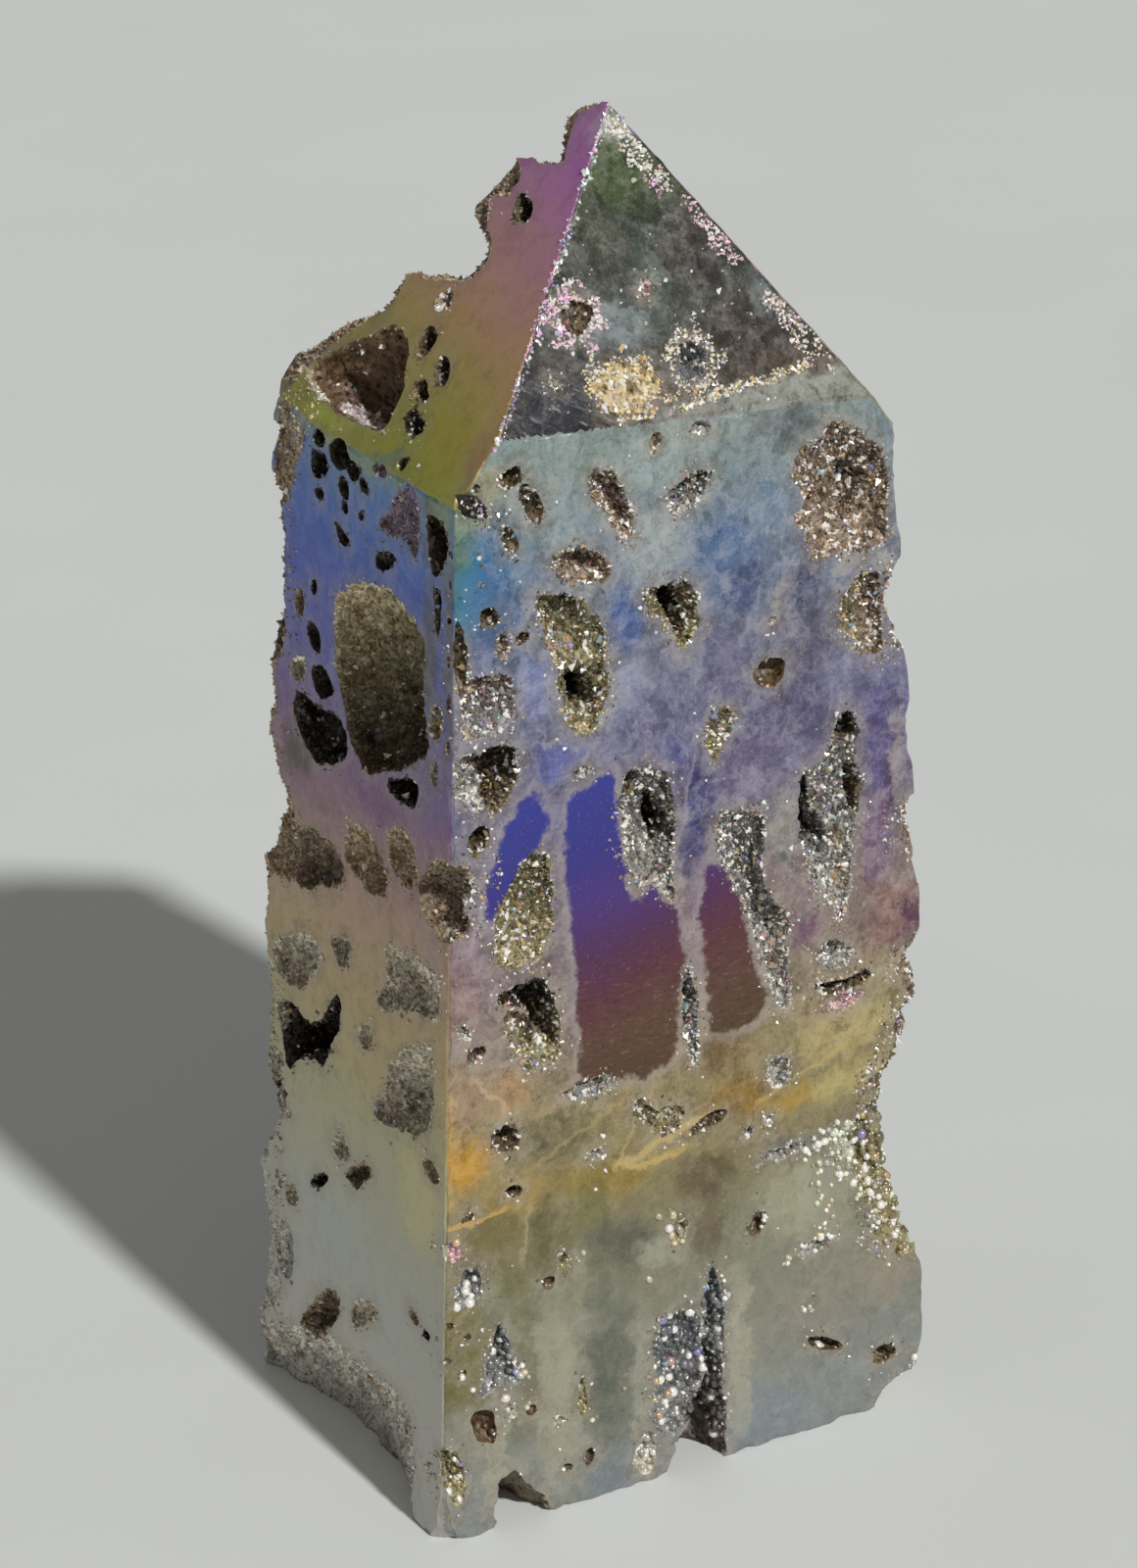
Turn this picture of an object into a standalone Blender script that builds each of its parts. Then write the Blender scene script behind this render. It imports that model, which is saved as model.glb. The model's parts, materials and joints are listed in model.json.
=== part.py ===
"""Druzy sphalerite tower: a vuggy rock sawn and polished into a tapered four-sided point.

The stone is one solid. Seven saw cuts shape the blank, hollows are sunk into its faces and its
weathered corners, and each large hollow carries one crust of grown crystals as its own object.
Lengths are in millimetres in the tables and in metres in the scene. +Z is up, -Y is the broad
polished front, and the origin is the middle of the footprint.
"""

import math
import random
from collections import namedtuple

import bmesh
import bpy
from mathutils import Vector

MM = 0.001

# Driving dimensions, in millimetres
HEIGHT = 95.0
BASE_WIDTH = 39.5
BASE_DEPTH = 28.0
SHOULDER_WIDTH = 33.0
SHOULDER_FRONT = -11.7
SHOULDER_BACK = 13.4
SHOULDER_HEIGHT = 73.6
KNEE_X = 18.95
KNEE_HEIGHT = 40.0
FRONT_FACET_FOOT = 76.6
BACK_FACET_FOOT = 72.5
RIDGE_X = 0.7
RIDGE_FRONT = -1.7
RIDGE_BACK = 1.6
FRONT_FACET_LEAN = 0.07

# How the hollows are meshed, in millimetres and counts
COLLAR = 1.5
WALL_GAP = 0.35
RIM_SETBACK = 0.5
THICKEST_CRUST = 1.3
CRUST_PER_HALF_WIDTH = 0.34
INSET = 0.45
SIDES_BY_HALF_SIZE = [(1.3, 5), (2.3, 7), (4.2, 9), (50.0, 12)]
DRUSE_SIDES = 14
SHALLOW = 1.7
DEEP = 3.0

STONE_COLOUR = (0.52, 0.52, 0.62)
DRUSE_COLOUR = (0.36, 0.32, 0.25)
STONE_ROUGHNESS = 0.3
DRUSE_ROUGHNESS = 0.22

Hollow = namedtuple("Hollow", "name face across up half_across half_up depth lean druse")
Broken = namedtuple("Broken", "name face outline depth druse")


class Face:
    """A sawn plane. A spot on it is named by its place across the face and its height."""

    def __init__(self, point, normal, across_axis):
        self.point = Vector(point)
        self.normal = Vector(normal).normalized()
        self.across_axis = across_axis
        self.solved_axis = 1 - across_axis

    def at(self, across, up, outward=0.0):
        spot = Vector((0.0, 0.0, up))
        spot[self.across_axis] = across
        rest = self.normal.dot(self.point) - self.normal.dot(spot)
        spot[self.solved_axis] = rest / self.normal[self.solved_axis]
        return spot + self.normal * outward


def saw_cuts():
    """The polished planes, by name, as cut on the real stone."""
    half_base, half_shoulder = BASE_WIDTH / 2, SHOULDER_WIDTH / 2
    side_lean = half_base - half_shoulder
    facet_rise = HEIGHT - SHOULDER_HEIGHT
    front_lean = SHOULDER_FRONT + BASE_DEPTH / 2
    back_lean = BASE_DEPTH / 2 - SHOULDER_BACK
    front_at_facet = -BASE_DEPTH / 2 + front_lean * FRONT_FACET_FOOT / SHOULDER_HEIGHT
    return {
        "front": Face((0, -BASE_DEPTH / 2, 0), (0, -SHOULDER_HEIGHT, front_lean), 0),
        "back": Face((0, BASE_DEPTH / 2, 0), (0, SHOULDER_HEIGHT, back_lean), 0),
        "left": Face((-half_base, 0, 0), (-SHOULDER_HEIGHT, 0, side_lean), 1),
        "right_low": Face((half_base, 0, 0), (KNEE_HEIGHT, 0, half_base - KNEE_X), 1),
        "right_high": Face(
            (KNEE_X, 0, KNEE_HEIGHT), (SHOULDER_HEIGHT - KNEE_HEIGHT, 0, KNEE_X - half_shoulder), 1
        ),
        "left_facet": Face((RIDGE_X, 0, HEIGHT), (-facet_rise, 0, RIDGE_X + half_shoulder), 1),
        "right_facet": Face((RIDGE_X, 0, HEIGHT), (facet_rise, 0, half_shoulder - RIDGE_X), 1),
        "front_facet": Face(
            (RIDGE_X, RIDGE_FRONT, HEIGHT),
            (FRONT_FACET_LEAN * 10, FRONT_FACET_FOOT - HEIGHT, RIDGE_FRONT - front_at_facet),
            0,
        ),
        "back_facet": Face(
            (RIDGE_X, RIDGE_BACK, HEIGHT),
            (0, HEIGHT - BACK_FACET_FOOT, SHOULDER_BACK - RIDGE_BACK),
            0,
        ),
    }


# Hollows: name, face, across, up, half width, half height, depth, lean in degrees, crust or not.
# Across is +X on the front and back, and +Y on the sides.
HOLLOWS = [
    # Front, from the shoulder down
    Hollow("front_pinhole", "front", -12.4, 75.0, 0.7, 0.7, 2.0, 0, False),
    Hollow("front_streak_a", "front", -11.2, 73.2, 0.7, 1.5, 1.0, 25, False),
    Hollow("front_shoulder_pocket", "front", -5.6, 72.6, 1.5, 3.0, 1.6, 22, False),
    Hollow("front_lens", "front", 0.8, 72.2, 2.1, 1.0, 2.0, 28, False),
    Hollow("front_corner_druse", "front", 12.7, 69.9, 4.1, 4.3, 3.2, 0, True),
    Hollow("front_edge_upper", "front", 14.6, 61.0, 2.8, 3.4, 1.8, 0, False),
    Hollow("front_slash", "front", -7.6, 68.4, 2.8, 1.2, 1.9, -32, False),
    Hollow("front_cave_upper", "front", -8.6, 64.0, 2.2, 3.0, 3.2, 8, False),
    Hollow("front_cave_lower", "front", -7.7, 59.2, 1.8, 2.5, 3.8, 15, False),
    Hollow("front_wedge", "front", -0.9, 63.3, 1.9, 2.9, 3.6, 20, False),
    Hollow("front_knot", "front", 7.0, 58.0, 1.3, 1.4, 1.8, -20, False),
    Hollow("front_bead", "front", -14.3, 66.2, 0.9, 0.8, 1.2, 0, False),
    Hollow("front_arris_streak", "front", -16.3, 63.4, 0.6, 2.4, 1.0, 0, False),
    Hollow("front_left_druse", "front", -14.3, 60.0, 2.0, 2.0, 1.8, 0, False),
    Hollow("front_left_cave", "front", -14.6, 54.9, 2.5, 2.5, 3.8, -15, False),
    Hollow("front_left_hole", "front", -15.6, 51.2, 0.9, 0.9, 2.4, 0, False),
    Hollow("front_drip", "front", 2.8, 54.2, 1.0, 2.2, 1.3, -14, False),
    Hollow("front_centre_cave", "front", -2.9, 48.6, 2.0, 5.0, 3.4, 14, False),
    Hollow("front_olive_druse", "front", -12.2, 45.4, 2.2, 4.6, 2.0, -8, False),
    Hollow("front_lower_cave", "front", -11.9, 37.1, 2.6, 3.5, 3.8, -10, False),
    Hollow("front_keyhole", "front", 0.5, 34.6, 0.7, 3.6, 2.6, 2, False),
    Hollow("front_bar", "front", 13.4, 34.6, 3.3, 1.1, 2.2, 6, False),
    Hollow("front_bubble", "front", 7.3, 28.8, 1.2, 1.6, 1.5, 0, False),
    Hollow("front_shelf", "front", -8.2, 31.2, 2.3, 0.9, 1.2, -5, False),
    Hollow("front_fan", "front", -2.0, 28.2, 2.2, 1.8, 0.9, 20, False),
    Hollow("front_slit", "front", 1.6, 26.4, 1.6, 0.7, 1.4, 14, False),
    Hollow("front_pit_a", "front", -14.0, 29.3, 1.0, 1.0, 2.0, 0, False),
    Hollow("front_pit_c", "front", -16.3, 36.2, 0.9, 0.8, 1.5, 0, False),
    Hollow("front_pit_e", "front", 5.7, 17.8, 0.7, 1.1, 1.5, -20, False),
    Hollow("front_edge_druse", "front", 13.6, 19.6, 2.8, 4.0, 1.8, -6, False),
    Hollow("front_edge_strip", "front", 8.2, 22.3, 2.5, 0.8, 1.0, -4, False),
    Hollow("front_seed_row", "front", 10.6, 14.6, 1.9, 0.7, 0.9, 14, False),
    Hollow("front_arch_small", "front", -17.3, 19.2, 1.4, 1.6, 1.6, 0, False),
    Hollow("front_dart", "front", -15.0, 12.5, 1.3, 3.6, 1.8, -10, False),
    Hollow("front_foot_pit", "front", -16.4, 8.0, 1.4, 1.9, 1.7, -10, False),
    Hollow("front_foot_druse", "front", -18.7, 5.0, 1.1, 2.3, 1.3, 10, False),
    Hollow("front_floor_pit", "front", -9.0, 3.4, 1.2, 0.7, 0.9, 0, False),
    Hollow("front_floor_seed", "front", -3.7, 2.0, 1.0, 2.2, 1.0, 0, False),
    Hollow("front_low_pit", "front", 10.9, 6.6, 1.5, 0.7, 1.6, -24, False),
    Hollow("front_glint_pit", "front", 16.0, 4.3, 0.8, 0.8, 1.4, 0, False),
    # Left side, from the shoulder down
    Hollow("left_arris_slot", "left", -9.8, 70.3, 1.2, 2.0, 3.2, 0, False),
    Hollow("left_arris_slit", "left", -9.9, 66.6, 0.7, 2.1, 1.6, -5, False),
    Hollow("left_purple_patch", "left", -4.9, 71.2, 2.5, 2.6, 1.1, 30, False),
    Hollow("left_cell_a", "left", 3.6, 72.6, 1.7, 1.0, 2.6, -10, False),
    Hollow("left_cell_b", "left", 6.4, 71.1, 1.5, 0.9, 2.4, -8, False),
    Hollow("left_cell_d", "left", 2.9, 70.6, 0.7, 0.8, 1.4, 0, False),
    Hollow("left_cell_e", "left", 1.7, 72.1, 0.9, 0.7, 1.2, -20, False),
    Hollow("left_drop_a", "left", -2.6, 67.5, 1.6, 0.7, 1.8, -14, False),
    Hollow("left_drop_b", "left", 2.8, 67.3, 1.3, 0.8, 2.2, 14, False),
    Hollow("left_oval", "left", -2.6, 59.0, 6.5, 6.5, 8.0, -8, True),
    Hollow("left_oval_side", "left", -6.1, 52.8, 2.1, 1.1, 3.2, -8, False),
    Hollow("left_twin_upper", "left", 5.4, 56.3, 1.6, 1.2, 2.8, 6, False),
    Hollow("left_twin_lower", "left", 5.4, 52.4, 3.7, 1.9, 4.0, -4, False),
    Hollow("left_comma", "left", 6.9, 59.2, 1.1, 0.7, 1.5, 28, False),
    Hollow("left_dash", "left", 8.7, 60.8, 0.6, 1.0, 1.1, 0, False),
    Hollow("left_tan_pit", "left", -10.1, 58.8, 1.0, 1.3, 1.3, 0, False),
    Hollow("left_pale_pit", "left", 8.9, 56.3, 1.5, 1.1, 1.4, 0, False),
    Hollow("left_brown_oval", "left", -1.2, 46.1, 3.2, 2.0, 2.8, -2, False),
    Hollow("left_brown_slot", "left", 7.6, 43.0, 5.4, 2.0, 3.2, -14, False),
    Hollow("left_brown_dip", "left", -6.0, 48.0, 1.9, 1.7, 1.6, 10, False),
    Hollow("left_arris_cave", "left", -11.4, 46.8, 2.2, 3.2, 2.4, 10, False),
    Hollow("left_grey_dot", "left", 1.9, 38.2, 1.7, 1.5, 1.1, 0, False),
    Hollow("left_grey_patch", "left", 8.4, 36.1, 3.6, 2.3, 1.4, -24, False),
    Hollow("left_grey_field", "left", -7.2, 38.3, 4.1, 3.7, 1.5, -20, False),
    Hollow("left_grey_bank", "left", -7.3, 31.2, 4.2, 3.0, 2.2, -20, False),
    Hollow("left_heart_a", "left", 3.5, 32.3, 1.0, 2.9, 6.5, 32, False),
    Hollow("left_heart_b", "left", 7.5, 30.0, 4.0, 1.5, 7.5, 4, False),
    Hollow("left_heart_tail", "left", 9.8, 28.0, 1.0, 2.2, 4.0, 24, False),
    Hollow("left_small_druse", "left", -1.7, 33.0, 1.1, 1.0, 1.0, 0, False),
    Hollow("left_arris_nick", "left", -11.0, 27.3, 1.4, 0.8, 1.2, 0, False),
    Hollow("left_leaf", "left", -1.1, 22.4, 2.0, 0.8, 1.6, -34, False),
    Hollow("left_puddle", "left", 1.4, 23.2, 1.4, 1.0, 1.2, 0, False),
    Hollow("left_tick", "left", 4.0, 19.7, 1.5, 0.6, 1.4, -34, False),
    Hollow("left_edge_dot", "left", 8.6, 16.5, 0.9, 1.3, 0.9, 0, False),
    Hollow("left_edge_film", "left", 9.7, 11.4, 1.6, 4.2, 0.8, 0, False),
    Hollow("left_root_dark", "left", 3.6, 9.9, 3.3, 1.9, 3.6, -34, False),
    Hollow("left_root_brown", "left", -1.4, 12.5, 2.2, 1.1, 1.4, -30, False),
    # Left facet of the point
    Hollow("facet_slit", "left_facet", 0.2, 88.3, 1.3, 0.7, 2.2, 28, False),
    Hollow("facet_glint", "left_facet", 2.0, 82.3, 0.9, 0.8, 1.2, 0, False),
    Hollow("facet_chain_a", "left_facet", 1.2, 80.1, 1.0, 0.8, 1.8, 20, False),
    Hollow("facet_chain_b", "left_facet", -2.1, 79.2, 1.3, 0.7, 2.0, 34, False),
    Hollow("facet_chain_c", "left_facet", -1.3, 77.8, 1.0, 0.6, 1.6, 10, False),
    Hollow("facet_chain_d", "left_facet", -2.6, 76.3, 1.3, 0.6, 2.6, 8, False),
    Hollow("facet_corner_hole", "left_facet", -11.3, 74.3, 0.9, 0.6, 2.6, 0, False),
    # Front facet of the point
    Hollow("point_druse_a", "front_facet", -4.8, 83.2, 1.8, 1.7, 1.2, 0, False),
    Hollow("point_druse_b", "front_facet", -2.4, 78.4, 2.6, 2.0, 1.3, -14, False),
    Hollow("point_druse_c", "front_facet", 2.4, 79.3, 1.9, 1.7, 1.4, 0, False),
    Hollow("point_edge_druse", "front_facet", 5.8, 89.4, 1.4, 2.4, 1.2, 32, False),
    Hollow("point_low_druse", "front_facet", 12.0, 79.6, 2.2, 1.4, 1.1, -30, False),
    # Right side
    Hollow("right_arris_notch", "right_low", -11.4, 20.6, 6.4, 8.6, 4.0, 4, True),
    Hollow("right_foot_notch", "right_low", -14.0, -0.6, 9.0, 3.4, 4.2, 0, False),
    Hollow("right_arris_dent", "right_high", -12.2, 60.4, 4.2, 3.6, 1.8, 0, False),
    Hollow("right_arris_nick", "right_low", -13.0, 34.7, 4.4, 1.2, 1.5, 0, False),
    Hollow("right_arris_step", "right_low", -13.8, 29.4, 3.6, 2.0, 1.8, 0, False),
    Hollow("right_arris_tooth", "right_high", -13.2, 45.0, 3.0, 1.9, 1.1, 0, False),
    Hollow("right_hollow", "right_high", 2.2, 52.6, 4.0, 6.4, 7.0, 16, True),
    Hollow("right_upper_pit", "right_high", 5.4, 66.6, 2.4, 1.6, 2.4, -18, False),
    Hollow("right_upper_slot", "right_high", -4.6, 69.2, 1.2, 3.0, 2.4, 12, False),
    Hollow("right_mid_pocket", "right_low", -5.8, 38.6, 2.2, 4.4, 3.0, -14, False),
    Hollow("right_mid_cave", "right_low", 6.6, 34.2, 3.4, 3.0, 3.4, 22, False),
    Hollow("right_low_pocket", "right_low", 4.6, 19.4, 3.0, 4.6, 2.8, -18, False),
    Hollow("right_low_pit", "right_low", 9.8, 12.4, 1.6, 2.2, 1.8, 0, False),
    Hollow("right_floor_arch", "right_low", 4.2, 0.2, 3.4, 4.0, 4.4, 0, False),
    Hollow("right_back_dent", "right_high", 12.6, 45.0, 3.4, 5.2, 2.0, 0, False),
    Hollow("right_back_chip", "right_low", 13.2, 26.0, 2.8, 3.6, 1.8, 0, False),
    Hollow("right_back_top", "right_high", 12.2, 68.0, 3.2, 3.4, 2.0, 0, False),
    Hollow("right_facet_pit", "right_facet", 2.8, 80.6, 1.8, 2.2, 2.0, 10, False),
    Hollow("right_facet_dot", "right_facet", -4.4, 79.0, 1.2, 1.4, 1.4, 0, False),
    # Back
    Hollow("back_great_hollow", "back", 3.6, 47.8, 4.2, 7.4, 7.0, -18, True),
    Hollow("back_left_pocket", "back", -9.4, 57.2, 3.4, 4.6, 4.0, 22, False),
    Hollow("back_upper_slot", "back", 8.4, 66.4, 3.2, 1.8, 2.8, -16, False),
    Hollow("back_upper_pit", "back", -2.6, 67.0, 1.6, 2.0, 2.0, 0, False),
    Hollow("back_side_pocket", "back", -10.6, 38.0, 3.0, 5.0, 3.2, -12, False),
    Hollow("back_low_cave", "back", 8.8, 24.6, 4.4, 3.6, 3.8, 24, False),
    Hollow("back_low_pocket", "back", -5.8, 20.8, 3.4, 5.4, 3.0, 10, False),
    Hollow("back_low_pit", "back", 1.8, 13.0, 1.6, 1.8, 2.0, 0, False),
    Hollow("back_floor_arch", "back", -1.6, 0.0, 4.0, 4.6, 5.0, 0, False),
    Hollow("back_floor_nick", "back", 13.4, -0.4, 3.0, 3.2, 3.4, 0, False),
    Hollow("back_edge_dent", "back", 15.6, 56.0, 2.8, 5.6, 1.8, 0, False),
    # Weathered corner between the left side and the back
    Hollow("corner_deep", "left", 14.4, 66.0, 2.8, 2.7, 3.6, 10, False),
    Hollow("corner_top", "left", 12.6, 71.0, 2.2, 1.6, 1.0, -16, False),
    Hollow("corner_shoulder", "left", 15.4, 77.6, 2.6, 2.0, 3.0, 0, False),
    Hollow("corner_lump", "left", 13.6, 58.2, 3.0, 4.2, 1.6, 6, False),
    Hollow("corner_step", "left", 14.6, 52.4, 2.2, 2.6, 2.4, 0, False),
    Hollow("corner_waist", "left", 14.4, 33.0, 1.8, 4.6, 1.6, 0, False),
    Hollow("corner_low", "left", 14.2, 20.4, 3.2, 4.0, 3.0, 12, False),
    Hollow("corner_foot", "left", 14.6, 8.8, 2.6, 5.0, 1.8, 0, False),
    Hollow("corner_back_a", "back", -18.2, 62.0, 4.0, 6.0, 3.0, 0, False),
    Hollow("corner_back_b", "back", -18.8, 46.0, 3.6, 6.4, 2.6, 12, False),
    Hollow("corner_back_c", "back", -19.0, 28.6, 3.2, 6.4, 2.2, 0, False),
    Hollow("corner_back_d", "back", -18.4, 10.4, 3.6, 5.6, 2.6, 0, False),
]

# Hollows with an outline of their own: (across, up) points, round the opening.
OUTLINES = [
    Broken(
        "front_silver_seam",
        "front",
        [(2.3, 49.4), (6.0, 49.0), (8.0, 45.0), (7.6, 41.0), (8.4, 37.0), (8.2, 33.4), (7.2, 33.0),
         (6.4, 36.0), (5.0, 40.6), (3.4, 44.4)],
        3.0,
        True,
    ),
    Broken(
        "front_tall_vug",
        "front",
        [(9.6, 50.2), (11.6, 51.4), (12.0, 54.0), (13.4, 54.0), (14.0, 51.0), (13.8, 45.0),
         (13.4, 40.6), (12.6, 37.8), (11.6, 40.0), (9.6, 42.4), (9.2, 46.0)],
        4.6,
        True,
    ),
    Broken(
        "base_slot",
        "front",
        [(2.0, 15.8), (2.9, 12.0), (3.0, 8.0), (3.6, 4.0), (2.4, -1.5), (-2.2, -1.5), (-2.8, 3.0),
         (-3.0, 8.0), (-2.8, 12.4), (0.6, 12.6)],
        6.5,
        True,
    ),
    Broken(
        "base_arch",
        "front",
        [(-15.9, -1.5), (-15.6, 2.0), (-14.4, 4.4), (-12.6, 3.6), (-10.8, 1.2), (-9.2, -1.5)],
        6.0,
        False,
    ),
    Broken(
        "base_hollow",
        "left",
        [(-10.4, -1.5), (-10.2, 4.0), (-9.4, 9.0), (-6.4, 9.4), (-3.0, 8.2), (2.0, 8.6),
         (6.0, 6.6), (8.0, 4.4), (8.8, -1.5)],
        3.4,
        False,
    ),
    Broken(
        "shoulder_hollow",
        "left_facet",
        [(-0.3, 75.4), (0.2, 77.6), (2.7, 79.9), (4.8, 80.2), (7.6, 78.9), (9.8, 77.4),
         (12.0, 75.9), (10.0, 74.9), (7.0, 74.8), (4.0, 74.7), (1.6, 74.9)],
        5.6,
        True,
    ),
]

# The broken edge of the point, on the left facet, and how far the break falls away behind it
BREAK_OUTLINE = [
    (-2.2, 95.9), (-0.3, 94.6), (0.8, 93.6), (-0.1, 92.3), (-0.9, 91.3), (0.4, 90.9), (2.3, 90.7),
    (3.9, 90.4), (4.4, 89.3), (5.6, 89.0), (5.4, 87.3), (3.9, 86.9), (2.4, 86.6), (1.0, 86.0),
    (0.2, 85.0), (0.6, 84.1), (1.9, 83.5), (4.2, 83.1), (7.4, 82.8), (7.1, 81.9), (7.4, 80.8),
    (9.2, 79.8), (10.9, 78.8), (11.9, 77.1), (13.6, 76.4), (20.0, 76.0), (20.0, 99.0), (-2.2, 99.0),
]
BREAK_AIM = (0.47, 0.79, -0.36)
BREAK_REACH = 26.0
BREAK_LEAD = 3.0

# Natural cavities behind the point: centre and radii
BACK_CAVITIES = [
    ("point_cavity_high", (2.6, 5.4, 88.4), (4.6, 3.6, 4.2)),
    ("point_cavity_low", (-4.6, 12.0, 81.0), (6.4, 5.0, 5.0)),
    ("point_cavity_side", (7.2, 11.6, 78.4), (3.4, 3.2, 3.0)),
]

# Shallow pits in the sawn underside: centre x and y, radius, depth
BASE_PITS = [(9.0, 4.0, 2.6, 1.4), (-8.4, 6.4, 2.0, 1.2), (11.4, -6.0, 1.7, 1.0), (-4.6, -4.2, 1.6, 1.0)]
PIT_SIDES = 9


def clear_scene():
    for obj in list(bpy.data.objects):
        bpy.data.objects.remove(obj, do_unlink=True)


def make_material(name, colour, roughness, metallic):
    material = bpy.data.materials.new(name)
    material.use_nodes = True
    shader = material.node_tree.nodes["Principled BSDF"]
    shader.inputs["Base Color"].default_value = (*colour, 1.0)
    shader.inputs["Roughness"].default_value = roughness
    shader.inputs["Metallic"].default_value = metallic
    material.diffuse_color = (*colour, 1.0)
    return material


def add_object(name, bm, collection=None):
    """Links the bmesh as an object, in metres, with its faces pointing outwards."""
    bmesh.ops.recalc_face_normals(bm, faces=bm.faces)
    bmesh.ops.scale(bm, vec=(MM, MM, MM), verts=bm.verts)
    mesh = bpy.data.meshes.new(name)
    bm.to_mesh(mesh)
    bm.free()
    obj = bpy.data.objects.new(name, mesh)
    (collection or bpy.context.scene.collection).objects.link(obj)
    return obj


def add_boolean(obj, name, operation):
    modifier = obj.modifiers.new(name, "BOOLEAN")
    modifier.operation = operation
    modifier.solver = "EXACT"
    return modifier


def cut_blank(cuts, inset):
    """An oversized block, sawn down by each plane in turn, each moved inwards by the inset."""
    bm = bmesh.new()
    bmesh.ops.create_cube(bm, size=2 * HEIGHT)
    bmesh.ops.translate(bm, vec=(0, 0, HEIGHT + inset), verts=bm.verts)
    for face in cuts.values():
        geometry = list(bm.verts) + list(bm.edges) + list(bm.faces)
        sawn = bmesh.ops.bisect_plane(
            bm,
            geom=geometry,
            plane_co=face.point - face.normal * inset,
            plane_no=face.normal,
            clear_outer=True,
        )
        rim = [part for part in sawn["geom_cut"] if isinstance(part, bmesh.types.BMEdge)]
        bmesh.ops.edgenet_fill(bm, edges=rim)
    bmesh.ops.remove_doubles(bm, verts=bm.verts, dist=0.001)
    return bm


def lobes(name, count=3):
    """The low waves that keep an opening from being a true oval, the same each run."""
    dice = random.Random(name)
    return [(k + 2, 0.11 / (k + 1), dice.uniform(0, 2 * math.pi)) for k in range(count)]


def oval_outline(hollow, sides):
    """The opening of a hollow as (across, up) points."""
    waves = lobes(hollow.name)
    lean = math.radians(hollow.lean)
    points = []
    for i in range(sides):
        angle = 2 * math.pi * i / sides
        swell = 1 + sum(size * math.cos(k * angle + phase) for k, size, phase in waves)
        x = hollow.half_across * swell * math.cos(angle)
        y = hollow.half_up * swell * math.sin(angle)
        points.append(
            (
                hollow.across + x * math.cos(lean) - y * math.sin(lean),
                hollow.up + x * math.sin(lean) + y * math.cos(lean),
            )
        )
    return points


def evenly(points, count):
    """The closed outline rounded off once, then walked in equal steps."""
    rounded = []
    for (ax, ay), (bx, by) in zip(points, points[1:] + points[:1]):
        rounded.append((0.75 * ax + 0.25 * bx, 0.75 * ay + 0.25 * by))
        rounded.append((0.25 * ax + 0.75 * bx, 0.25 * ay + 0.75 * by))
    closed = rounded + rounded[:1]
    lengths = [math.dist(a, b) for a, b in zip(closed, closed[1:])]
    step = sum(lengths) / count
    walked, at, done = [], 0, 0.0
    for i in range(count):
        while done + lengths[at] < i * step:
            done += lengths[at]
            at += 1
        share = (i * step - done) / lengths[at]
        (ax, ay), (bx, by) = closed[at], closed[at + 1]
        walked.append((ax + (bx - ax) * share, ay + (by - ay) * share))
    return walked


def middle(points):
    return sum(p[0] for p in points) / len(points), sum(p[1] for p in points) / len(points)


def smallest_half(points):
    """Half the narrower extent of an outline."""
    width = max(p[0] for p in points) - min(p[0] for p in points)
    height = max(p[1] for p in points) - min(p[1] for p in points)
    return min(width, height) / 2


# The walls of a hollow: (share of its depth, share of its opening), from the rim down
SHALLOW_STEPS = [(0.0, 1.0), (0.72, 0.78)]
MIDDLE_STEPS = [(0.0, 1.0), (0.38, 0.98), (0.8, 0.7)]
DEEP_STEPS = [(0.0, 1.0), (0.25, 1.02), (0.55, 0.9), (0.85, 0.58)]


def wall_steps(depth):
    if depth < SHALLOW:
        return SHALLOW_STEPS
    return DEEP_STEPS if depth > DEEP else MIDDLE_STEPS


def sides_for(hollow):
    """More sides round a larger hollow."""
    if hollow.druse:
        return DRUSE_SIDES
    half = max(hollow.half_across, hollow.half_up)
    return next(sides for limit, sides in SIDES_BY_HALF_SIZE if half < limit)


def ring(bm, face, points, centre, share, outward):
    made = []
    for across, up in points:
        spot = face.at(
            centre[0] + (across - centre[0]) * share, centre[1] + (up - centre[1]) * share, outward
        )
        made.append(bm.verts.new(spot))
    return made


def skin(bm, rings):
    """Quads between neighbouring rings."""
    for lower, upper in zip(rings, rings[1:]):
        for i in range(len(lower)):
            j = (i + 1) % len(lower)
            bm.faces.new((lower[i], lower[j], upper[j], upper[i]))


def fan(bm, loop, tip):
    for i in range(len(loop)):
        bm.faces.new((loop[i], loop[(i + 1) % len(loop)], tip))


def hollow_cutter(name, face, points, depth, collection):
    """A closed plug that fills the hollow and stands out of the face by the collar."""
    centre = middle(points)
    bm = bmesh.new()
    rings = [ring(bm, face, points, centre, 1.0, COLLAR)]
    for down, share in wall_steps(depth):
        if down > 0:
            rings.append(ring(bm, face, points, centre, share, -depth * down))
    skin(bm, rings)
    fan(bm, rings[0], bm.verts.new(face.at(*centre, COLLAR)))
    fan(bm, rings[-1], bm.verts.new(face.at(*centre, -depth)))
    return add_object("cut_" + name, bm, collection)


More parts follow.
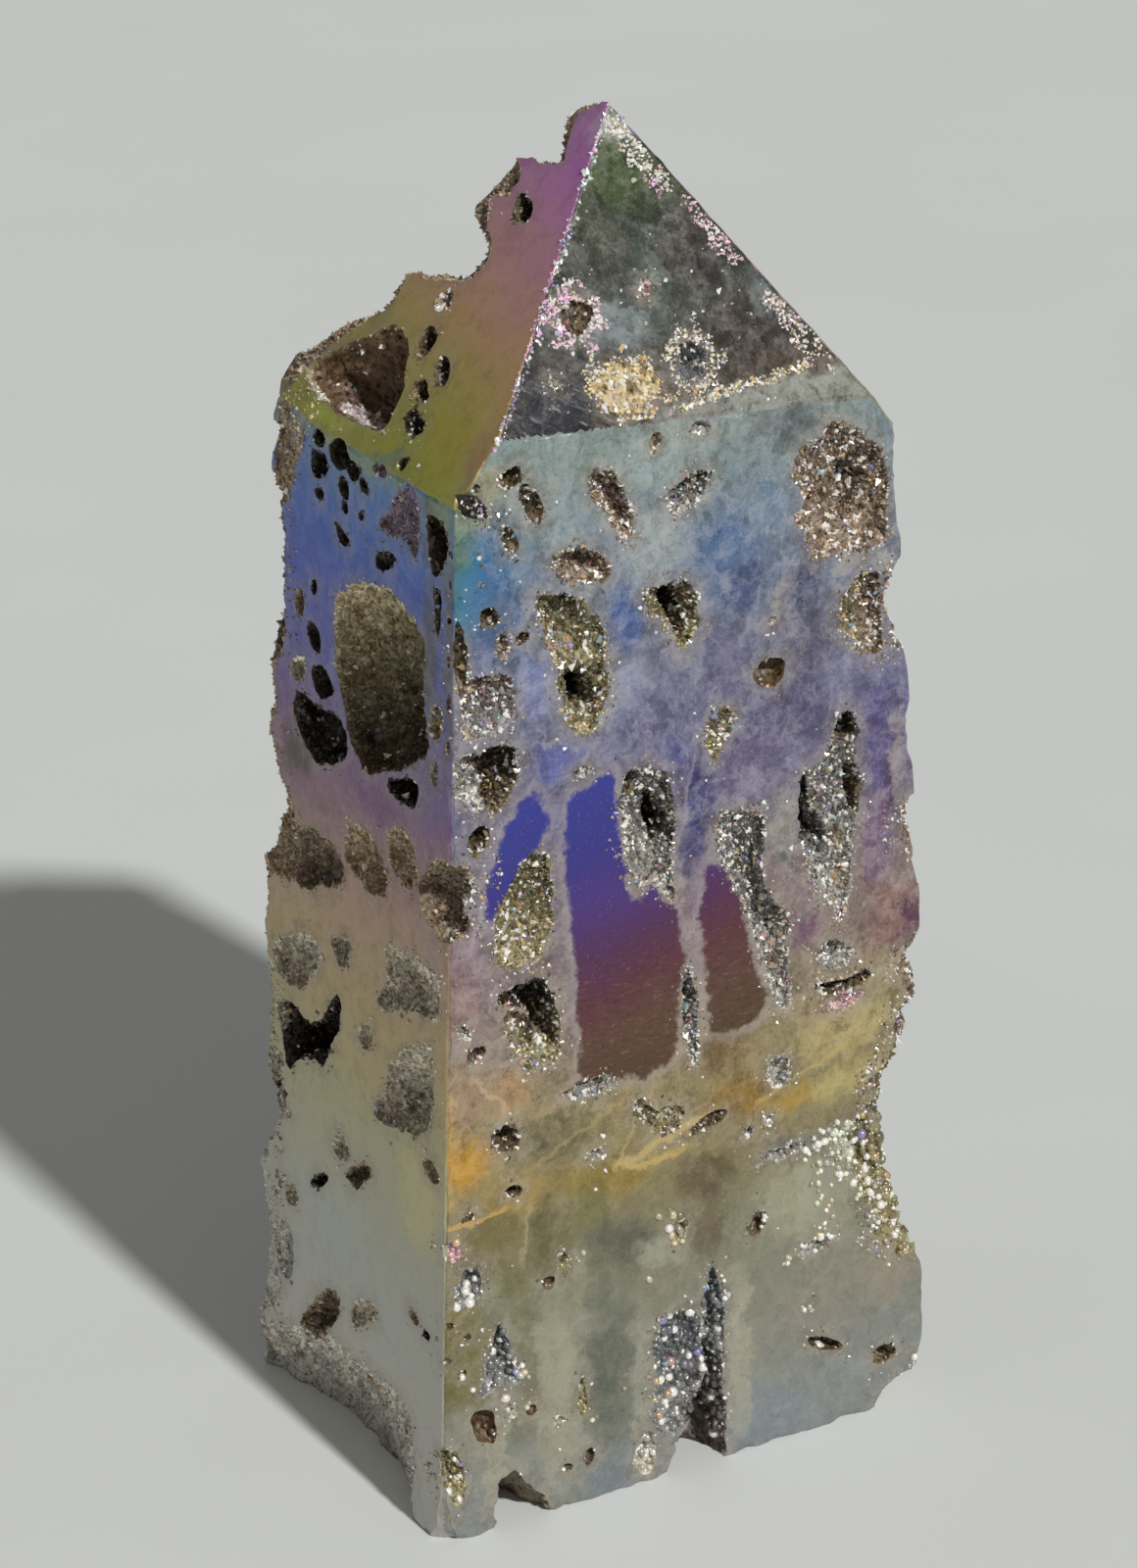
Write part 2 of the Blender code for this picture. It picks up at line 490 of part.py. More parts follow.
def druse_crust(name, face, points, depth, material):
    """The crystals that grew on the wall of a hollow: one crust, with flat-faced tips."""
    centre = middle(points)
    half = smallest_half(points)
    dice = random.Random("druse " + name)
    crust = min(THICKEST_CRUST, CRUST_PER_HALF_WIDTH * half)
    bm = bmesh.new()
    outer, inner = [], []
    steps = wall_steps(depth)
    first = RIM_SETBACK / depth
    for row, (down, share) in enumerate(steps):
        sunk = max(down, first) * (depth - WALL_GAP)
        back = ring(bm, face, points, centre, share - WALL_GAP / half, -sunk)
        outer.append(back)
        front = []
        for i, vert in enumerate(back):
            tall = (i + row) % 2 == 0
            growth = crust * (dice.uniform(0.75, 1.0) if tall else dice.uniform(0.3, 0.45))
            if row == 0:
                growth *= 0.5
            inward = face.at(*centre, -sunk * 0.8) - vert.co
            front.append(bm.verts.new(vert.co + inward.normalized() * growth))
        inner.append(front)
    skin(bm, outer)
    skin(bm, inner)
    skin(bm, [outer[0], inner[0]])
    floor = depth - WALL_GAP
    fan(bm, outer[-1], bm.verts.new(face.at(*centre, -floor)))
    fan(bm, inner[-1], bm.verts.new(face.at(*centre, -floor + crust)))
    obj = add_object("druse_" + name, bm)
    obj.data.materials.append(material)
    return obj


def break_cutter(face, collection):
    """A ragged prism that takes off the broken side of the point."""
    aim = Vector(BREAK_AIM).normalized()
    bm = bmesh.new()
    near = [bm.verts.new(face.at(a, up) - aim * BREAK_LEAD) for a, up in BREAK_OUTLINE]
    far = [bm.verts.new(face.at(a, up) + aim * BREAK_REACH) for a, up in BREAK_OUTLINE]
    skin(bm, [near, far])
    bm.faces.new(near)
    bm.faces.new(list(reversed(far)))
    return add_object("cut_broken_point", bm, collection)


def cavity_cutter(name, centre, radii, collection):
    """A lumpy ball."""
    dice = random.Random(name)
    bm = bmesh.new()
    bmesh.ops.create_icosphere(bm, subdivisions=2, radius=1.0)
    for vert in bm.verts:
        swell = dice.uniform(0.86, 1.08)
        vert.co = Vector(c + v * r * swell for c, v, r in zip(centre, vert.co, radii))
    return add_object("cut_" + name, bm, collection)


def pit_cutter(number, x, y, radius, depth, collection):
    """A shallow cone with a blunt tip, standing up into the underside."""
    dice = random.Random(number)
    bm = bmesh.new()
    rings = []
    for height, share in ((-COLLAR, 1.1), (0.4 * depth, 0.9), (depth, 0.4)):
        loop = []
        for i in range(PIT_SIDES):
            angle = 2 * math.pi * i / PIT_SIDES
            reach = radius * share * dice.uniform(0.85, 1.1)
            loop.append(
                bm.verts.new((x + reach * math.cos(angle), y + reach * math.sin(angle), height))
            )
        rings.append(loop)
    skin(bm, rings)
    bm.faces.new(rings[0])
    bm.faces.new(rings[-1])
    return add_object(f"cut_base_pit_{number}", bm, collection)


def main():
    clear_scene()
    stone = make_material("polished_stone", STONE_COLOUR, STONE_ROUGHNESS, 0.0)
    crystal = make_material("druse_crystal", DRUSE_COLOUR, DRUSE_ROUGHNESS, 0.15)
    cuts = saw_cuts()

    cutters = bpy.data.collections.new("hollow_cutters")
    bpy.context.scene.collection.children.link(cutters)
    crusts = []
    for hollow in HOLLOWS:
        points = oval_outline(hollow, sides_for(hollow))
        face = cuts[hollow.face]
        hollow_cutter(hollow.name, face, points, hollow.depth, cutters)
        if hollow.druse:
            crusts.append(druse_crust(hollow.name, face, points, hollow.depth, crystal))
    for broken in OUTLINES:
        points = evenly(broken.outline, DRUSE_SIDES)
        face = cuts[broken.face]
        hollow_cutter(broken.name, face, points, broken.depth, cutters)
        if broken.druse:
            crusts.append(druse_crust(broken.name, face, points, broken.depth, crystal))
    break_cutter(cuts["left_facet"], cutters)
    for name, centre, radii in BACK_CAVITIES:
        cavity_cutter(name, centre, radii, cutters)
    for number, (x, y, radius, depth) in enumerate(BASE_PITS):
        pit_cutter(number, x, y, radius, depth, cutters)
    core = add_object("stone_inside", cut_blank(cuts, INSET))
    for helper in [core, *cutters.objects]:
        helper.hide_render = True
        helper.display_type = "WIRE"
    for crust in crusts:
        trim = add_boolean(crust, "stay_inside_the_stone", "INTERSECT")
        trim.object = core

    tower = add_object("tower", cut_blank(cuts, 0.0))
    tower.data.materials.append(stone)
    carve = add_boolean(tower, "carve_hollows", "DIFFERENCE")
    carve.operand_type = "COLLECTION"
    carve.collection = cutters


main()
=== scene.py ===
"""Looks of the druzy sphalerite tower: the sawn stone with its vugs, its druse and its film colours.

The stone is cut again from the same planes and hollows as the solid, with finer walls. Lengths in
the tables are millimetres, in the part's own frame: -Y is the broad front, -X the narrow side that
faces the camera, +Z is up.
"""

import json
import math
import random

import bmesh
import bpy
import numpy as np
from mathutils import Matrix, Vector, kdtree, noise

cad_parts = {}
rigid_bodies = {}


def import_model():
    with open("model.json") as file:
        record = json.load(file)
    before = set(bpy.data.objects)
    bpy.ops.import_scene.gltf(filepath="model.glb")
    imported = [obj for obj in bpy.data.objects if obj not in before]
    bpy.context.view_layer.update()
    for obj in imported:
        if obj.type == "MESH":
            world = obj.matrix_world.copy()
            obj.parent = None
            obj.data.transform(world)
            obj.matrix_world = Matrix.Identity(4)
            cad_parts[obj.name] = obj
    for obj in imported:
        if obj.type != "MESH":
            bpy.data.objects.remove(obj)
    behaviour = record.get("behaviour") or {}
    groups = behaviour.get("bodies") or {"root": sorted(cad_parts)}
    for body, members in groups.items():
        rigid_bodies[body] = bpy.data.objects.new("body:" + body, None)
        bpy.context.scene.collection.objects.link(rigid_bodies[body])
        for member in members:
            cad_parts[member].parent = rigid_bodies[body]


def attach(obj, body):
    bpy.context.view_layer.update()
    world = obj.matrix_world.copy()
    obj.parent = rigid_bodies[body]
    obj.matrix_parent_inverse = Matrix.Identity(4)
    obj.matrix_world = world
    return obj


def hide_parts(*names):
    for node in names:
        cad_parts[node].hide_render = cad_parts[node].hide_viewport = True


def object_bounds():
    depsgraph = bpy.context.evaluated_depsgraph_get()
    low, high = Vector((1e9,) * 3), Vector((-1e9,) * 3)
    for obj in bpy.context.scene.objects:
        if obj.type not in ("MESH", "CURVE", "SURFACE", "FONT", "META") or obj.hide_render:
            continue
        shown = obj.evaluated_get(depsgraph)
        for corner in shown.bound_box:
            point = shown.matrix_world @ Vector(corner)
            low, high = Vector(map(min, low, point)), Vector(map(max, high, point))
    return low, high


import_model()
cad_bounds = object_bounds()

MM = 0.001

# The sawn planes, in millimetres
HEIGHT = 95.0
BASE_WIDTH = 39.5
BASE_DEPTH = 28.0
SHOULDER_WIDTH = 33.0
SHOULDER_FRONT = -11.7
SHOULDER_BACK = 13.4
SHOULDER_HEIGHT = 73.6
KNEE_X = 18.95
KNEE_HEIGHT = 40.0
FRONT_FACET_FOOT = 76.6
BACK_FACET_FOOT = 72.5
RIDGE_X = 0.7
RIDGE_FRONT = -1.7
RIDGE_BACK = 1.6
FRONT_FACET_LEAN = 0.07

# Meshing, in millimetres: the grid of the blank, the steps along outlines that the camera sees and along
# the hidden ones, how far cutters stand out of a face, a distance that counts as far away, and how near
# a vertex lies that counts as on a plane
FINE_GRID = 0.5
FINE_STEP = 0.42
COARSE_STEP = 0.8
COLLAR = 0.8
FAR = 9.0
ON_PLANE = 0.002

# Hollows: how steep and gentle walls narrow with depth, how much darker a hollow is at its deepest, which is
# painted shade, how far its colours reach around it, and how far from it a rough face counts as a worn arris
STEEP_WALL = (2.6, 0.55)
GENTLE_WALL = (1.5, 0.8)
DEPTH_SHADE = 0.2
TONE_REACH = 1.6
WORN_GAP = 0.9

# Lumps in the walls of hollows, as (width, height); the widest ones shrink with small hollows
LUMPS = (1.5, 0.32)
FINE_LUMPS = (0.55, 0.16)
WIDE_LUMPS = (2.6, 0.5)

# Bites along the rims of hollows, as (width, depth), and the reach of an opening below which they shrink
BITES = (0.9, 0.36)
TEETH = (0.36, 0.24)
FULL_BITES = 2.0
# How far the widest wave of an oval opening swells, and the fewest and most corners of its outline
LOBE = 0.11
OUTLINE_CORNERS = (9, 110)
# The fewest and most rings of a hollow's wall
WALL_LEVELS = (3, 16)

# Crystal linings: upper and lower colour, the share of the crystals that grow, and whether the walls
# are steep. Most linings of the sunlit front are lighter below than above: their own colour with painted
# sunlight on the lower slopes and painted shade under the upper rims
TONES = {
    "gold": ((128, 112, 94), (172, 152, 130), 1.0, False),
    "olive": ((126, 116, 84), (168, 158, 118), 1.0, False),
    "silver": ((124, 122, 116), (184, 180, 172), 1.0, False),
    "pearl": ((180, 176, 166), (212, 206, 190), 1.0, False),
    "reef": ((204, 206, 188), (200, 196, 166), 0.8, False),
    "rose": ((208, 168, 188), (226, 190, 180), 1.0, False),
    "russet": ((110, 82, 58), (128, 98, 70), 0.8, False),
    # cave: dark above and light below, painted shade under the rim and painted sunlight on the floor.
    "cave": ((52, 44, 34), (140, 124, 96), 0.7, True),
    # void: near black, painted shade in the deepest cores.
    "void": ((24, 20, 16), (52, 42, 32), 0.25, True),
    "pit": ((84, 70, 52), (128, 110, 84), 0.5, True),
    "hazel": ((112, 92, 64), (122, 100, 72), 0.06, True),
    "fawn": ((128, 116, 96), (160, 146, 122), 0.06, False),
    "oak": ((134, 108, 78), (126, 102, 78), 0.08, False),
    "mauve": ((116, 94, 88), (164, 160, 160), 1.0, False),
    # bracken: darker below, painted shade in the deeper lower part.
    "bracken": ((182, 166, 142), (138, 120, 98), 1.0, True),
    "steel": ((98, 102, 106), (146, 146, 144), 1.0, False),
    "trench": ((112, 112, 114), (116, 104, 92), 0.85, True),
    # bark, rice, umber, plum and ash are lighter than the stone's own colours: painted light in place of the
    # room's light on the side in shade. Bark is pale above and dark below, painted light from above and
    # painted shade deep in the oval.
    "bark": ((246, 234, 196), (104, 86, 66), 1.0, True),
    "rice": ((234, 226, 206), (186, 174, 154), 1.0, False),
    "umber": ((226, 208, 178), (176, 154, 126), 1.0, False),
    "plum": ((172, 154, 178), (150, 132, 146), 1.0, False),
    # The dark lining of deep holes: the stone's dark brown, deepened as painted shade.
    "dark_hole_shade": ((74, 62, 50), (56, 46, 36), 0.6, True),
    "ash": ((236, 232, 220), (206, 200, 190), 1.0, False),
    # brass: the pale gold of a glinting patch on the point, partly painted glints.
    "brass": ((232, 212, 164), (238, 218, 176), 1.0, False),
    "sill": ((206, 190, 180), (230, 214, 214), 1.0, True),
    "glaze": ((170, 174, 168), (170, 174, 168), 0.03, False),
    "crumb": ((158, 138, 112), (158, 138, 112), 1.0, True),
}

# Hollows: face -> (name, across, up, half width, half height, depth, lean in degrees, lining)
HOLLOWS = {
    "front": [
        ("pinhole", -12.5, 75.0, 0.8, 0.7, 2.0, 0, "pit"),
        ("streak_a", -11.0, 73.0, 0.6, 1.7, 0.9, 22, "pit"),
        ("streak_b", -12.6, 70.9, 0.5, 1.1, 0.7, 20, "pit"),
        ("rim_bead_a", -1.8, 75.6, 0.5, 0.6, 0.6, 0, "gold"),
        ("rim_bead_b", 1.6, 75.8, 0.9, 0.5, 0.6, 0, "silver"),
        ("knot", 6.8, 58.0, 1.2, 1.2, 1.6, -20, "hazel"),
        ("dot_a", 7.0, 61.6, 0.4, 0.4, 0.4, 0, "pearl"),
        ("bead", -14.2, 66.1, 0.8, 0.7, 1.1, 0, "pit"),
        ("bead_c", -13.3, 63.9, 0.5, 0.9, 0.6, 0, "gold"),
        ("bead_d", -11.9, 64.2, 0.5, 0.5, 0.6, 0, "pit"),
        ("bead_e", -14.9, 74.8, 0.3, 0.3, 0.5, 0, "pit"),
        ("arris_streak", -16.4, 63.6, 0.5, 2.4, 0.9, 0, "pit"),
        ("left_hole", -15.5, 51.0, 0.8, 1.1, 2.4, 0, "cave"),
        ("blue_glint", -7.7, 54.1, 0.8, 0.45, 0.5, 0, "silver"),
        ("keyhole", 0.5, 34.6, 0.65, 3.5, 2.2, 2, "silver"),
        ("bar_top", 12.0, 36.3, 1.5, 1.2, 0.8, 0, "silver"),
        ("bar_foot", 12.8, 32.7, 1.7, 0.5, 0.5, 0, "rose"),
        ("shelf", -7.7, 31.4, 2.2, 0.7, 1.1, -5, "silver"),
        ("bubble", 7.4, 28.7, 1.1, 1.2, 1.3, 0, "pearl"),
        ("slit", 1.9, 26.5, 1.5, 0.55, 1.3, 8, "pit"),
        ("pit_a", -13.9, 29.3, 1.05, 1.05, 2.4, 0, "pit"),
        ("pit_b", -13.5, 25.3, 0.65, 0.5, 1.4, 0, "pit"),
        ("pit_c", -16.0, 36.0, 0.8, 0.6, 1.4, 0, "pit"),
        ("pit_d", -16.8, 37.7, 0.6, 0.6, 0.6, 0, "pearl"),
        ("pit_e", 5.7, 17.5, 0.6, 1.0, 1.2, -20, "pit"),
        ("edge_strip", 7.8, 22.5, 2.0, 0.55, 0.8, -4, "silver"),
        ("seed_row", 10.6, 14.5, 1.7, 0.55, 0.6, 14, "silver"),
        ("arch_small", -17.1, 18.9, 1.2, 1.5, 1.3, 0, "steel"),
        ("foot_druse", -18.7, 5.0, 1.0, 2.3, 1.1, 10, "olive"),
        ("floor_pit", -9.8, 3.1, 0.5, 0.4, 0.6, 0, "pit"),
        ("floor_pit_b", -8.0, 3.4, 0.45, 0.7, 0.7, 0, "pit"),
        ("floor_seed", -3.5, 2.1, 0.9, 2.0, 0.9, 0, "pearl"),
        ("low_pit", 11.3, 6.6, 1.6, 0.5, 1.5, -30, "pit"),
        ("glint_pit", 16.3, 4.3, 0.9, 0.8, 1.4, 0, "cave"),
        ("tick_a", -0.5, 18.8, 0.4, 1.3, 0.5, -8, "olive"),
        ("tick_b", -8.5, 8.0, 0.4, 1.6, 0.5, 0, "olive"),
        ("tick_c", -12.5, 8.4, 0.5, 0.4, 0.5, 0, "hazel"),
        ("tick_d", -9.7, 19.0, 0.4, 0.8, 0.5, 0, "olive"),
        ("tick_e", -11.0, 17.8, 0.6, 0.4, 0.5, 0, "pit"),
        ("arris_glint", -18.3, 22.0, 0.8, 0.9, 0.5, 0, "rose"),
        ("arris_dot_a", -18.6, 16.6, 0.35, 0.3, 0.5, 0, "pit"),
        ("arris_dot_b", -17.3, 15.4, 0.35, 0.25, 0.5, 0, "pit"),
        ("arris_dot_c", -18.8, 14.0, 0.3, 0.3, 0.5, 0, "pit"),
        ("arris_dot_d", -17.7, 12.8, 0.3, 0.35, 0.5, 0, "pit"),
        ("arris_dot_e", -16.9, 24.4, 0.4, 0.3, 0.5, 0, "pit"),
        ("seed_a", 5.0, 24.8, 0.5, 0.3, 0.4, 0, "silver"),
        ("seed_b", 6.6, 25.2, 0.5, 0.4, 0.4, 0, "pearl"),
        ("seed_c", -10.4, 6.8, 0.5, 0.5, 0.4, 0, "pearl"),
        ("seed_d", -14.0, 8.8, 0.5, 0.7, 0.4, 0, "pearl"),
        ("seed_e", 9.8, 9.8, 0.3, 0.2, 0.3, 0, "pearl"),
        ("seed_f", -7.2, 26.4, 0.5, 0.4, 0.6, 0, "silver"),
    ],
    "left": [
        ("arris_speck_a", -11.3, 70.6, 0.25, 0.3, 0.5, 0, "pit"),
        ("arris_speck_b", -11.4, 68.6, 0.22, 0.35, 0.5, 0, "plum"),
        ("arris_speck_c", -11.4, 66.2, 0.28, 0.3, 0.5, 0, "pit"),
        ("arris_speck_d", -11.5, 63.4, 0.25, 0.5, 0.5, 0, "plum"),
        ("arris_speck_e", -11.6, 60.6, 0.3, 0.9, 0.6, 0, "plum"),
        ("arris_speck_f", -11.7, 57.6, 0.3, 0.5, 0.6, 0, "olive"),
        ("cell_a", 3.6, 72.6, 1.7, 1.0, 2.6, -10, "dark_hole_shade"),
        ("cell_b", 6.4, 71.1, 1.5, 0.9, 2.4, -8, "dark_hole_shade"),
        ("cell_c", 6.5, 72.9, 0.9, 0.6, 1.6, 0, "dark_hole_shade"),
        ("cell_d", 2.9, 70.6, 0.7, 0.8, 1.4, 0, "dark_hole_shade"),
        ("cell_e", 1.7, 72.1, 0.9, 0.7, 1.2, -20, "dark_hole_shade"),
        ("cell_f", 0.2, 71.5, 0.7, 0.5, 1.2, 20, "dark_hole_shade"),
        ("cell_g", 6.3, 69.1, 0.6, 0.5, 1.1, 0, "dark_hole_shade"),
        ("cell_h", 2.7, 69.3, 0.45, 0.5, 0.8, 0, "dark_hole_shade"),
        ("cell_i", 0.5, 69.4, 0.35, 0.4, 0.7, 0, "dark_hole_shade"),
        ("cell_j", -1.8, 73.2, 1.1, 0.5, 0.9, -10, "plum"),
        ("comma", 6.7, 59.0, 1.2, 0.8, 1.8, 28, "dark_hole_shade"),
        ("dash", 8.8, 60.7, 0.7, 1.0, 1.1, 0, "bracken"),
        ("dash_b", 6.8, 62.4, 0.4, 0.6, 0.8, 10, "dark_hole_shade"),
        ("tan_pit", -10.1, 58.8, 1.0, 1.3, 1.3, 0, "umber"),
        ("tan_pit_b", -10.1, 55.2, 0.6, 0.9, 0.8, 0, "umber"),
        ("brown_dip", -6.1, 47.9, 2.1, 2.1, 1.2, 10, "umber"),
        ("small_druse", -1.7, 33.0, 1.1, 1.0, 0.8, 0, "rice"),
        ("arris_nick", -11.0, 27.3, 1.4, 0.8, 1.2, 0, "umber"),
        ("leaf", -1.1, 22.4, 2.1, 0.75, 1.5, -36, "bracken"),
        ("puddle", 1.5, 23.2, 1.4, 1.0, 0.9, 0, "rice"),
        ("tick", 4.5, 19.4, 1.6, 0.4, 1.3, -36, "dark_hole_shade"),
        ("edge_dot", 8.6, 16.4, 1.1, 1.2, 0.6, 0, "rice"),
        ("crack", 11.0, 23.8, 0.3, 1.3, 1.0, 40, "dark_hole_shade"),
        ("low_dot", -9.3, 15.4, 0.8, 0.5, 0.8, 6, "umber"),
        ("low_dot_b", -11.1, 14.9, 0.5, 0.4, 0.8, 0, "dark_hole_shade"),
        ("edge_film", 9.6, 11.6, 1.5, 2.8, 0.5, 0, "glaze"),
        ("root_brown", -2.2, 12.2, 2.5, 0.9, 0.9, -36, "rice"),
    ],
    "left_facet": [
        ("slit", 0.2, 88.3, 1.4, 0.65, 2.2, 28, "cave"),
        ("nook", 3.2, 89.1, 1.0, 0.7, 1.0, 20, "olive"),
        ("glint", 2.0, 82.3, 0.9, 0.7, 1.1, 0, "pearl"),
        ("chain_a", 1.2, 80.1, 1.0, 0.8, 1.6, 20, "pit"),
        ("chain_b", -2.1, 79.2, 1.2, 0.6, 1.8, 34, "pit"),
        ("chain_c", -1.3, 77.8, 1.0, 0.6, 1.5, 10, "pit"),
        ("chain_d", -2.6, 76.3, 1.3, 0.6, 2.2, 8, "dark_hole_shade"),
        ("chain_e", -3.9, 74.2, 0.6, 0.4, 0.9, 0, "pit"),
        ("corner_hole", -11.7, 74.2, 0.6, 0.6, 2.2, 0, "dark_hole_shade"),
    ],
    "front_facet": [
        ("druse_a", -5.6, 83.5, 1.2, 1.1, 0.8, 0, "pit"),
        ("druse_b", -3.2, 78.9, 2.4, 1.8, 0.6, -14, "brass"),
        ("druse_c", 2.0, 79.6, 1.3, 1.2, 0.9, 0, "steel"),
        ("dot_a", -8.3, 80.1, 0.4, 0.4, 0.4, 0, "pearl"),
        ("dot_b", -0.1, 84.3, 0.4, 0.4, 0.4, 0, "rose"),
    ],
    "right_low": [
        ("arris_notch", -11.4, 20.6, 6.4, 8.6, 4.0, 4, "olive"),
        ("foot_notch", -14.0, -0.6, 9.0, 3.4, 4.2, 0, "ash"),
        ("right_nick", -13.0, 34.7, 4.4, 1.2, 1.5, 0, "gold"),
        ("arris_step", -13.8, 29.4, 3.6, 2.0, 1.8, 0, "gold"),
        ("mid_pocket", -5.8, 38.6, 2.2, 4.4, 3.0, -14, "cave"),
        ("mid_cave", 6.6, 34.2, 3.4, 3.0, 3.4, 22, "cave"),
        ("low_pocket", 4.6, 19.4, 3.0, 4.6, 2.8, -18, "olive"),
        ("low_hole", 9.8, 12.4, 1.6, 2.2, 1.8, 0, "pit"),
        ("floor_arch", 4.2, 0.2, 3.4, 4.0, 4.4, 0, "ash"),
        ("back_chip", 13.2, 26.0, 2.8, 3.6, 1.8, 0, "gold"),
    ],
    "right_high": [
        ("arris_dent", -12.2, 60.4, 4.2, 3.6, 1.8, 0, "gold"),
        ("arris_tooth", -13.2, 45.0, 3.0, 1.9, 1.1, 0, "gold"),
        ("right_hollow", 2.2, 52.6, 4.0, 6.4, 7.0, 16, "cave"),
        ("upper_pit", 5.4, 66.6, 2.4, 1.6, 2.4, -18, "cave"),
        ("upper_slot", -4.6, 69.2, 1.2, 3.0, 2.4, 12, "gold"),
        ("back_dent", 12.6, 45.0, 3.4, 5.2, 2.0, 0, "silver"),
        ("back_top", 12.2, 68.0, 3.2, 3.4, 2.0, 0, "gold"),
    ],
    "right_facet": [
        ("facet_pit", 2.8, 80.6, 1.8, 2.2, 2.0, 10, "gold"),
        ("facet_dot", -4.4, 79.0, 1.2, 1.4, 1.4, 0, "rose"),
    ],
    "back": [
        ("back_great_hollow", 3.6, 47.8, 4.2, 7.4, 7.0, -18, "umber"),
        ("left_pocket", -9.4, 57.2, 3.4, 4.6, 4.0, 22, "umber"),
        ("upper_slot", 8.4, 66.4, 3.2, 1.8, 2.8, -16, "umber"),
        ("upper_pit", -2.6, 67.0, 1.6, 2.0, 2.0, 0, "umber"),
        ("side_pocket", -10.6, 38.0, 3.0, 5.0, 3.2, -12, "rice"),
        ("low_cave", 8.8, 24.6, 4.4, 3.6, 3.8, 24, "umber"),
        ("low_pocket", -5.8, 20.8, 3.4, 5.4, 3.0, 10, "rice"),
        ("low_hole", 1.8, 13.0, 1.6, 1.8, 2.0, 0, "umber"),
        ("floor_arch", -1.6, 0.0, 4.0, 4.6, 5.0, 0, "ash"),
        ("floor_nick", 13.4, -0.4, 3.0, 3.2, 3.4, 0, "ash"),
        ("edge_dent", 15.6, 56.0, 2.8, 5.6, 1.8, 0, "rice"),
        ("corner_a", -18.2, 62.0, 4.0, 6.0, 3.0, 0, "umber"),
        ("corner_b", -18.8, 46.0, 3.6, 6.4, 2.6, 12, "umber"),
        ("corner_c", -19.0, 28.6, 3.2, 6.4, 2.2, 0, "rice"),
        ("corner_d", -18.4, 10.4, 3.6, 5.6, 2.6, 0, "ash"),
    ],
    "left_corner": [
        ("deep", 14.4, 66.0, 2.8, 2.7, 3.6, 10, "umber"),
        ("top", 12.6, 71.0, 2.2, 1.6, 1.0, -16, "umber"),
        ("lump", 13.6, 58.2, 3.0, 4.2, 1.6, 6, "umber"),
        ("step", 14.6, 52.4, 2.2, 2.6, 2.4, 0, "umber"),
        ("waist", 14.4, 33.0, 1.8, 4.6, 1.6, 0, "rice"),
        ("low", 14.2, 20.4, 3.2, 4.0, 3.0, 12, "rice"),
        ("foot", 14.6, 8.8, 2.6, 5.0, 1.8, 0, "ash"),
    ],
}

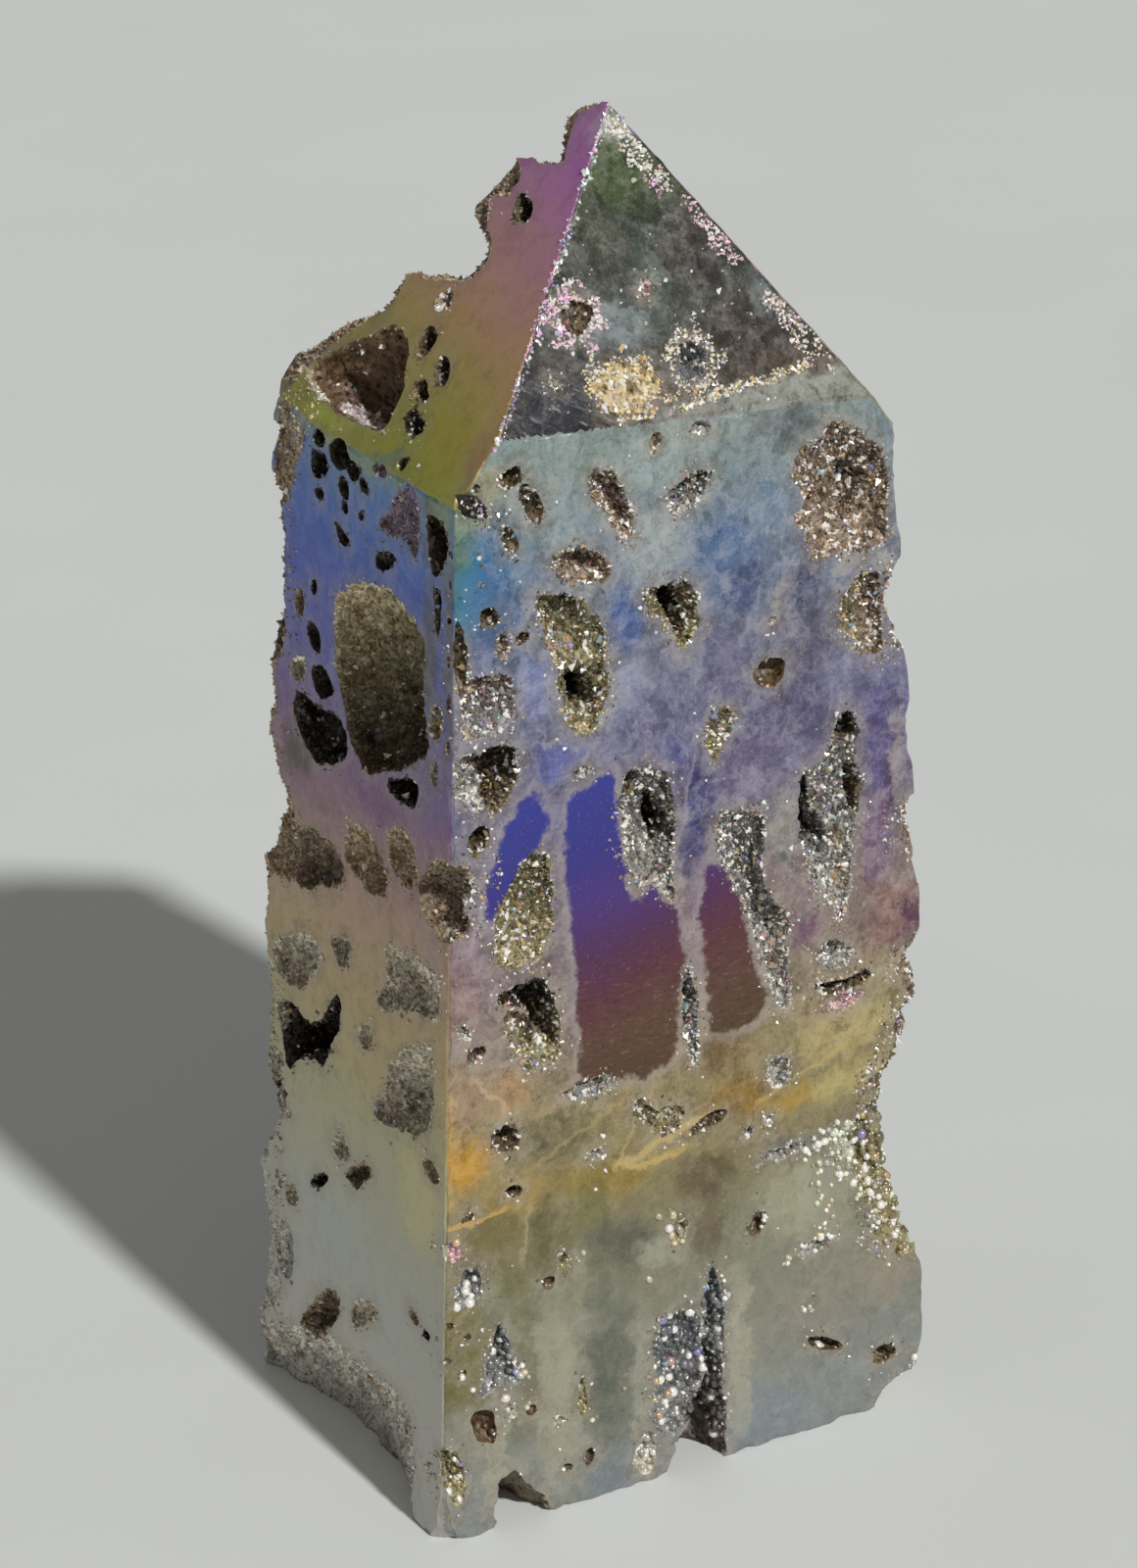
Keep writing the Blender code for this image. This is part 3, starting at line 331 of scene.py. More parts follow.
# Hollows with an outline of their own: face -> (name, depth, lining, how far the deepest spot lies to the
# side and up, (across, up) points)
OUTLINES = {
    "front": [
        ("shoulder_pocket", 1.6, "gold", (0.0, 0.8),
         [(-7.1, 73.9), (-5.2, 74.7), (-4.2, 73.0), (-3.4, 70.8), (-3.4, 69.1), (-4.6, 69.5), (-6.1, 71.6)]),
        ("lens", 1.8, "silver", (0.3, 0.4),
         [(-1.1, 72.0), (0.4, 72.9), (2.7, 73.0), (2.2, 71.8), (0.6, 70.3), (-0.7, 69.9), (-1.1, 70.8)]),
        ("corner_druse", 2.2, "gold", (0.8, 0.6),
         [(8.9, 73.4), (10.4, 73.2), (11.4, 74.7), (13.2, 74.2), (14.3, 72.8), (15.9, 71.6), (16.2, 68.7),
          (15.9, 66.6), (16.4, 65.3), (13.9, 64.7), (11.6, 65.4), (10.0, 64.9), (9.6, 66.8), (8.4, 68.0),
          (9.4, 69.8), (8.2, 71.4)]),
        ("corner_well", 4.2, "russet", (0.0, 0.3),
         [(13.2, 72.0), (14.8, 71.4), (15.2, 69.4), (14.8, 67.0), (13.6, 66.2), (12.6, 67.6), (13.0, 69.6)]),
        ("edge_upper", 1.2, "olive", (0.6, 1.0),
         [(12.2, 62.4), (14.3, 63.7), (15.6, 63.5), (15.5, 60.3), (15.9, 57.8), (15.2, 56.8), (13.5, 58.2),
          (11.8, 60.3)]),
        ("slash", 1.8, "gold", (0.6, 0.5),
         [(-10, 68.9), (-8.2, 69.7), (-6.5, 69.3), (-4.8, 67.2), (-6.5, 66.8), (-9, 67.4)]),
        ("cave_upper", 2.0, "olive", (-0.4, 1.0),
         [(-11.1, 67), (-10, 66.8), (-8.2, 66.6), (-6.5, 64.9), (-5.5, 63.2), (-5.6, 60.8), (-8.8, 60.6),
          (-9.8, 62.4), (-10.5, 64.9)]),
        ("cave_lower", 1.6, "olive", (0.0, 0.6),
         [(-9.4, 61.6), (-5.9, 61.6), (-5.3, 59.5), (-6.1, 57.2), (-7.1, 56.2), (-8.8, 57.2), (-9.4, 59.1)]),
        ("cave_core", 5.0, "void", (0.0, 0.3),
         [(-8.6, 61.0), (-6.9, 60.9), (-6.1, 59.6), (-6.1, 58.2), (-7.3, 57.9), (-8.2, 59.0)]),
        ("wedge", 1.8, "olive", (0.8, 0.6),
         [(-3, 65.8), (-0.7, 66), (0.8, 65.5), (1.4, 63.7), (1, 61.6), (0, 60.5), (-0.7, 61.6),
          (-1.5, 63.2), (-2.8, 64.1)]),
        ("wedge_core", 4.5, "cave", (0.2, 0.3),
         [(-1.4, 65.1), (0.4, 65.1), (1.1, 63.4), (0.7, 61.4), (0.0, 61.0), (-0.5, 62.8)]),
        ("left_druse", 1.3, "mauve", (0.3, 0.6),
         [(-16.5, 62), (-14.4, 62.4), (-12.5, 61.6), (-12.3, 59.1), (-13.2, 57.9), (-16.3, 57.8),
          (-17.0, 59.5)]),
        ("cave_side", 1.5, "silver", (0.6, 0.6),
         [(-17.0, 57.2), (-15.2, 57.4), (-14.4, 55.4), (-14.8, 53.2), (-16.2, 52.6), (-17.2, 54.8)]),
        ("left_cave", 5.5, "cave", (0.2, 0.6),
         [(-15.2, 57.2), (-14.0, 57.4), (-12.6, 57.0), (-12.4, 55.2), (-12.9, 53.6), (-13.7, 52.8),
          (-14.9, 52.9), (-15.1, 55.0)]),
        ("drip", 1.0, "olive", (0.0, 0.8),
         [(1.8, 55.5), (2.8, 56.2), (4.3, 56), (3.9, 54.6), (3.1, 53.4), (2.5, 51.9), (1.9, 53.4)]),
        ("centre_cave", 1.8, "silver", (0.4, 1.0),
         [(-4.4, 53.4), (-2.6, 53.8), (-1.0, 52.2), (-0.6, 49.4), (-0.8, 46.6), (-0.9, 44.6), (-0.4, 42.8),
          (-1.2, 42.9), (-2.4, 44.7), (-4.0, 44.9), (-4.5, 46.6), (-4.9, 49.0), (-5.0, 51.4)]),
        ("centre_core", 5.0, "void", (0.0, 0.3),
         [(-2.3, 51.4), (-1.3, 51.0), (-0.6, 49.2), (-0.9, 47.2), (-1.6, 47.0), (-2.1, 48.8)]),
        ("centre_nook", 3.0, "cave", (0.0, 0.3),
         [(-4.6, 53.2), (-3.2, 53.6), (-2.9, 52.2), (-3.6, 51.0), (-4.5, 51.4)]),
        ("olive_druse", 1.7, "olive", (0.0, 1.4),
         [(-14.8, 44), (-14, 46.2), (-12.5, 48.5), (-11.5, 49.7), (-10.1, 48.7), (-10, 46), (-10, 43.5),
          (-10.8, 41.3), (-12.7, 41), (-14.2, 41.3), (-14.6, 42.5)]),
        ("lower_cave", 5.0, "cave", (0.6, 0.3),
         [(-14.6, 39.9), (-11.2, 40.4), (-10.2, 39), (-9.6, 36.6), (-9.9, 34.9), (-11.0, 35.5),
          (-12.0, 37.6), (-12.9, 38.9), (-14.2, 38.9)]),
        ("cave_pillar", 1.0, "olive", (0.2, 0.3),
         [(-14.3, 38.7), (-12.6, 38.6), (-11.2, 35.8), (-9.4, 35.2), (-9.4, 33.6), (-11.2, 34.0),
          (-12.6, 33.6), (-13.4, 35.2)]),
        ("front_silver_seam", 1.8, "silver", (0.2, 0.6),
         [(2.4, 49), (4.4, 49.2), (6.2, 48.5), (6.4, 46), (6.0, 43.8), (7.2, 41.4), (8.5, 40.2), (8.2, 37),
          (8.6, 34.6), (8, 33.1), (7.2, 33.2), (6.6, 36), (5.6, 39), (4.6, 42), (3.2, 44.6), (2.4, 47)]),
        ("front_tall_vug", 1.4, "silver", (-0.4, 0.6),
         [(9.6, 50.2), (11.6, 51.4), (12.0, 54.0), (13.4, 54.0), (14.0, 51.0), (13.8, 45.0),
          (13.4, 40.6), (12.6, 37.8), (11.6, 40.0), (9.6, 42.4), (9.2, 46.0)]),
        ("vug_core", 5.0, "void", (0.0, 0.4),
         [(9.3, 50.4), (10.2, 50.4), (10.3, 47.6), (11.5, 46.2), (11.6, 44.4), (10.4, 43.9), (9.1, 45.4),
          (9.0, 48.0)]),
        ("vug_side", 2.4, "pit", (0.0, 0.3),
         [(13.2, 50.4), (13.9, 50.0), (14.0, 46.6), (13.4, 46.0), (13.1, 48.4)]),
        ("vug_top", 4.5, "cave", (0.0, 0.2),
         [(12.0, 53.6), (12.8, 54.2), (13.8, 53.4), (13.9, 51.8), (12.6, 51.4), (11.9, 52.2)]),
        ("fan", 0.6, "olive", (0.0, 0.2),
         [(-4.7, 29.0), (-3.7, 29.9), (-2.4, 28.3), (-0.8, 28.6), (0.2, 27.8), (-0.4, 26.6), (-2.2, 26.4),
          (-3.0, 27.4)]),
        ("fan_dot", 0.5, "gold", (0.0, 0.1),
         [(-2.4, 26.9), (-0.6, 27.4), (-0.2, 26.4), (-1.8, 26.2)]),
        ("bar", 1.9, "cave", (0.0, 0.0),
         [(10.2, 34.7), (11.4, 34.4), (13.0, 34.3), (14.6, 34.7), (15.2, 34.1), (13.8, 33.4), (12.2, 33.2),
          (10.8, 33.6)]),
        ("edge_druse", 0.8, "reef", (0.2, 0.6),
         [(11.6, 22.6), (12.8, 23.7), (14.8, 23.9), (15.4, 21.0), (15.8, 18.0), (15.0, 15.4), (14.2, 17.6),
          (13.4, 20.0), (12.2, 21.0)]),
        ("dart", 1.5, "steel", (0.0, 0.6),
         [(-14.9, 16.2), (-14.2, 14.4), (-13.5, 12.2), (-13.3, 10.2), (-14.2, 11.0), (-15.2, 10.6),
          (-16.6, 10.2), (-16.1, 12.4), (-15.3, 14.6)]),
        ("foot_pit", 1.1, "hazel", (0.0, 0.0),
         [(-17.4, 9.6), (-15.4, 9.7), (-15.1, 6.6), (-16.6, 7.2), (-17.2, 8.4)]),
        ("base_slot", 5.0, "trench", (0.0, 0.0),
         [(1.9, 9.6), (2.7, 8.4), (2.7, 5.5), (3.3, 4.0), (2.8, -1.5), (-1.8, -1.5), (-1.4, 2.0), (0.4, 4.2),
          (1.2, 6.5)]),
        ("slot_high", 2.2, "steel", (0.1, 0.0),
         [(1.9, 16.0), (2.6, 14.0), (3.1, 11.0), (2.9, 7.4), (1.2, 6.5), (1.0, 10.0), (1.3, 13.6)]),
        ("slot_apron", 1.2, "steel", (0.4, 0.6),
         [(-2.7, 12.4), (-1.2, 12.9), (0.8, 12.8), (1.6, 9.0), (1.2, 5.0), (-0.6, 2.6), (-2.6, 2.8),
          (-3.0, 5.0), (-3.0, 8.6)]),
        ("base_arch", 5.5, "fawn", (0.0, 0.0),
         [(-15.8, -1.5), (-15.6, 2.0), (-15.1, 4.1), (-13.7, 4.3), (-12.8, 2.6), (-11.4, 0.8),
          (-10.0, -1.5)]),
    ],
    "left": [
        ("left_oval", 7.0, "bark", (0.0, -1.4),
         [(-8.1, 64.4), (-5.1, 65.4), (-2.2, 65.6), (0.3, 65.1), (2.2, 63.9), (3.9, 63.0), (3.9, 60.6),
          (4.0, 58.5), (3.1, 56.5), (2.1, 54.9), (1.0, 53.0), (-0.8, 51.9), (-2.6, 52.4), (-5.1, 53.9),
          (-7.2, 54.6), (-8.8, 56.0), (-9.2, 57.1), (-8.6, 59.2), (-8.3, 61.0), (-8.5, 62.8)]),
        ("oval_side", 3.0, "dark_hole_shade", (0.0, 0.0),
         [(-8.3, 53.9), (-6.9, 53.7), (-5.1, 53.3), (-3.6, 52.4), (-4.4, 51.7), (-6.1, 51.5), (-7.8, 52.1)]),
        ("twin_lower", 4.0, "dark_hole_shade", (0.0, 0.2),
         [(1.5, 52.6), (2.4, 54.2), (3.9, 54.6), (6.0, 54.2), (8.9, 54.4), (9.6, 53.1), (9.2, 52.1),
          (7.4, 50.5), (5.6, 50.1), (3.9, 50.8), (2.1, 51.7)]),
        ("twin_upper", 2.6, "dark_hole_shade", (0.0, 0.0),
         [(3.7, 55.8), (4.4, 57.1), (6.0, 57.2), (7.1, 56.7), (6.9, 55.3), (5.6, 54.9)]),
        ("pale_pit", 1.2, "rice", (0.0, 0.0),
         [(7.6, 57.2), (9.2, 56.7), (10.3, 55.8), (9.9, 54.9), (8.1, 54.9)]),
        ("purple_patch", 1.0, "plum", (0.0, 0.3),
         [(-7.2, 73.3), (-5.6, 73.9), (-4.0, 72.4), (-2.9, 70.6), (-1.1, 69.2), (-3.3, 69.2), (-5.8, 69.4),
          (-7.0, 68.5), (-7.6, 70.3)]),
        ("arris_slot", 2.8, "dark_hole_shade", (0.0, 0.0),
         [(-11.0, 71.5), (-9.9, 72.6), (-8.3, 72.4), (-8.3, 71.0), (-8.5, 69.4), (-9.5, 68.3),
          (-10.8, 69.6)]),
        ("arris_slit", 1.5, "dark_hole_shade", (0.0, 0.0),
         [(-10.4, 67.8), (-9.0, 68.1), (-9.4, 66.4), (-9.9, 64.2), (-10.4, 65.6)]),
        ("drop_a", 1.6, "dark_hole_shade", (0.0, 0.0),
         [(-4.5, 68.3), (-2.6, 68.1), (-1.2, 67.1), (-2.2, 66.6), (-3.6, 67.1)]),
        ("drop_b", 1.9, "dark_hole_shade", (0.0, 0.0),
         [(1.7, 67.1), (2.8, 67.6), (4.0, 68.1), (3.9, 67.1), (2.8, 66.4)]),
        ("brown_oval", 1.5, "umber", (0.0, -0.6),
         [(-4.6, 45.7), (-3.1, 47.6), (-0.7, 48.3), (1.0, 47.7), (2.5, 45.7), (0.9, 44.4), (-1.4, 43.5),
          (-3.9, 44.0)]),
        ("brown_slot", 1.2, "umber", (0.0, -0.4),
         [(8.4, 45.2), (10.2, 47.4), (13.8, 47.4), (13.8, 39.9), (10.7, 39.5), (8.0, 40.3)]),
        ("slot_dark", 1.8, "bracken", (0.0, -0.4),
         [(1.6, 43.9), (2.9, 45.0), (5.0, 45.3), (8.6, 44.9), (10.0, 43.4), (9.6, 40.4), (7.1, 40.5),
          (4.3, 41.9), (2.1, 42.7)]),
        ("rim_high", 0.35, "umber", (0.0, 0.0),
         [(8.2, 75.6), (7.7, 73.4), (8.8, 71.4), (9.8, 69.3), (10.3, 67.2), (11.4, 66.2), (14.4, 66.0),
          (14.4, 76.0)]),
        ("rim_side", 1.0, "bracken", (0.0, 0.0),
         [(10.9, 62.4), (11.3, 60.0), (10.9, 58.0), (11.6, 55.4), (14.2, 55.0), (14.2, 62.8)]),
        ("arris_cave", 2.2, "bracken", (0.0, 0.0),
         [(-13.0, 50.0), (-10.9, 49.6), (-9.4, 48.6), (-8.2, 47.2), (-8.6, 45.4), (-10.4, 44.4),
          (-13.0, 44.0)]),
        ("grey_field", 1.3, "rice", (0.0, -0.6),
         [(-12.0, 41.9), (-10, 41.6), (-6.8, 41.8), (-3.9, 41.4), (-4.3, 39.6), (-3.6, 37.5), (-2.5, 35.7),
          (-5, 36.1), (-7.1, 37.4), (-9.4, 37.9), (-12.0, 38.4)]),
        ("grey_bank", 1.8, "rice", (0.0, -0.6),
         [(-11.2, 36.4), (-8.9, 35.7), (-6.4, 34.3), (-4.6, 31.8), (-4.3, 29.6), (-2.5, 28.6), (-2.9, 27.5),
          (-6.4, 28.2), (-9.6, 28.9), (-11.2, 30.7), (-11.1, 33.6)]),
        ("heart", 6.5, "dark_hole_shade", (0.4, 0.4),
         [(1.8, 34.3), (2.5, 34.6), (3.6, 32.9), (5, 31.4), (6.8, 30.5), (8.6, 31.2), (11.4, 30.4),
          (10.7, 28.6), (9.6, 25.4), (7.9, 27.1), (6.1, 28.4), (4.6, 28.0), (3.2, 30), (2.1, 32.1)]),
        ("grey_dot", 1.0, "rice", (0.0, -0.2),
         [(0.4, 39.6), (2.1, 38.9), (4.3, 38.4), (2.5, 36.6), (0.7, 37.1)]),
        ("grey_patch", 1.2, "rice", (0.0, -0.4),
         [(4.1, 36.2), (5, 37.5), (7.1, 37.5), (10, 36.1), (12.5, 34.3), (12.1, 32.5), (8.2, 32.1),
          (6.4, 33.9)]),
        ("root_dark", 2.8, "bracken", (0.0, 0.0),
         [(0.8, 11.6), (2.4, 12.0), (4.0, 11.0), (5.4, 9.2), (7.0, 7.2), (7.6, 5.4), (6.2, 5.6), (4.4, 7.2),
          (2.6, 8.6), (1.4, 10.0)]),
        ("base_hollow", 3.5, "ash", (1.0, -2.0),
         [(-10.4, -1.5), (-10.1, 3.0), (-10.1, 7.4), (-8.2, 8.9), (-5.0, 8.5), (0.0, 8.1), (3.0, 8.7),
          (5.5, 7.4), (8.4, 6.2), (11.0, 5.2), (13.4, 4.2), (14.6, 2.0), (14.6, -1.5)]),
    ],
    "back_facet": [
        ("wing_end", 0.3, "crumb", (0.0, 0.0),
         [(-21.0, 72.0), (-21.0, 80.4), (-16.4, 80.4), (-15.0, 79.4), (-14.6, 77.0), (-15.6, 74.6),
          (-17.0, 72.0)]),
    ],
    "left_facet": [
        ("shoulder_hollow", 5.0, "oak", (0.0, -0.4),
         [(-0.3, 75.4), (0.2, 77.0), (1.6, 78.4), (2.9, 79.9), (4.9, 80.2), (7.4, 79.2), (9.6, 77.5),
          (12.4, 76.2), (10.6, 75.2), (7.0, 74.8), (4.0, 74.7), (1.6, 74.9)]),
        ("sill", 1.6, "sill", (0.0, 0.0),
         [(0.8, 75.7), (2.4, 76.4), (4.2, 76.0), (4.9, 75.5), (5.4, 76.3), (7.2, 76.4), (8.6, 76.0),
          (8.8, 75.2), (6.0, 74.9), (2.6, 74.8)]),
        ("wing", 0.25, "crumb", (0.0, 0.0),
         [(8.4, 81.0), (11.6, 79.6), (15.4, 78.6), (15.4, 74.4), (12.4, 74.6), (12.9, 75.8), (10.4, 77.8),
          (8.6, 79.6)]),
        ("crumbled_edge", 0.7, "crumb", (0.0, 0.0),
         [(2.2, 89.5), (3.4, 90.5), (6.2, 89.8), (6.2, 86.6), (3.6, 86.4), (2.0, 86.2), (3.4, 87.4),
          (4.3, 88.2), (2.8, 88.6)]),
    ],
}

# Small pits strewn over the sides that the photograph hides: face -> (how many, lowest, highest, half width)
STREWN_PITS = {
    "back": (34, 5.0, 69.0, 15.0),
    "right_low": (16, 4.0, 38.0, 10.0),
    "right_high": (15, 42.0, 70.0, 9.5),
    "right_facet": (6, 76.0, 88.0, 3.5),
    "back_facet": (6, 75.0, 86.0, 5.0),
}
# Their half widths, their half heights and depths as shares of that, how far they lean, and their linings
PIT_SIZES = (0.35, 1.3)
PIT_TALL = (0.7, 1.9)
PIT_DEEP = (0.8, 1.4)
PIT_LEAN = 35
PIT_LININGS = ("pit", "gold", "olive", "silver", "cave")

# The broken edge of the point, on the left facet
BREAK_OUTLINE = [
    (-2.2, 95.9), (-0.3, 94.6), (0.8, 93.6), (-0.1, 92.3), (-0.9, 91.3), (0.4, 90.9), (2.3, 90.7),
    (3.9, 90.4), (4.4, 89.3), (5.6, 89.0), (5.4, 87.3), (3.9, 86.9), (2.4, 86.6), (1.0, 86.0),
    (0.2, 85.0), (0.6, 84.1), (1.9, 83.5), (4.2, 83.1), (7.4, 82.8), (7.1, 81.9), (7.2, 80.6),
    (9.2, 79.5), (11.0, 78.1), (12.4, 76.9), (14.2, 76.1), (20.0, 75.8), (20.0, 99.0), (-2.2, 99.0),
]
# The break behind that edge: its direction, the step along the edge, how far in front its cutter starts,
# and the places of its rings along the direction
BREAK_AIM = (0.47, 0.79, -0.36)
BREAK_STEP = 0.5
BREAK_LEAD = 3.0
BREAK_RINGS = (0.0, 0.5, 1.0, 1.6, 2.4, 3.4, 4.6, 6.0, 8.0, 11.0, 15.0, 26.0)
# The teeth of the broken edge and the lumps of the break, as (width, height), and how wide its swells are
# and the most they may shift it
BREAK_TEETH = (0.8, 0.3)
BREAK_LUMPS = (0.8, 0.25)
BREAK_SWELL = 2.4
BREAK_MOST = 0.9
# The crumbled corner left standing behind the broken edge, as an outline on the left facet
CORNER_OUTLINE = [
    (6.4, 82.0), (9.0, 81.0), (11.2, 79.4), (12.6, 77.6), (14.6, 76.2), (14.6, 75.2), (13.0, 73.7),
    (10.0, 73.6), (5.0, 76.0),
]
# Its rings, as (depth, share of the outline), its lumps, as (width, height), and the zone in which grains may
# stand on it: left of, behind and above these places
CORNER_RINGS = [(0.2, 0.97), (0.3, 1.0), (1.0, 1.02), (1.9, 0.96), (2.9, 0.84), (3.9, 0.62), (4.6, 0.3)]
CORNER_LUMPS = (2.2, 0.8)
CORNER_FINE_LUMPS = (0.8, 0.3)
CORNER_ZONE = (-9.0, 8.0, 73.0)
# Cavities in the broken side behind the point: name, centre and half sizes
BACK_CAVITIES = [
    ("point_cavity_high", (2.6, 5.4, 88.4), (4.6, 3.6, 4.2)),
    ("point_cavity_low", (-4.6, 12.0, 81.0), (6.4, 5.0, 5.0)),
    ("point_cavity_side", (7.2, 11.6, 78.4), (3.4, 3.2, 3.0)),
]
# Their lumps, as (width, height) on a ball of radius one
CAVITY_LUMPS = (0.6, 0.16)
CAVITY_FINE_LUMPS = (0.16, 0.05)
# Shallow pits in the underside: (x, y, radius, depth), how each narrows, as (share of the depth, share of the
# radius), the corners of their outlines, and their lumps, as (width, height)
BASE_PITS = [(9.0, 4.0, 2.6, 1.4), (-8.4, 6.4, 2.0, 1.2), (11.4, -6.0, 1.7, 1.0), (-4.6, -4.2, 1.6, 1.0)]
PIT_RINGS = ((0.3, 0.95), (0.7, 0.75), (0.95, 0.4))
PIT_CORNERS = 24
PIT_LUMPS = (1.4, 0.3)

# Deep blue to brown windows of clear stone in the front, as (across, up) outlines
GEM_WINDOWS = [
    [(-8.9, 52.4), (-5.2, 53.9), (-4.9, 50.6), (-4.4, 47.0), (-4.1, 44.2), (-3.3, 44.0), (-2.3, 45.3),
     (-0.4, 42.4), (0.1, 39.2), (-0.5, 35.6), (-0.6, 31.9), (-3.3, 31.0), (-6.0, 31.7), (-8.4, 31.2),
     (-8.4, 38.0), (-8.7, 44.0), (-9.2, 48.0)],
    [(1.5, 45.6), (3.2, 45.0), (4.6, 42.0), (5.4, 38.4), (6.6, 34.4), (6.3, 33.4), (3.8, 32.4),
     (2.0, 32.9), (1.6, 37.0), (1.2, 41.6)],
    [(-11.0, 53.8), (-9.9, 51.4), (-11.6, 48.6), (-13.6, 46.2), (-14.9, 44.6), (-15.2, 47.0),
     (-14.2, 50.2), (-12.6, 52.8)],
]

# How far each arris is worn back on its first plane: (height, wear), in millimetres
FRONT_RIGHT_WEAR = [
    (0, 4.2), (1, 1.9), (2.5, 1.0), (5, 0.1), (10.6, 0.2), (12, 2.4), (14, 3.3), (17, 4.2), (20, 4.8),
    (23, 5.0), (25.4, 4.0), (27, 2.8), (29, 2.4), (30.5, 1.6), (32, 1.0), (33.5, 1.3), (34.6, 2.0),
    (35.6, 1.2),
    (36.6, 0.1), (39.6, 0.1), (41, 0.8), (44.6, 1.2), (46, 0.4), (47.2, 0.05), (48.8, 0.5), (50, 1.0),
    (53.2, 0.7), (54, 0.05), (56, 0.05), (57.5, 0.6), (59, 1.3), (62.6, 1.4), (63.6, 1.0), (64.3, 0.2),
    (65.4, 0.02), (66.2, 0.5), (70, 0.6), (74, 0.15),
]
BACK_LEFT_WEAR = [
    (0, 3.0), (8, 3.4), (20, 4.2), (27, 3.4), (38, 2.2), (44, 1.0), (50, 2.4), (55, 1.6), (57, 0.3),
    (61, 0.3), (62.5, 2.2), (66, 3.4), (67.5, 1.2), (70, 0.6), (73, 0.3),
]
FRONT_LEFT_WEAR = [(0, 1.6), (1.5, 0.7), (4, 0.2), (20, 0.12), (50, 0.3), (56, 0.2), (73, 0.2)]
BACK_RIGHT_WEAR = [(0, 1.6), (20, 2.4), (40, 1.4), (60, 2.2), (73, 1.2)]
EVEN_WEAR = [(0, 0.28), (100, 0.28)]
POINT_WEAR = [(0, 0.34), (100, 0.34)]
FOOT_WEAR = [(-1, 0.55), (1, 0.55)]
# The strips that wear the arrises back: the step along them, the least wear on a plane, the wear below which
# a strip is narrow, and the points across narrow and wide strips
ARRIS_STEP = 0.4
LEAST_WEAR = 0.06
NARROW_WEAR = 0.5
NARROW_POINTS = 3
WIDE_POINTS = 7
# The ragged edges of the strips: the lengths of their long and short waves, how much of the wear these
# waves are, and how high teeth are where there is no wear
LONG_WAVE = 1.6
SHORT_WAVE = 0.7
LONG_SHARE = 0.5
SHORT_SHARE = 0.3
LEAST_TOOTH = 0.12
# The roughness between the planes, as (width, height), how far it is sunk, and the wear from which on it
# grows no further
FINE_ROUGH = (0.9, 0.3)
BROAD_ROUGH = (2.2, 0.5)
ROUGH_SUNK = 0.12
FULL_ROUGH = 1.2


def srgb(red, green, blue):
    """A colour as seen on screen, 0 to 255, in the linear values that shaders take."""
    shares = [value / 255 for value in (red, green, blue)]
    return tuple(s / 12.92 if s <= 0.04045 else ((s + 0.055) / 1.055) ** 2.4 for s in shares)


class Plane:
    """A sawn plane. A spot on it is named by its place across the face and its height."""

    def __init__(self, point, normal, across_axis):
        self.point = np.array(point, float)
        self.normal = np.array(normal, float) / np.linalg.norm(normal)
        self.across_axis = across_axis
        self.solved_axis = 1 - across_axis

    def at(self, spots, outward=0.0):
        """Where spots of the plane are in space, moved outward by so many millimetres."""
        spots = np.asarray(spots, float)
        world = np.zeros((len(spots), 3))
        world[:, self.across_axis] = spots[:, 0]
        world[:, 2] = spots[:, 1]
        rest = self.normal @ self.point - world @ self.normal
        world[:, self.solved_axis] = rest / self.normal[self.solved_axis]
        return world + self.normal * np.reshape(outward, (-1, 1))

    def outside(self, points):
        """How far points lie outside the plane."""
        return points @ self.normal - self.normal @ self.point


def saw_cuts():
    """The sawn planes by name: four sides, of which the right one has a knee, four facets and the base."""
    half_base, half_shoulder = BASE_WIDTH / 2, SHOULDER_WIDTH / 2
    facet_rise = HEIGHT - SHOULDER_HEIGHT
    front_lean = SHOULDER_FRONT + BASE_DEPTH / 2
    front_at_facet = -BASE_DEPTH / 2 + front_lean * FRONT_FACET_FOOT / SHOULDER_HEIGHT
    return {
        "front": Plane((0, -BASE_DEPTH / 2, 0), (0, -SHOULDER_HEIGHT, front_lean), 0),
        "back": Plane((0, BASE_DEPTH / 2, 0), (0, SHOULDER_HEIGHT, BASE_DEPTH / 2 - SHOULDER_BACK), 0),
        "left": Plane((-half_base, 0, 0), (-SHOULDER_HEIGHT, 0, half_base - half_shoulder), 1),
        "right_low": Plane((half_base, 0, 0), (KNEE_HEIGHT, 0, half_base - KNEE_X), 1),
        "right_high": Plane(
            (KNEE_X, 0, KNEE_HEIGHT), (SHOULDER_HEIGHT - KNEE_HEIGHT, 0, KNEE_X - half_shoulder), 1
        ),
        "left_facet": Plane((RIDGE_X, 0, HEIGHT), (-facet_rise, 0, RIDGE_X + half_shoulder), 1),
        "right_facet": Plane((RIDGE_X, 0, HEIGHT), (facet_rise, 0, half_shoulder - RIDGE_X), 1),
        "front_facet": Plane(
            (RIDGE_X, RIDGE_FRONT, HEIGHT),
            (FRONT_FACET_LEAN * 10, FRONT_FACET_FOOT - HEIGHT, RIDGE_FRONT - front_at_facet),
            0,
        ),
        "back_facet": Plane(
            (RIDGE_X, RIDGE_BACK, HEIGHT),
            (0, HEIGHT - BACK_FACET_FOOT, SHOULDER_BACK - RIDGE_BACK),
            0,
        ),
        "base": Plane((0, 0, 0), (0, 0, -1), 0),
    }


CUTS = saw_cuts()
NEAR_SIDES = ("front", "left", "left_facet", "front_facet", "left_corner")


def plane_of(side):
    """The plane that a side's hollows open in. The left corner's open in the left plane."""
    return CUTS["left" if side == "left_corner" else side]


def outsides(points):
    """How far points lie outside each plane, one column for each, in the order of CUTS."""
    return np.stack([plane.outside(points) for plane in CUTS.values()], axis=1)


def fixed_seed(name):
    """A place in the noise that belongs to a name, the same each run."""
    return random.Random(name).uniform(0, 50)


def wobble(points, size, seed):
    """Smooth noise vectors for points, with features of the given size."""
    shift = Vector((seed * 7.3, seed * 3.1, seed * 5.7))
    return np.array([noise.noise_vector(Vector(p) / size + shift) for p in points])


def lumpy(points, lump, seed):
    """Smooth shifts for points, from lumps given as (width, height)."""
    width, height = lump
    return wobble(points, width, seed) * height


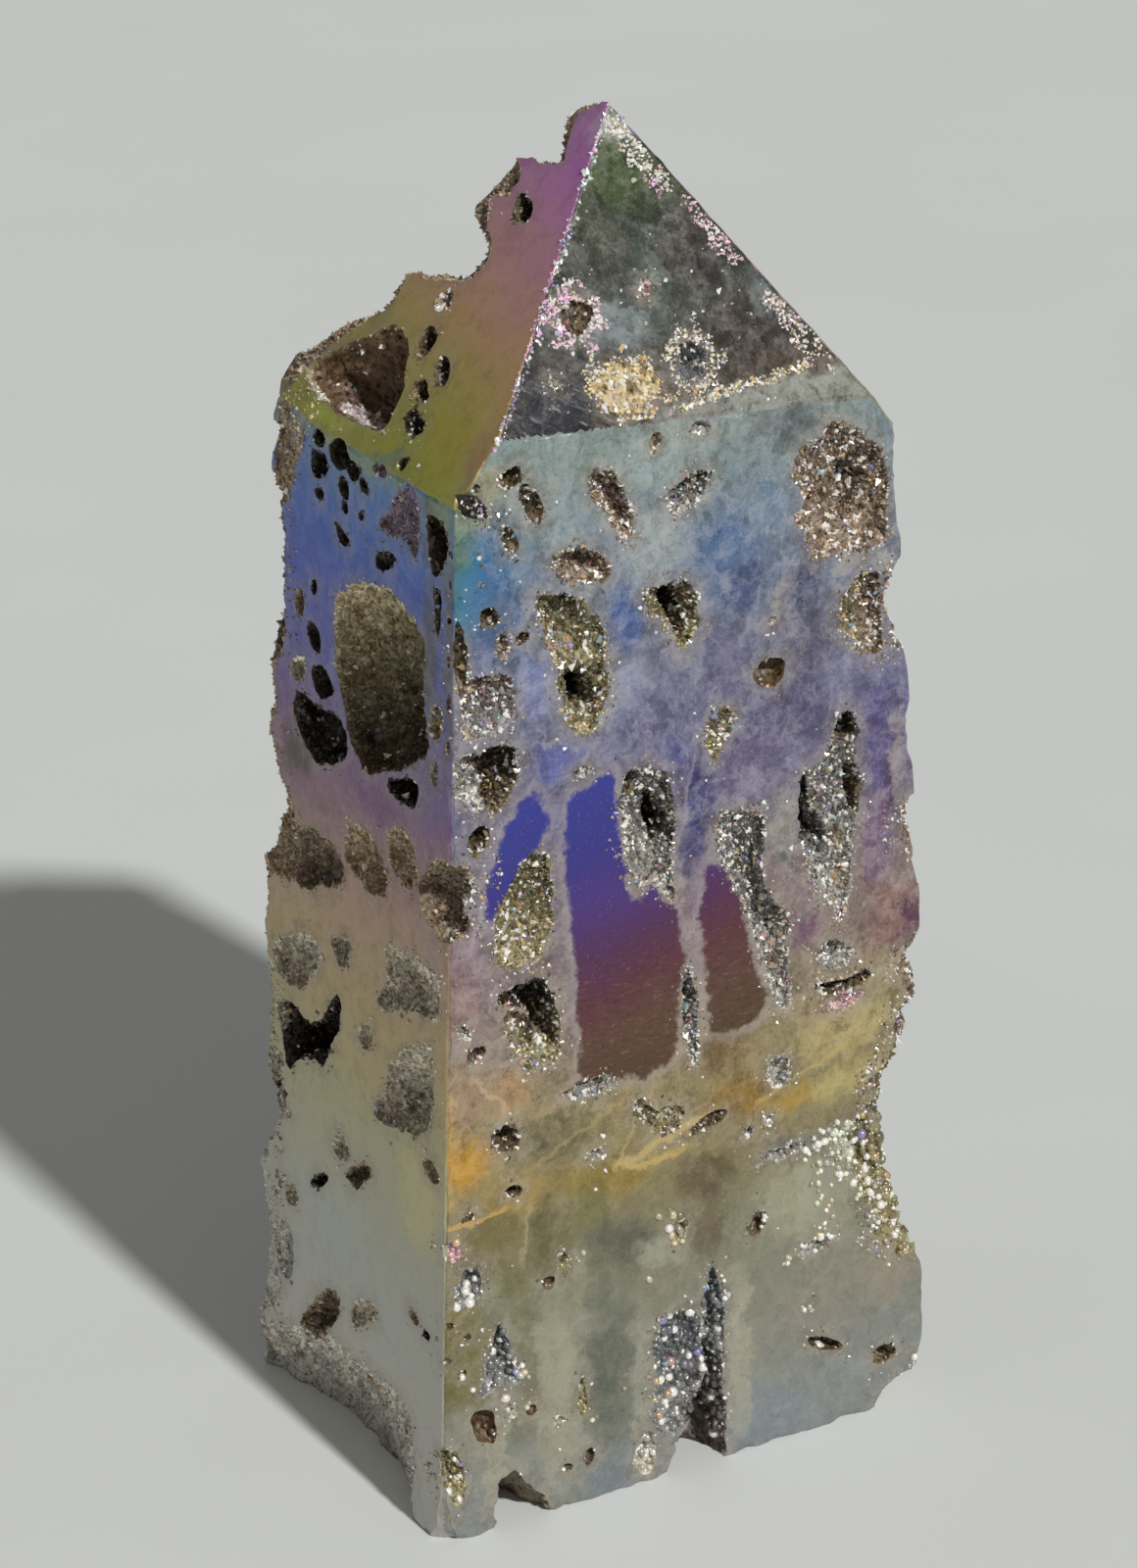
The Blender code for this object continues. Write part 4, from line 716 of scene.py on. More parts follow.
def lobes(name, count=3):
    """The low waves that keep an opening from being a true oval, the same each run."""
    dice = random.Random(name)
    return [(k + 2, LOBE / (k + 1), dice.uniform(0, 2 * math.pi)) for k in range(count)]


def ragged(points, centre, name):
    """Nibbles an outline towards and away from its centre."""
    seed = fixed_seed("rim " + name)
    away = points - centre
    reach = np.linalg.norm(away, axis=1, keepdims=True)
    bites = np.array([noise.noise(Vector((p[0] / BITES[0], p[1] / BITES[0], seed))) for p in points])
    teeth = np.array([noise.noise(Vector((p[0] / TEETH[0], p[1] / TEETH[0], seed + 9))) for p in points])
    size = min(1.0, float(reach.mean()) / FULL_BITES)
    return points + away / reach * ((BITES[1] * bites + TEETH[1] * teeth) * size)[:, None]


def oval_outline(name, across, up, half_across, half_up, lean, step):
    """The opening of a hollow as (across, up) points."""
    waves = lobes(name)
    around = math.pi * (half_across + half_up)
    fewest, most = OUTLINE_CORNERS
    count = int(min(most, max(fewest, around / step)))
    angles = np.arange(count) * 2 * math.pi / count
    swell = 1 + sum(size * np.cos(k * angles + phase) for k, size, phase in waves)
    x = half_across * swell * np.cos(angles)
    y = half_up * swell * np.sin(angles)
    turn = math.radians(lean)
    points = np.stack(
        [
            across + x * math.cos(turn) - y * math.sin(turn),
            up + x * math.sin(turn) + y * math.cos(turn),
        ],
        axis=1,
    )
    return ragged(points, np.array([across, up]), name)


def walked(corners, step):
    """A closed outline through corners, walked in equal steps."""
    closed = np.vstack([corners, corners[:1]])
    lengths = np.linalg.norm(np.diff(closed, axis=0), axis=1)
    along = np.concatenate([[0.0], np.cumsum(lengths)])
    count = int(along[-1] / step)
    marks = np.arange(count) * along[-1] / count
    return np.stack([np.interp(marks, along, closed[:, k]) for k in range(2)], axis=1)


def evenly(points, step):
    """A closed outline rounded off once, then walked in equal steps."""
    points = np.array(points, float)
    after = np.roll(points, -1, axis=0)
    rounded = np.stack([0.75 * points + 0.25 * after, 0.25 * points + 0.75 * after], 1).reshape(-1, 2)
    return walked(rounded, step)


def mesh_object(name, vertices, faces, collection=None):
    """Links millimetre vertices and faces as an object in metres."""
    mesh = bpy.data.meshes.new(name)
    mesh.from_pydata((np.asarray(vertices) * MM).tolist(), [], faces)
    mesh.update()
    return linked(name, mesh, collection)


def linked(name, mesh, collection=None):
    """Links a mesh as an object."""
    obj = bpy.data.objects.new(name, mesh)
    (collection or bpy.context.scene.collection).objects.link(obj)
    return obj


def linked_bmesh(name, bm, collection=None):
    """Links an edit mesh as an object, and frees it."""
    mesh = bpy.data.meshes.new(name)
    bm.to_mesh(mesh)
    bm.free()
    return linked(name, mesh, collection)


def wall_faces(ring_count, ring_size):
    """Quads between the rings of a stack."""
    faces = []
    for low in range(0, (ring_count - 1) * ring_size, ring_size):
        for i in range(ring_size):
            j = (i + 1) % ring_size
            faces.append((low + i, low + j, low + ring_size + j, low + ring_size + i))
    return faces


def tube_faces(ring_count, ring_size):
    """A stack of rings with a fan of triangles at each end, to the two points that follow the rings."""
    faces = wall_faces(ring_count, ring_size)
    start_tip = ring_count * ring_size
    last = (ring_count - 1) * ring_size
    for i in range(ring_size):
        j = (i + 1) % ring_size
        faces.append((j, i, start_tip))
        faces.append((last + i, last + j, start_tip + 1))
    return faces


def prism_faces(ring_count, ring_size):
    """A stack of rings with one flat face at each end."""
    faces = wall_faces(ring_count, ring_size)
    faces.append(tuple(range(ring_size)))
    faces.append(tuple(reversed(range((ring_count - 1) * ring_size, ring_count * ring_size))))
    return faces


def face_out(obj):
    """Turns every face of a closed mesh outward."""
    bm = bmesh.new()
    bm.from_mesh(obj.data)
    bmesh.ops.recalc_face_normals(bm, faces=bm.faces)
    bm.to_mesh(obj.data)
    bm.free()


def tube(name, rings, tips, collection=None):
    """A closed solid from a stack of rings and its two end points."""
    faces = tube_faces(len(rings), len(rings[0]))
    obj = mesh_object(name, np.vstack([*rings, tips]), faces, collection)
    face_out(obj)
    return obj


def prism(name, rings, collection):
    """A closed solid from a stack of rings with flat ends."""
    faces = prism_faces(len(rings), len(rings[0]))
    face_out(mesh_object(name, np.vstack(rings), faces, collection))


class Hollow:
    """One hollow: the plane it opens in, its outline there, its depth and its lining."""

    def __init__(self, side, name, depth, tone, shift, outline):
        self.side = side
        self.name = side + "_" + name
        self.plane = plane_of(side)
        self.depth = depth
        self.upper, self.lower, self.share, self.steep = TONES[tone]
        self.shift = np.array(shift, float)
        self.outline = outline
        self.low, self.high = outline.min(axis=0), outline.max(axis=0)

    def gap(self, spots):
        """How far spots of the plane lie outside the opening, in millimetres."""
        gap = np.full(len(spots), FAR)
        near = ((spots > self.low - TONE_REACH) & (spots < self.high + TONE_REACH)).all(axis=1)
        gap[near] = -window_distance(spots[near], self.outline[::3])
        return gap


def strewn_pits():
    """Rows like those of HOLLOWS for small pits at random places, the same each run."""
    dice = random.Random("pits")
    rows = []
    for side, (count, low, high, half_width) in STREWN_PITS.items():
        for number in range(count):
            across, up = dice.uniform(-half_width, half_width), dice.uniform(low, high)
            size = dice.uniform(*PIT_SIZES)
            tall, deep = size * dice.uniform(*PIT_TALL), size * dice.uniform(*PIT_DEEP)
            lean, lining = dice.uniform(-PIT_LEAN, PIT_LEAN), dice.choice(PIT_LININGS)
            rows.append((side, (f"strewn_{number}", across, up, size, tall, deep, lean, lining)))
    return rows


def list_hollows():
    """Every hollow of the tables and the strewn pits, the ovals first."""
    hollows = []
    ovals = [(side, row) for side, rows in HOLLOWS.items() for row in rows]
    for side, (name, across, up, half_across, half_up, depth, lean, tone) in ovals + strewn_pits():
        step = FINE_STEP if side in NEAR_SIDES else COARSE_STEP
        outline = oval_outline(side + name, across, up, half_across, half_up, lean, step)
        rise = (0.12 if TONES[tone][3] else 0.3) * half_up
        hollows.append(Hollow(side, name, depth, tone, (0.0, rise), outline))
    for side, rows in OUTLINES.items():
        for name, depth, tone, shift, points in rows:
            outline = evenly(points, FINE_STEP)
            outline = ragged(outline, outline.mean(axis=0), side + name)
            hollows.append(Hollow(side, name, depth, tone, shift, outline))
    return hollows


ALL_HOLLOWS = list_hollows()


def hollow_cutter(hollow, collection):
    """A lumpy plug that fills a hollow and stands out of the face by the collar."""
    plane, outline, depth = hollow.plane, hollow.outline, hollow.depth
    power, finish = STEEP_WALL if hollow.steep else GENTLE_WALL
    centre = outline.mean(axis=0)
    size = min(1.0, float(np.linalg.norm(outline - centre, axis=1).mean()) / 2.5)
    step = FINE_STEP if hollow.side in NEAR_SIDES else COARSE_STEP
    fewest, most = WALL_LEVELS
    levels = int(min(most, max(fewest, 1.2 * depth / step)))
    rings = [plane.at(outline, COLLAR)]
    seed = fixed_seed("wall " + hollow.name)
    for level in range(1, levels + 1):
        down = level / (levels + 0.6)
        share = (1 - down**power) ** finish
        ring = plane.at(centre + (outline - centre) * share + hollow.shift * down, -depth * down)
        lumps = lumpy(ring, LUMPS, seed) + lumpy(ring, FINE_LUMPS, seed + 3)
        lumps = lumps + lumpy(ring, WIDE_LUMPS, seed + 6) * size
        rings.append(ring + lumps * min(1.0, depth * down))
    tips = plane.at([centre, centre + hollow.shift], [COLLAR, -depth])
    tube("cut_" + hollow.name, rings, tips, collection)


def nearest_hollow(points):
    """For each point, how far it lies outside the nearest hollow, and that hollow's number."""
    gap = np.full(len(points), FAR)
    best = np.full(len(points), FAR)
    number = np.full(len(points), -1)
    views = {}
    for name, plane in CUTS.items():
        outside = plane.outside(points)
        views[plane] = outside, (points - plane.normal * outside[:, None])[:, [plane.across_axis, 2]]
    for k, hollow in enumerate(ALL_HOLLOWS):
        outside, spots = views[hollow.plane]
        reached = np.flatnonzero(outside > -hollow.depth - TONE_REACH)
        here = hollow.gap(spots[reached])
        score = np.where((here < 0) & hollow.steep, here - FAR, here)
        better = score < best[reached]
        best[reached[better]] = score[better]
        gap[reached[better]] = here[better]
        number[reached[better]] = k
    return gap, number


def tones_at(points):
    """The lining colour at each point, the share of crystals that grow there, and its gap to a hollow."""
    gap, number = nearest_hollow(points)
    colours = np.tile(srgb(*TONES["crumb"][0]), (len(points), 1))
    share = np.ones(len(points))
    for k, hollow in enumerate(ALL_HOLLOWS):
        mine = np.flatnonzero((number == k) & (gap < TONE_REACH))
        outside = hollow.plane.outside(points[mine])
        up = (points[mine] - hollow.plane.normal * outside[:, None])[:, 2]
        # Mixed from the lower to the upper colour by height in the hollow, which carries the linings' painted
        # light and shade.
        high = np.clip((up - hollow.low[1]) / (hollow.high[1] - hollow.low[1]), 0, 1)[:, None]
        high = high * high * (3 - 2 * high)
        deep = np.clip(-outside / hollow.depth, 0, 1)[:, None]
        mix = np.array(srgb(*hollow.lower)) * (1 - high) + np.array(srgb(*hollow.upper)) * high
        # Darker with depth in the hollow: painted shade.
        colours[mine] = mix * (1 - DEPTH_SHADE * deep)
        share[mine] = hollow.share
    return colours, share, gap


def break_cutter(collection):
    """A ragged prism that takes off the broken side of the point."""
    plane = CUTS["left_facet"]
    aim = np.array(BREAK_AIM) / np.linalg.norm(BREAK_AIM)
    edge = walked(np.array(BREAK_OUTLINE, float), BREAK_STEP)
    width, height = BREAK_TEETH
    teeth = np.array([noise.noise_vector(Vector((p[0] / width, p[1] / width, 4.0))) for p in edge])
    edge = edge + teeth[:, :2] * height
    rings = []
    for reach in (-BREAK_LEAD, *BREAK_RINGS):
        ring = plane.at(edge) + aim * reach
        if reach > 0:
            ring = ring + wobble(ring, BREAK_SWELL, 1.0) * min(BREAK_MOST, reach * 0.5)
            ring = ring + lumpy(ring, BREAK_LUMPS, 2.0)
        rings.append(ring)
    prism("cut_broken_point", rings, collection)


def crumbled_corner():
    """A rough lump behind the left facet, which reaches out past the sawn back."""
    plane = CUTS["left_facet"]
    edge = evenly(CORNER_OUTLINE, COARSE_STEP)
    centre = edge.mean(axis=0)
    rings = []
    for depth, share in CORNER_RINGS:
        ring = plane.at(centre + (edge - centre) * share, -depth)
        lumps = lumpy(ring, CORNER_LUMPS, 21.0) + lumpy(ring, CORNER_FINE_LUMPS, 22.0)
        ring = ring + lumps * min(1.0, depth / 2)
        ring[:, 1] = np.minimum(ring[:, 1], BASE_DEPTH / 2 - 0.05)
        rings.append(ring)
    tips = plane.at([centre, centre], [[-CORNER_RINGS[0][0]], [-CORNER_RINGS[-1][0] - 0.3]])
    return tube("corner", rings, tips)


def cavity_cutter(name, centre, radii, collection):
    """A lumpy ball."""
    bm = bmesh.new()
    bmesh.ops.create_icosphere(bm, subdivisions=5, radius=1.0)
    round_points = np.array([vert.co[:] for vert in bm.verts])
    seed = fixed_seed(name)
    lumps, fine_lumps = (lumpy(round_points, lump, seed)[:, :1] for lump in (CAVITY_LUMPS, CAVITY_FINE_LUMPS))
    points = np.array(centre) + round_points * (1 + lumps + fine_lumps) * np.array(radii)
    for vert, point in zip(bm.verts, points):
        vert.co = point * MM
    linked_bmesh("cut_" + name, bm, collection)


def meeting_point(*names):
    """Where three planes meet."""
    planes = [CUTS[name] for name in names]
    return np.linalg.solve([p.normal for p in planes], [p.normal @ p.point for p in planes])


def inward(plane, other, along):
    """The direction in a plane that leads away from its arris with another plane."""
    direction = np.cross(plane.normal, along)
    return direction * -np.sign(direction @ other.normal)


def arris_cutter(name, first, second, start, end, wear, second_share, bulge, collection):
    """Wears an arris back: a lofted strip along it, ragged on both planes and rough between them."""
    plane_a, plane_b = CUTS[first], CUTS[second]
    length = np.linalg.norm(end - start)
    along = (end - start) / length
    into_a, into_b = inward(plane_a, plane_b, along), inward(plane_b, plane_a, along)
    outwards = (plane_a.normal + plane_b.normal) / np.linalg.norm(plane_a.normal + plane_b.normal)
    steps = int(length / ARRIS_STEP)
    heights, amounts = zip(*wear)
    inner_count = NARROW_POINTS if max(amounts) < NARROW_WEAR else WIDE_POINTS
    seed = fixed_seed("arris " + name)
    rings = []
    for i in range(steps + 1):
        gone = length * i / steps
        centre = start + along * gone
        worn = float(np.interp(centre[2], heights, amounts))
        shake_a = noise.noise(Vector((gone / LONG_WAVE, seed, 0.0)))
        shake_b = noise.noise(Vector((gone / LONG_WAVE, seed, 5.0)))
        tooth = noise.noise(Vector((gone / SHORT_WAVE, seed, 9.0)))
        uneven_a = 1 + LONG_SHARE * shake_a + SHORT_SHARE * tooth
        uneven_b = 1 + LONG_SHARE * shake_b
        reach_a = max(LEAST_WEAR, worn * uneven_a + LEAST_TOOTH * tooth)
        reach_b = max(LEAST_WEAR, worn * second_share * uneven_b + LEAST_TOOTH * tooth)
        side_a = centre + into_a * reach_a
        side_b = centre + into_b * reach_b
        ring = [side_a + plane_a.normal * COLLAR, side_a]
        for k in range(1, inner_count):
            t = k / inner_count
            swell = 4 * t * (1 - t) * bulge
            point = side_a * (1 - t) + side_b * t
            point = point + (centre - (side_a + side_b) / 2) * swell
            rough = noise.noise(Vector(point / FINE_ROUGH[0]) + Vector((seed, 0, 0))) * FINE_ROUGH[1]
            rough += noise.noise(Vector(point / BROAD_ROUGH[0]) + Vector((0, seed, 0))) * BROAD_ROUGH[1]
            ring.append(point + outwards * min(reach_a, FULL_ROUGH) * (rough - ROUGH_SUNK))
        ring += [side_b, side_b + plane_b.normal * COLLAR, centre + outwards * 2 * COLLAR]
        rings.append(np.array(ring))
    prism("cut_arris_" + name, rings, collection)


def arris_cutters(collection):
    """A strip along every arris: its two planes, its ends, its wear, and how wide and hollow it is."""
    sideways, away, up = np.eye(3)
    front_right_foot = meeting_point("front", "right_low", "base")
    knee_front = meeting_point("front", "right_low", "right_high")
    right_shoulder = meeting_point("front", "right_high", "right_facet")
    front_left_foot = meeting_point("front", "left", "base")
    left_shoulder = meeting_point("front", "left", "left_facet")
    back_left_foot = meeting_point("back", "left", "base")
    back_left_top = meeting_point("back", "left", "left_facet")
    back_right_foot = meeting_point("back", "right_low", "base")
    knee_back = meeting_point("back", "right_low", "right_high")
    back_right_top = meeting_point("back", "right_high", "right_facet")
    left_fork = meeting_point("front", "left_facet", "front_facet")
    right_fork = meeting_point("front", "right_facet", "front_facet")
    left_peak = meeting_point("left_facet", "right_facet", "front_facet")
    back_peak = meeting_point("left_facet", "right_facet", "back_facet")
    back_fork = meeting_point("back", "right_facet", "back_facet")
    strips = [
        ("front_right_low", "front", "right_low", front_right_foot - up, knee_front,
         FRONT_RIGHT_WEAR, 0.9, 0.35),
        ("front_right_high", "front", "right_high", knee_front, right_shoulder + up,
         FRONT_RIGHT_WEAR, 0.9, 0.35),
        ("front_left", "front", "left", front_left_foot - up, left_shoulder + up, FRONT_LEFT_WEAR, 1.0, 0.3),
        ("back_left", "left", "back", back_left_foot - up, back_left_top + 2 * up, BACK_LEFT_WEAR, 1.0, 0.8),
        ("back_right_low", "back", "right_low", back_right_foot - up, knee_back, BACK_RIGHT_WEAR, 1.2, 0.7),
        ("back_right_high", "back", "right_high", knee_back, back_right_top + up,
         BACK_RIGHT_WEAR, 1.2, 0.7),
        ("left_shoulder", "left", "left_facet", left_shoulder, back_left_top, EVEN_WEAR, 0.7, 0.4),
        ("right_shoulder", "right_high", "right_facet", right_shoulder, back_right_top,
         EVEN_WEAR, 1.0, 0.4),
        ("front_shoulder", "front", "front_facet", left_fork, right_fork, EVEN_WEAR, 1.2, 0.3),
        ("front_left_fork", "front", "left_facet", left_shoulder, left_fork, EVEN_WEAR, 0.8, 0.3),
        ("front_right_fork", "front", "right_facet", right_shoulder, right_fork, POINT_WEAR, 1.4, 0.3),
        ("point_left", "front_facet", "left_facet", left_fork, left_peak, POINT_WEAR, 0.5, 0.4),
        ("point_right", "front_facet", "right_facet", right_fork, left_peak, POINT_WEAR, 1.4, 0.4),
        ("point_ridge", "left_facet", "right_facet", left_peak, back_peak, EVEN_WEAR, 1.0, 0.9),
        ("point_back", "back_facet", "right_facet", back_peak, back_fork, POINT_WEAR, 1.2, 0.4),
        ("front_foot", "base", "front", front_left_foot - sideways, front_right_foot + sideways,
         FOOT_WEAR, 0.9, 0.8),
        ("left_foot", "base", "left", front_left_foot - away, back_left_foot + away, FOOT_WEAR, 0.9, 0.8),
        ("right_foot", "base", "right_low", front_right_foot - away, back_right_foot + away,
         FOOT_WEAR, 0.9, 0.8),
        ("back_foot", "base", "back", back_left_foot - sideways, back_right_foot + sideways,
         FOOT_WEAR, 0.9, 0.8),
    ]
    for strip in strips:
        arris_cutter(*strip, collection)


def pit_cutter(number, x, y, radius, depth, collection):
    """A shallow pit in the sawn underside."""
    angles = np.arange(PIT_CORNERS) * 2 * math.pi / PIT_CORNERS
    rings = []
    for height, share in [(-COLLAR, 1.0), *((down * depth, share) for down, share in PIT_RINGS)]:
        across = x + radius * share * np.cos(angles)
        along = y + radius * share * np.sin(angles)
        ring = np.stack([across, along, np.full(PIT_CORNERS, height)], axis=1)
        rings.append(ring + lumpy(ring, PIT_LUMPS, number) * (height > 0))
    tube(f"cut_base_pit_{number}", rings, np.array([[x, y, -COLLAR], [x, y, depth]]), collection)


def gridded_blank(spacing):
    """The sawn block, its faces divided by level and upright slices."""
    bm = bmesh.new()
    bmesh.ops.create_cube(bm, size=2 * HEIGHT)
    bmesh.ops.translate(bm, vec=(0, 0, HEIGHT), verts=bm.verts)

    def slice_at(point, normal, clear):
        geometry = bm.verts[:] + bm.edges[:] + bm.faces[:]
        cut = bmesh.ops.bisect_plane(
            bm, geom=geometry, plane_co=point, plane_no=normal, clear_outer=clear, dist=0.0001
        )
        if clear:
            rim = [part for part in cut["geom_cut"] if isinstance(part, bmesh.types.BMEdge)]
            bmesh.ops.edgenet_fill(bm, edges=rim)

    for name, plane in CUTS.items():
        if name != "base":
            slice_at(plane.point, plane.normal, True)
    extents = [(2, 0.0, HEIGHT), (0, -BASE_WIDTH / 2, BASE_WIDTH / 2), (1, -BASE_DEPTH / 2, BASE_DEPTH / 2)]
    for axis, low, high in extents:
        normal = [0.0, 0.0, 0.0]
        normal[axis] = 1.0
        for mark in np.arange(low + 0.37 * spacing, high, spacing):
            slice_at([mark * n for n in normal], normal, False)
    bmesh.ops.scale(bm, vec=(MM, MM, MM), verts=bm.verts)
    obj = linked_bmesh("stone", bm)
    face_out(obj)
    return obj


def all_cutters(collection):
    """Makes everything that is taken out of the stone."""
    for hollow in ALL_HOLLOWS:
        hollow_cutter(hollow, collection)
    break_cutter(collection)
    for name, centre, radii in BACK_CAVITIES:
        cavity_cutter(name, centre, radii, collection)
    for number, (x, y, radius, depth) in enumerate(BASE_PITS):
        pit_cutter(number, x, y, radius, depth, collection)
    arris_cutters(collection)


def add_boolean(obj, operation, **settings):
    """Adds a modifier that joins another solid or takes others out."""
    modifier = obj.modifiers.new(operation.lower(), "BOOLEAN")
    modifier.operation = operation
    modifier.solver = "MANIFOLD"
    for key, value in settings.items():
        setattr(modifier, key, value)


def carve_stone():
    """The blank with every hollow taken out, as one triangulated mesh."""
    cutters = bpy.data.collections.new("cutters")
    bpy.context.scene.collection.children.link(cutters)
    all_cutters(cutters)
    blank = gridded_blank(FINE_GRID)
    corner = crumbled_corner()
    add_boolean(blank, "UNION", object=corner)
    add_boolean(blank, "DIFFERENCE", operand_type="COLLECTION", collection=cutters)
    depsgraph = bpy.context.evaluated_depsgraph_get()
    carved = bpy.data.meshes.new_from_object(blank.evaluated_get(depsgraph))
    for obj in [blank, corner, *cutters.objects]:
        bpy.data.objects.remove(obj, do_unlink=True)
    bpy.data.collections.remove(cutters)
    bm = bmesh.new()
    bm.from_mesh(carved)
    bmesh.ops.triangulate(bm, faces=bm.faces)
    loose = [vert for vert in bm.verts if not vert.link_faces]
    bmesh.ops.delete(bm, geom=loose, context="VERTS")
    bm.to_mesh(carved)
    bm.free()
    carved.materials.clear()
    carved.name = "stone"
    return linked("stone", carved)


def mesh_arrays(mesh):
    """Vertices in millimetres, and triangles."""
    vertices = np.empty(len(mesh.vertices) * 3)
    mesh.vertices.foreach_get("co", vertices)
    triangles = np.empty(len(mesh.loops), int)
    mesh.loops.foreach_get("vertex_index", triangles)
    return vertices.reshape(-1, 3) / MM, triangles.reshape(-1, 3)


def set_attribute(mesh, name, values):
    """Keeps one number at each vertex."""
    attribute = mesh.attributes.new(name, "FLOAT", "POINT")
    attribute.data.foreach_set("value", np.asarray(values, np.float32))


def set_colour(mesh, name, colours):
    """Keeps one colour at each vertex."""
    attribute = mesh.attributes.new(name, "FLOAT_COLOR", "POINT")
    opaque = np.column_stack([colours, np.ones(len(colours))])
    attribute.data.foreach_set("color", opaque.astype(np.float32).ravel())


def window_distance(spots, outline):
    """Signed distance in millimetres to an outline, positive inside."""
    corners = np.array(outline, float)
    inside = np.zeros(len(spots), bool)
    nearest = np.full(len(spots), np.inf)
    for a, b in zip(corners, np.roll(corners, -1, axis=0)):
        edge = b - a
        share = np.clip(((spots - a) @ edge) / (edge @ edge), 0, 1)
        nearest = np.minimum(nearest, np.linalg.norm(spots - a - share[:, None] * edge, axis=1))
        crosses = (a[1] > spots[:, 1]) != (b[1] > spots[:, 1])
        if abs(edge[1]) > 1e-9:
            at_x = a[0] + (spots[:, 1] - a[1]) * edge[0] / edge[1]
            inside ^= crosses & (spots[:, 0] < at_x)
    return np.where(inside, nearest, -nearest)


def corner_mask(count, triangles):
    """Which of so many vertices the triangles have."""
    mask = np.zeros(count, bool)
    mask[triangles.ravel()] = True
    return mask


def rim_distance(vertices, triangles, rough):
    """How far each vertex lies from the nearest one where rough and smooth faces meet."""
    count = len(vertices)
    rim = np.flatnonzero(corner_mask(count, triangles[rough]) & corner_mask(count, triangles[~rough]))
    tree = kdtree.KDTree(len(rim))
    for number, index in enumerate(rim):
        tree.insert(vertices[index], number)
    tree.balance()
    return np.array([tree.find(point)[2] for point in vertices])


def finish_stone(stone):
    """Sorts the faces by plane, and measures what the materials need at each vertex."""
    mesh = stone.data
    vertices, triangles = mesh_arrays(mesh)
    rough_kind = len(CUTS)
    on_plane = np.abs(outsides(vertices)) < ON_PLANE
    kind = np.full(len(triangles), rough_kind)
    for k in range(len(CUTS)):
        kind[on_plane[triangles, k].all(axis=1)] = k
    centres = vertices[triangles].mean(axis=1)
    tones, _, gap = tones_at(vertices)
    apart = gap[triangles].min(axis=1) > WORN_GAP
    worn = (kind == rough_kind) & (on_thin_arris(centres) | (apart & (centres[:, 2] < SHOULDER_HEIGHT)))
    worn[worn] = ~crumbled(centres[worn])
    mesh.polygons.foreach_set("use_smooth", (kind == rough_kind) | worn)
    kind[worn] = outsides(centres[worn]).argmax(axis=1)
    mesh.polygons.foreach_set("material_index", kind.astype(np.int32))
    to_rim = rim_distance(vertices, triangles, kind == rough_kind)
    set_attribute(mesh, "to_rim", to_rim)
    set_colour(mesh, "tone", tones)
    spots = vertices[:, [0, 2]]
    gem = np.max([window_distance(spots, outline) for outline in GEM_WINDOWS], axis=0)
    set_attribute(mesh, "gem", np.where(on_plane[:, list(CUTS).index("front")], gem, -FAR))
    mesh.update()
    return vertices, triangles, np.where(worn, -1, kind), to_rim


def grain_spots(vertices, triangles, spacing, seed):
    """Evenly strewn points on triangles, with their normals."""
    corners = vertices[triangles]
    normals = np.cross(corners[:, 1] - corners[:, 0], corners[:, 2] - corners[:, 0])
    areas = np.linalg.norm(normals, axis=1) / 2
    normals = normals / np.maximum(areas[:, None] * 2, 1e-12)
    dice = np.random.default_rng(seed)
    count = int(areas.sum() / spacing**2 * SPOTS_PER_CELL)
    picked = np.searchsorted(np.cumsum(areas) / areas.sum(), dice.random(count)).clip(0, len(areas) - 1)
    u, v = dice.random(count), dice.random(count)
    fold = u + v > 1
    u[fold], v[fold] = 1 - u[fold], 1 - v[fold]
    start, second, third = corners[picked].swapaxes(0, 1)
    points = start + (second - start) * u[:, None] + (third - start) * v[:, None]
    cells = np.floor(points / spacing).astype(np.int64)
    _, first = np.unique(cells, axis=0, return_index=True)
    return points[first], normals[picked[first]]


def grain_mesh(name, points, tones, pattern, smooth):
    """One mesh of many like grains: points is (grains, corners, 3) in millimetres."""
    count, corners = points.shape[:2]
    triangles = (np.array(pattern)[None] + np.arange(count)[:, None, None] * corners).reshape(-1, 3)
    mesh = bpy.data.meshes.new(name)
    mesh.vertices.add(count * corners)
    mesh.vertices.foreach_set("co", (points.reshape(-1) * MM).astype(np.float32))
    mesh.loops.add(len(triangles) * 3)
    mesh.loops.foreach_set("vertex_index", triangles.reshape(-1).astype(np.int32))
    mesh.polygons.add(len(triangles))
    mesh.polygons.foreach_set("loop_start", np.arange(0, len(triangles) * 3, 3, dtype=np.int32))
    mesh.polygons.foreach_set("use_smooth", np.full(len(triangles), smooth))
    mesh.update(calc_edges=True)
    set_colour(mesh, "tone", np.repeat(tones, corners, axis=0))
    return linked(name, mesh)


def sunk_below(points):
    """How far points lie below the nearest sawn plane. The crumbled corner may stand out at the back."""
    left_of, behind, above = CORNER_ZONE
    corner = (points[:, 0] < left_of) & (points[:, 1] > behind) & (points[:, 2] > above)
    away = []
    for name, plane in CUTS.items():
        hidden = corner & (name in ("back", "back_facet"))
        away.append(np.where(hidden, -FAR, plane.outside(points)))
    return -np.max(away, axis=0)


def within_stone(points, proud):
    """Which grains keep every corner inside the sawn planes, or at most a hair outside them."""
    count, corners = points.shape[:2]
    flat = points.reshape(-1, 3)
    low, high = (np.array(corner) / MM for corner in cad_bounds)
    in_box = ((flat > low + BOX_MARGIN) & (flat < high - BOX_MARGIN)).all(axis=1)
    inside = (sunk_below(flat) > -proud) & in_box
    return inside.reshape(count, corners).all(axis=1)


def frames_for(normals, lean, dice):
    """An axis near each normal and two directions across it, turned at random."""
    axes = normals + lean * dice.normal(size=normals.shape)
    axes /= np.linalg.norm(axes, axis=1, keepdims=True)
    side = np.cross(axes, dice.normal(size=normals.shape))
    side /= np.linalg.norm(side, axis=1, keepdims=True)
    return axes, side, np.cross(axes, side)


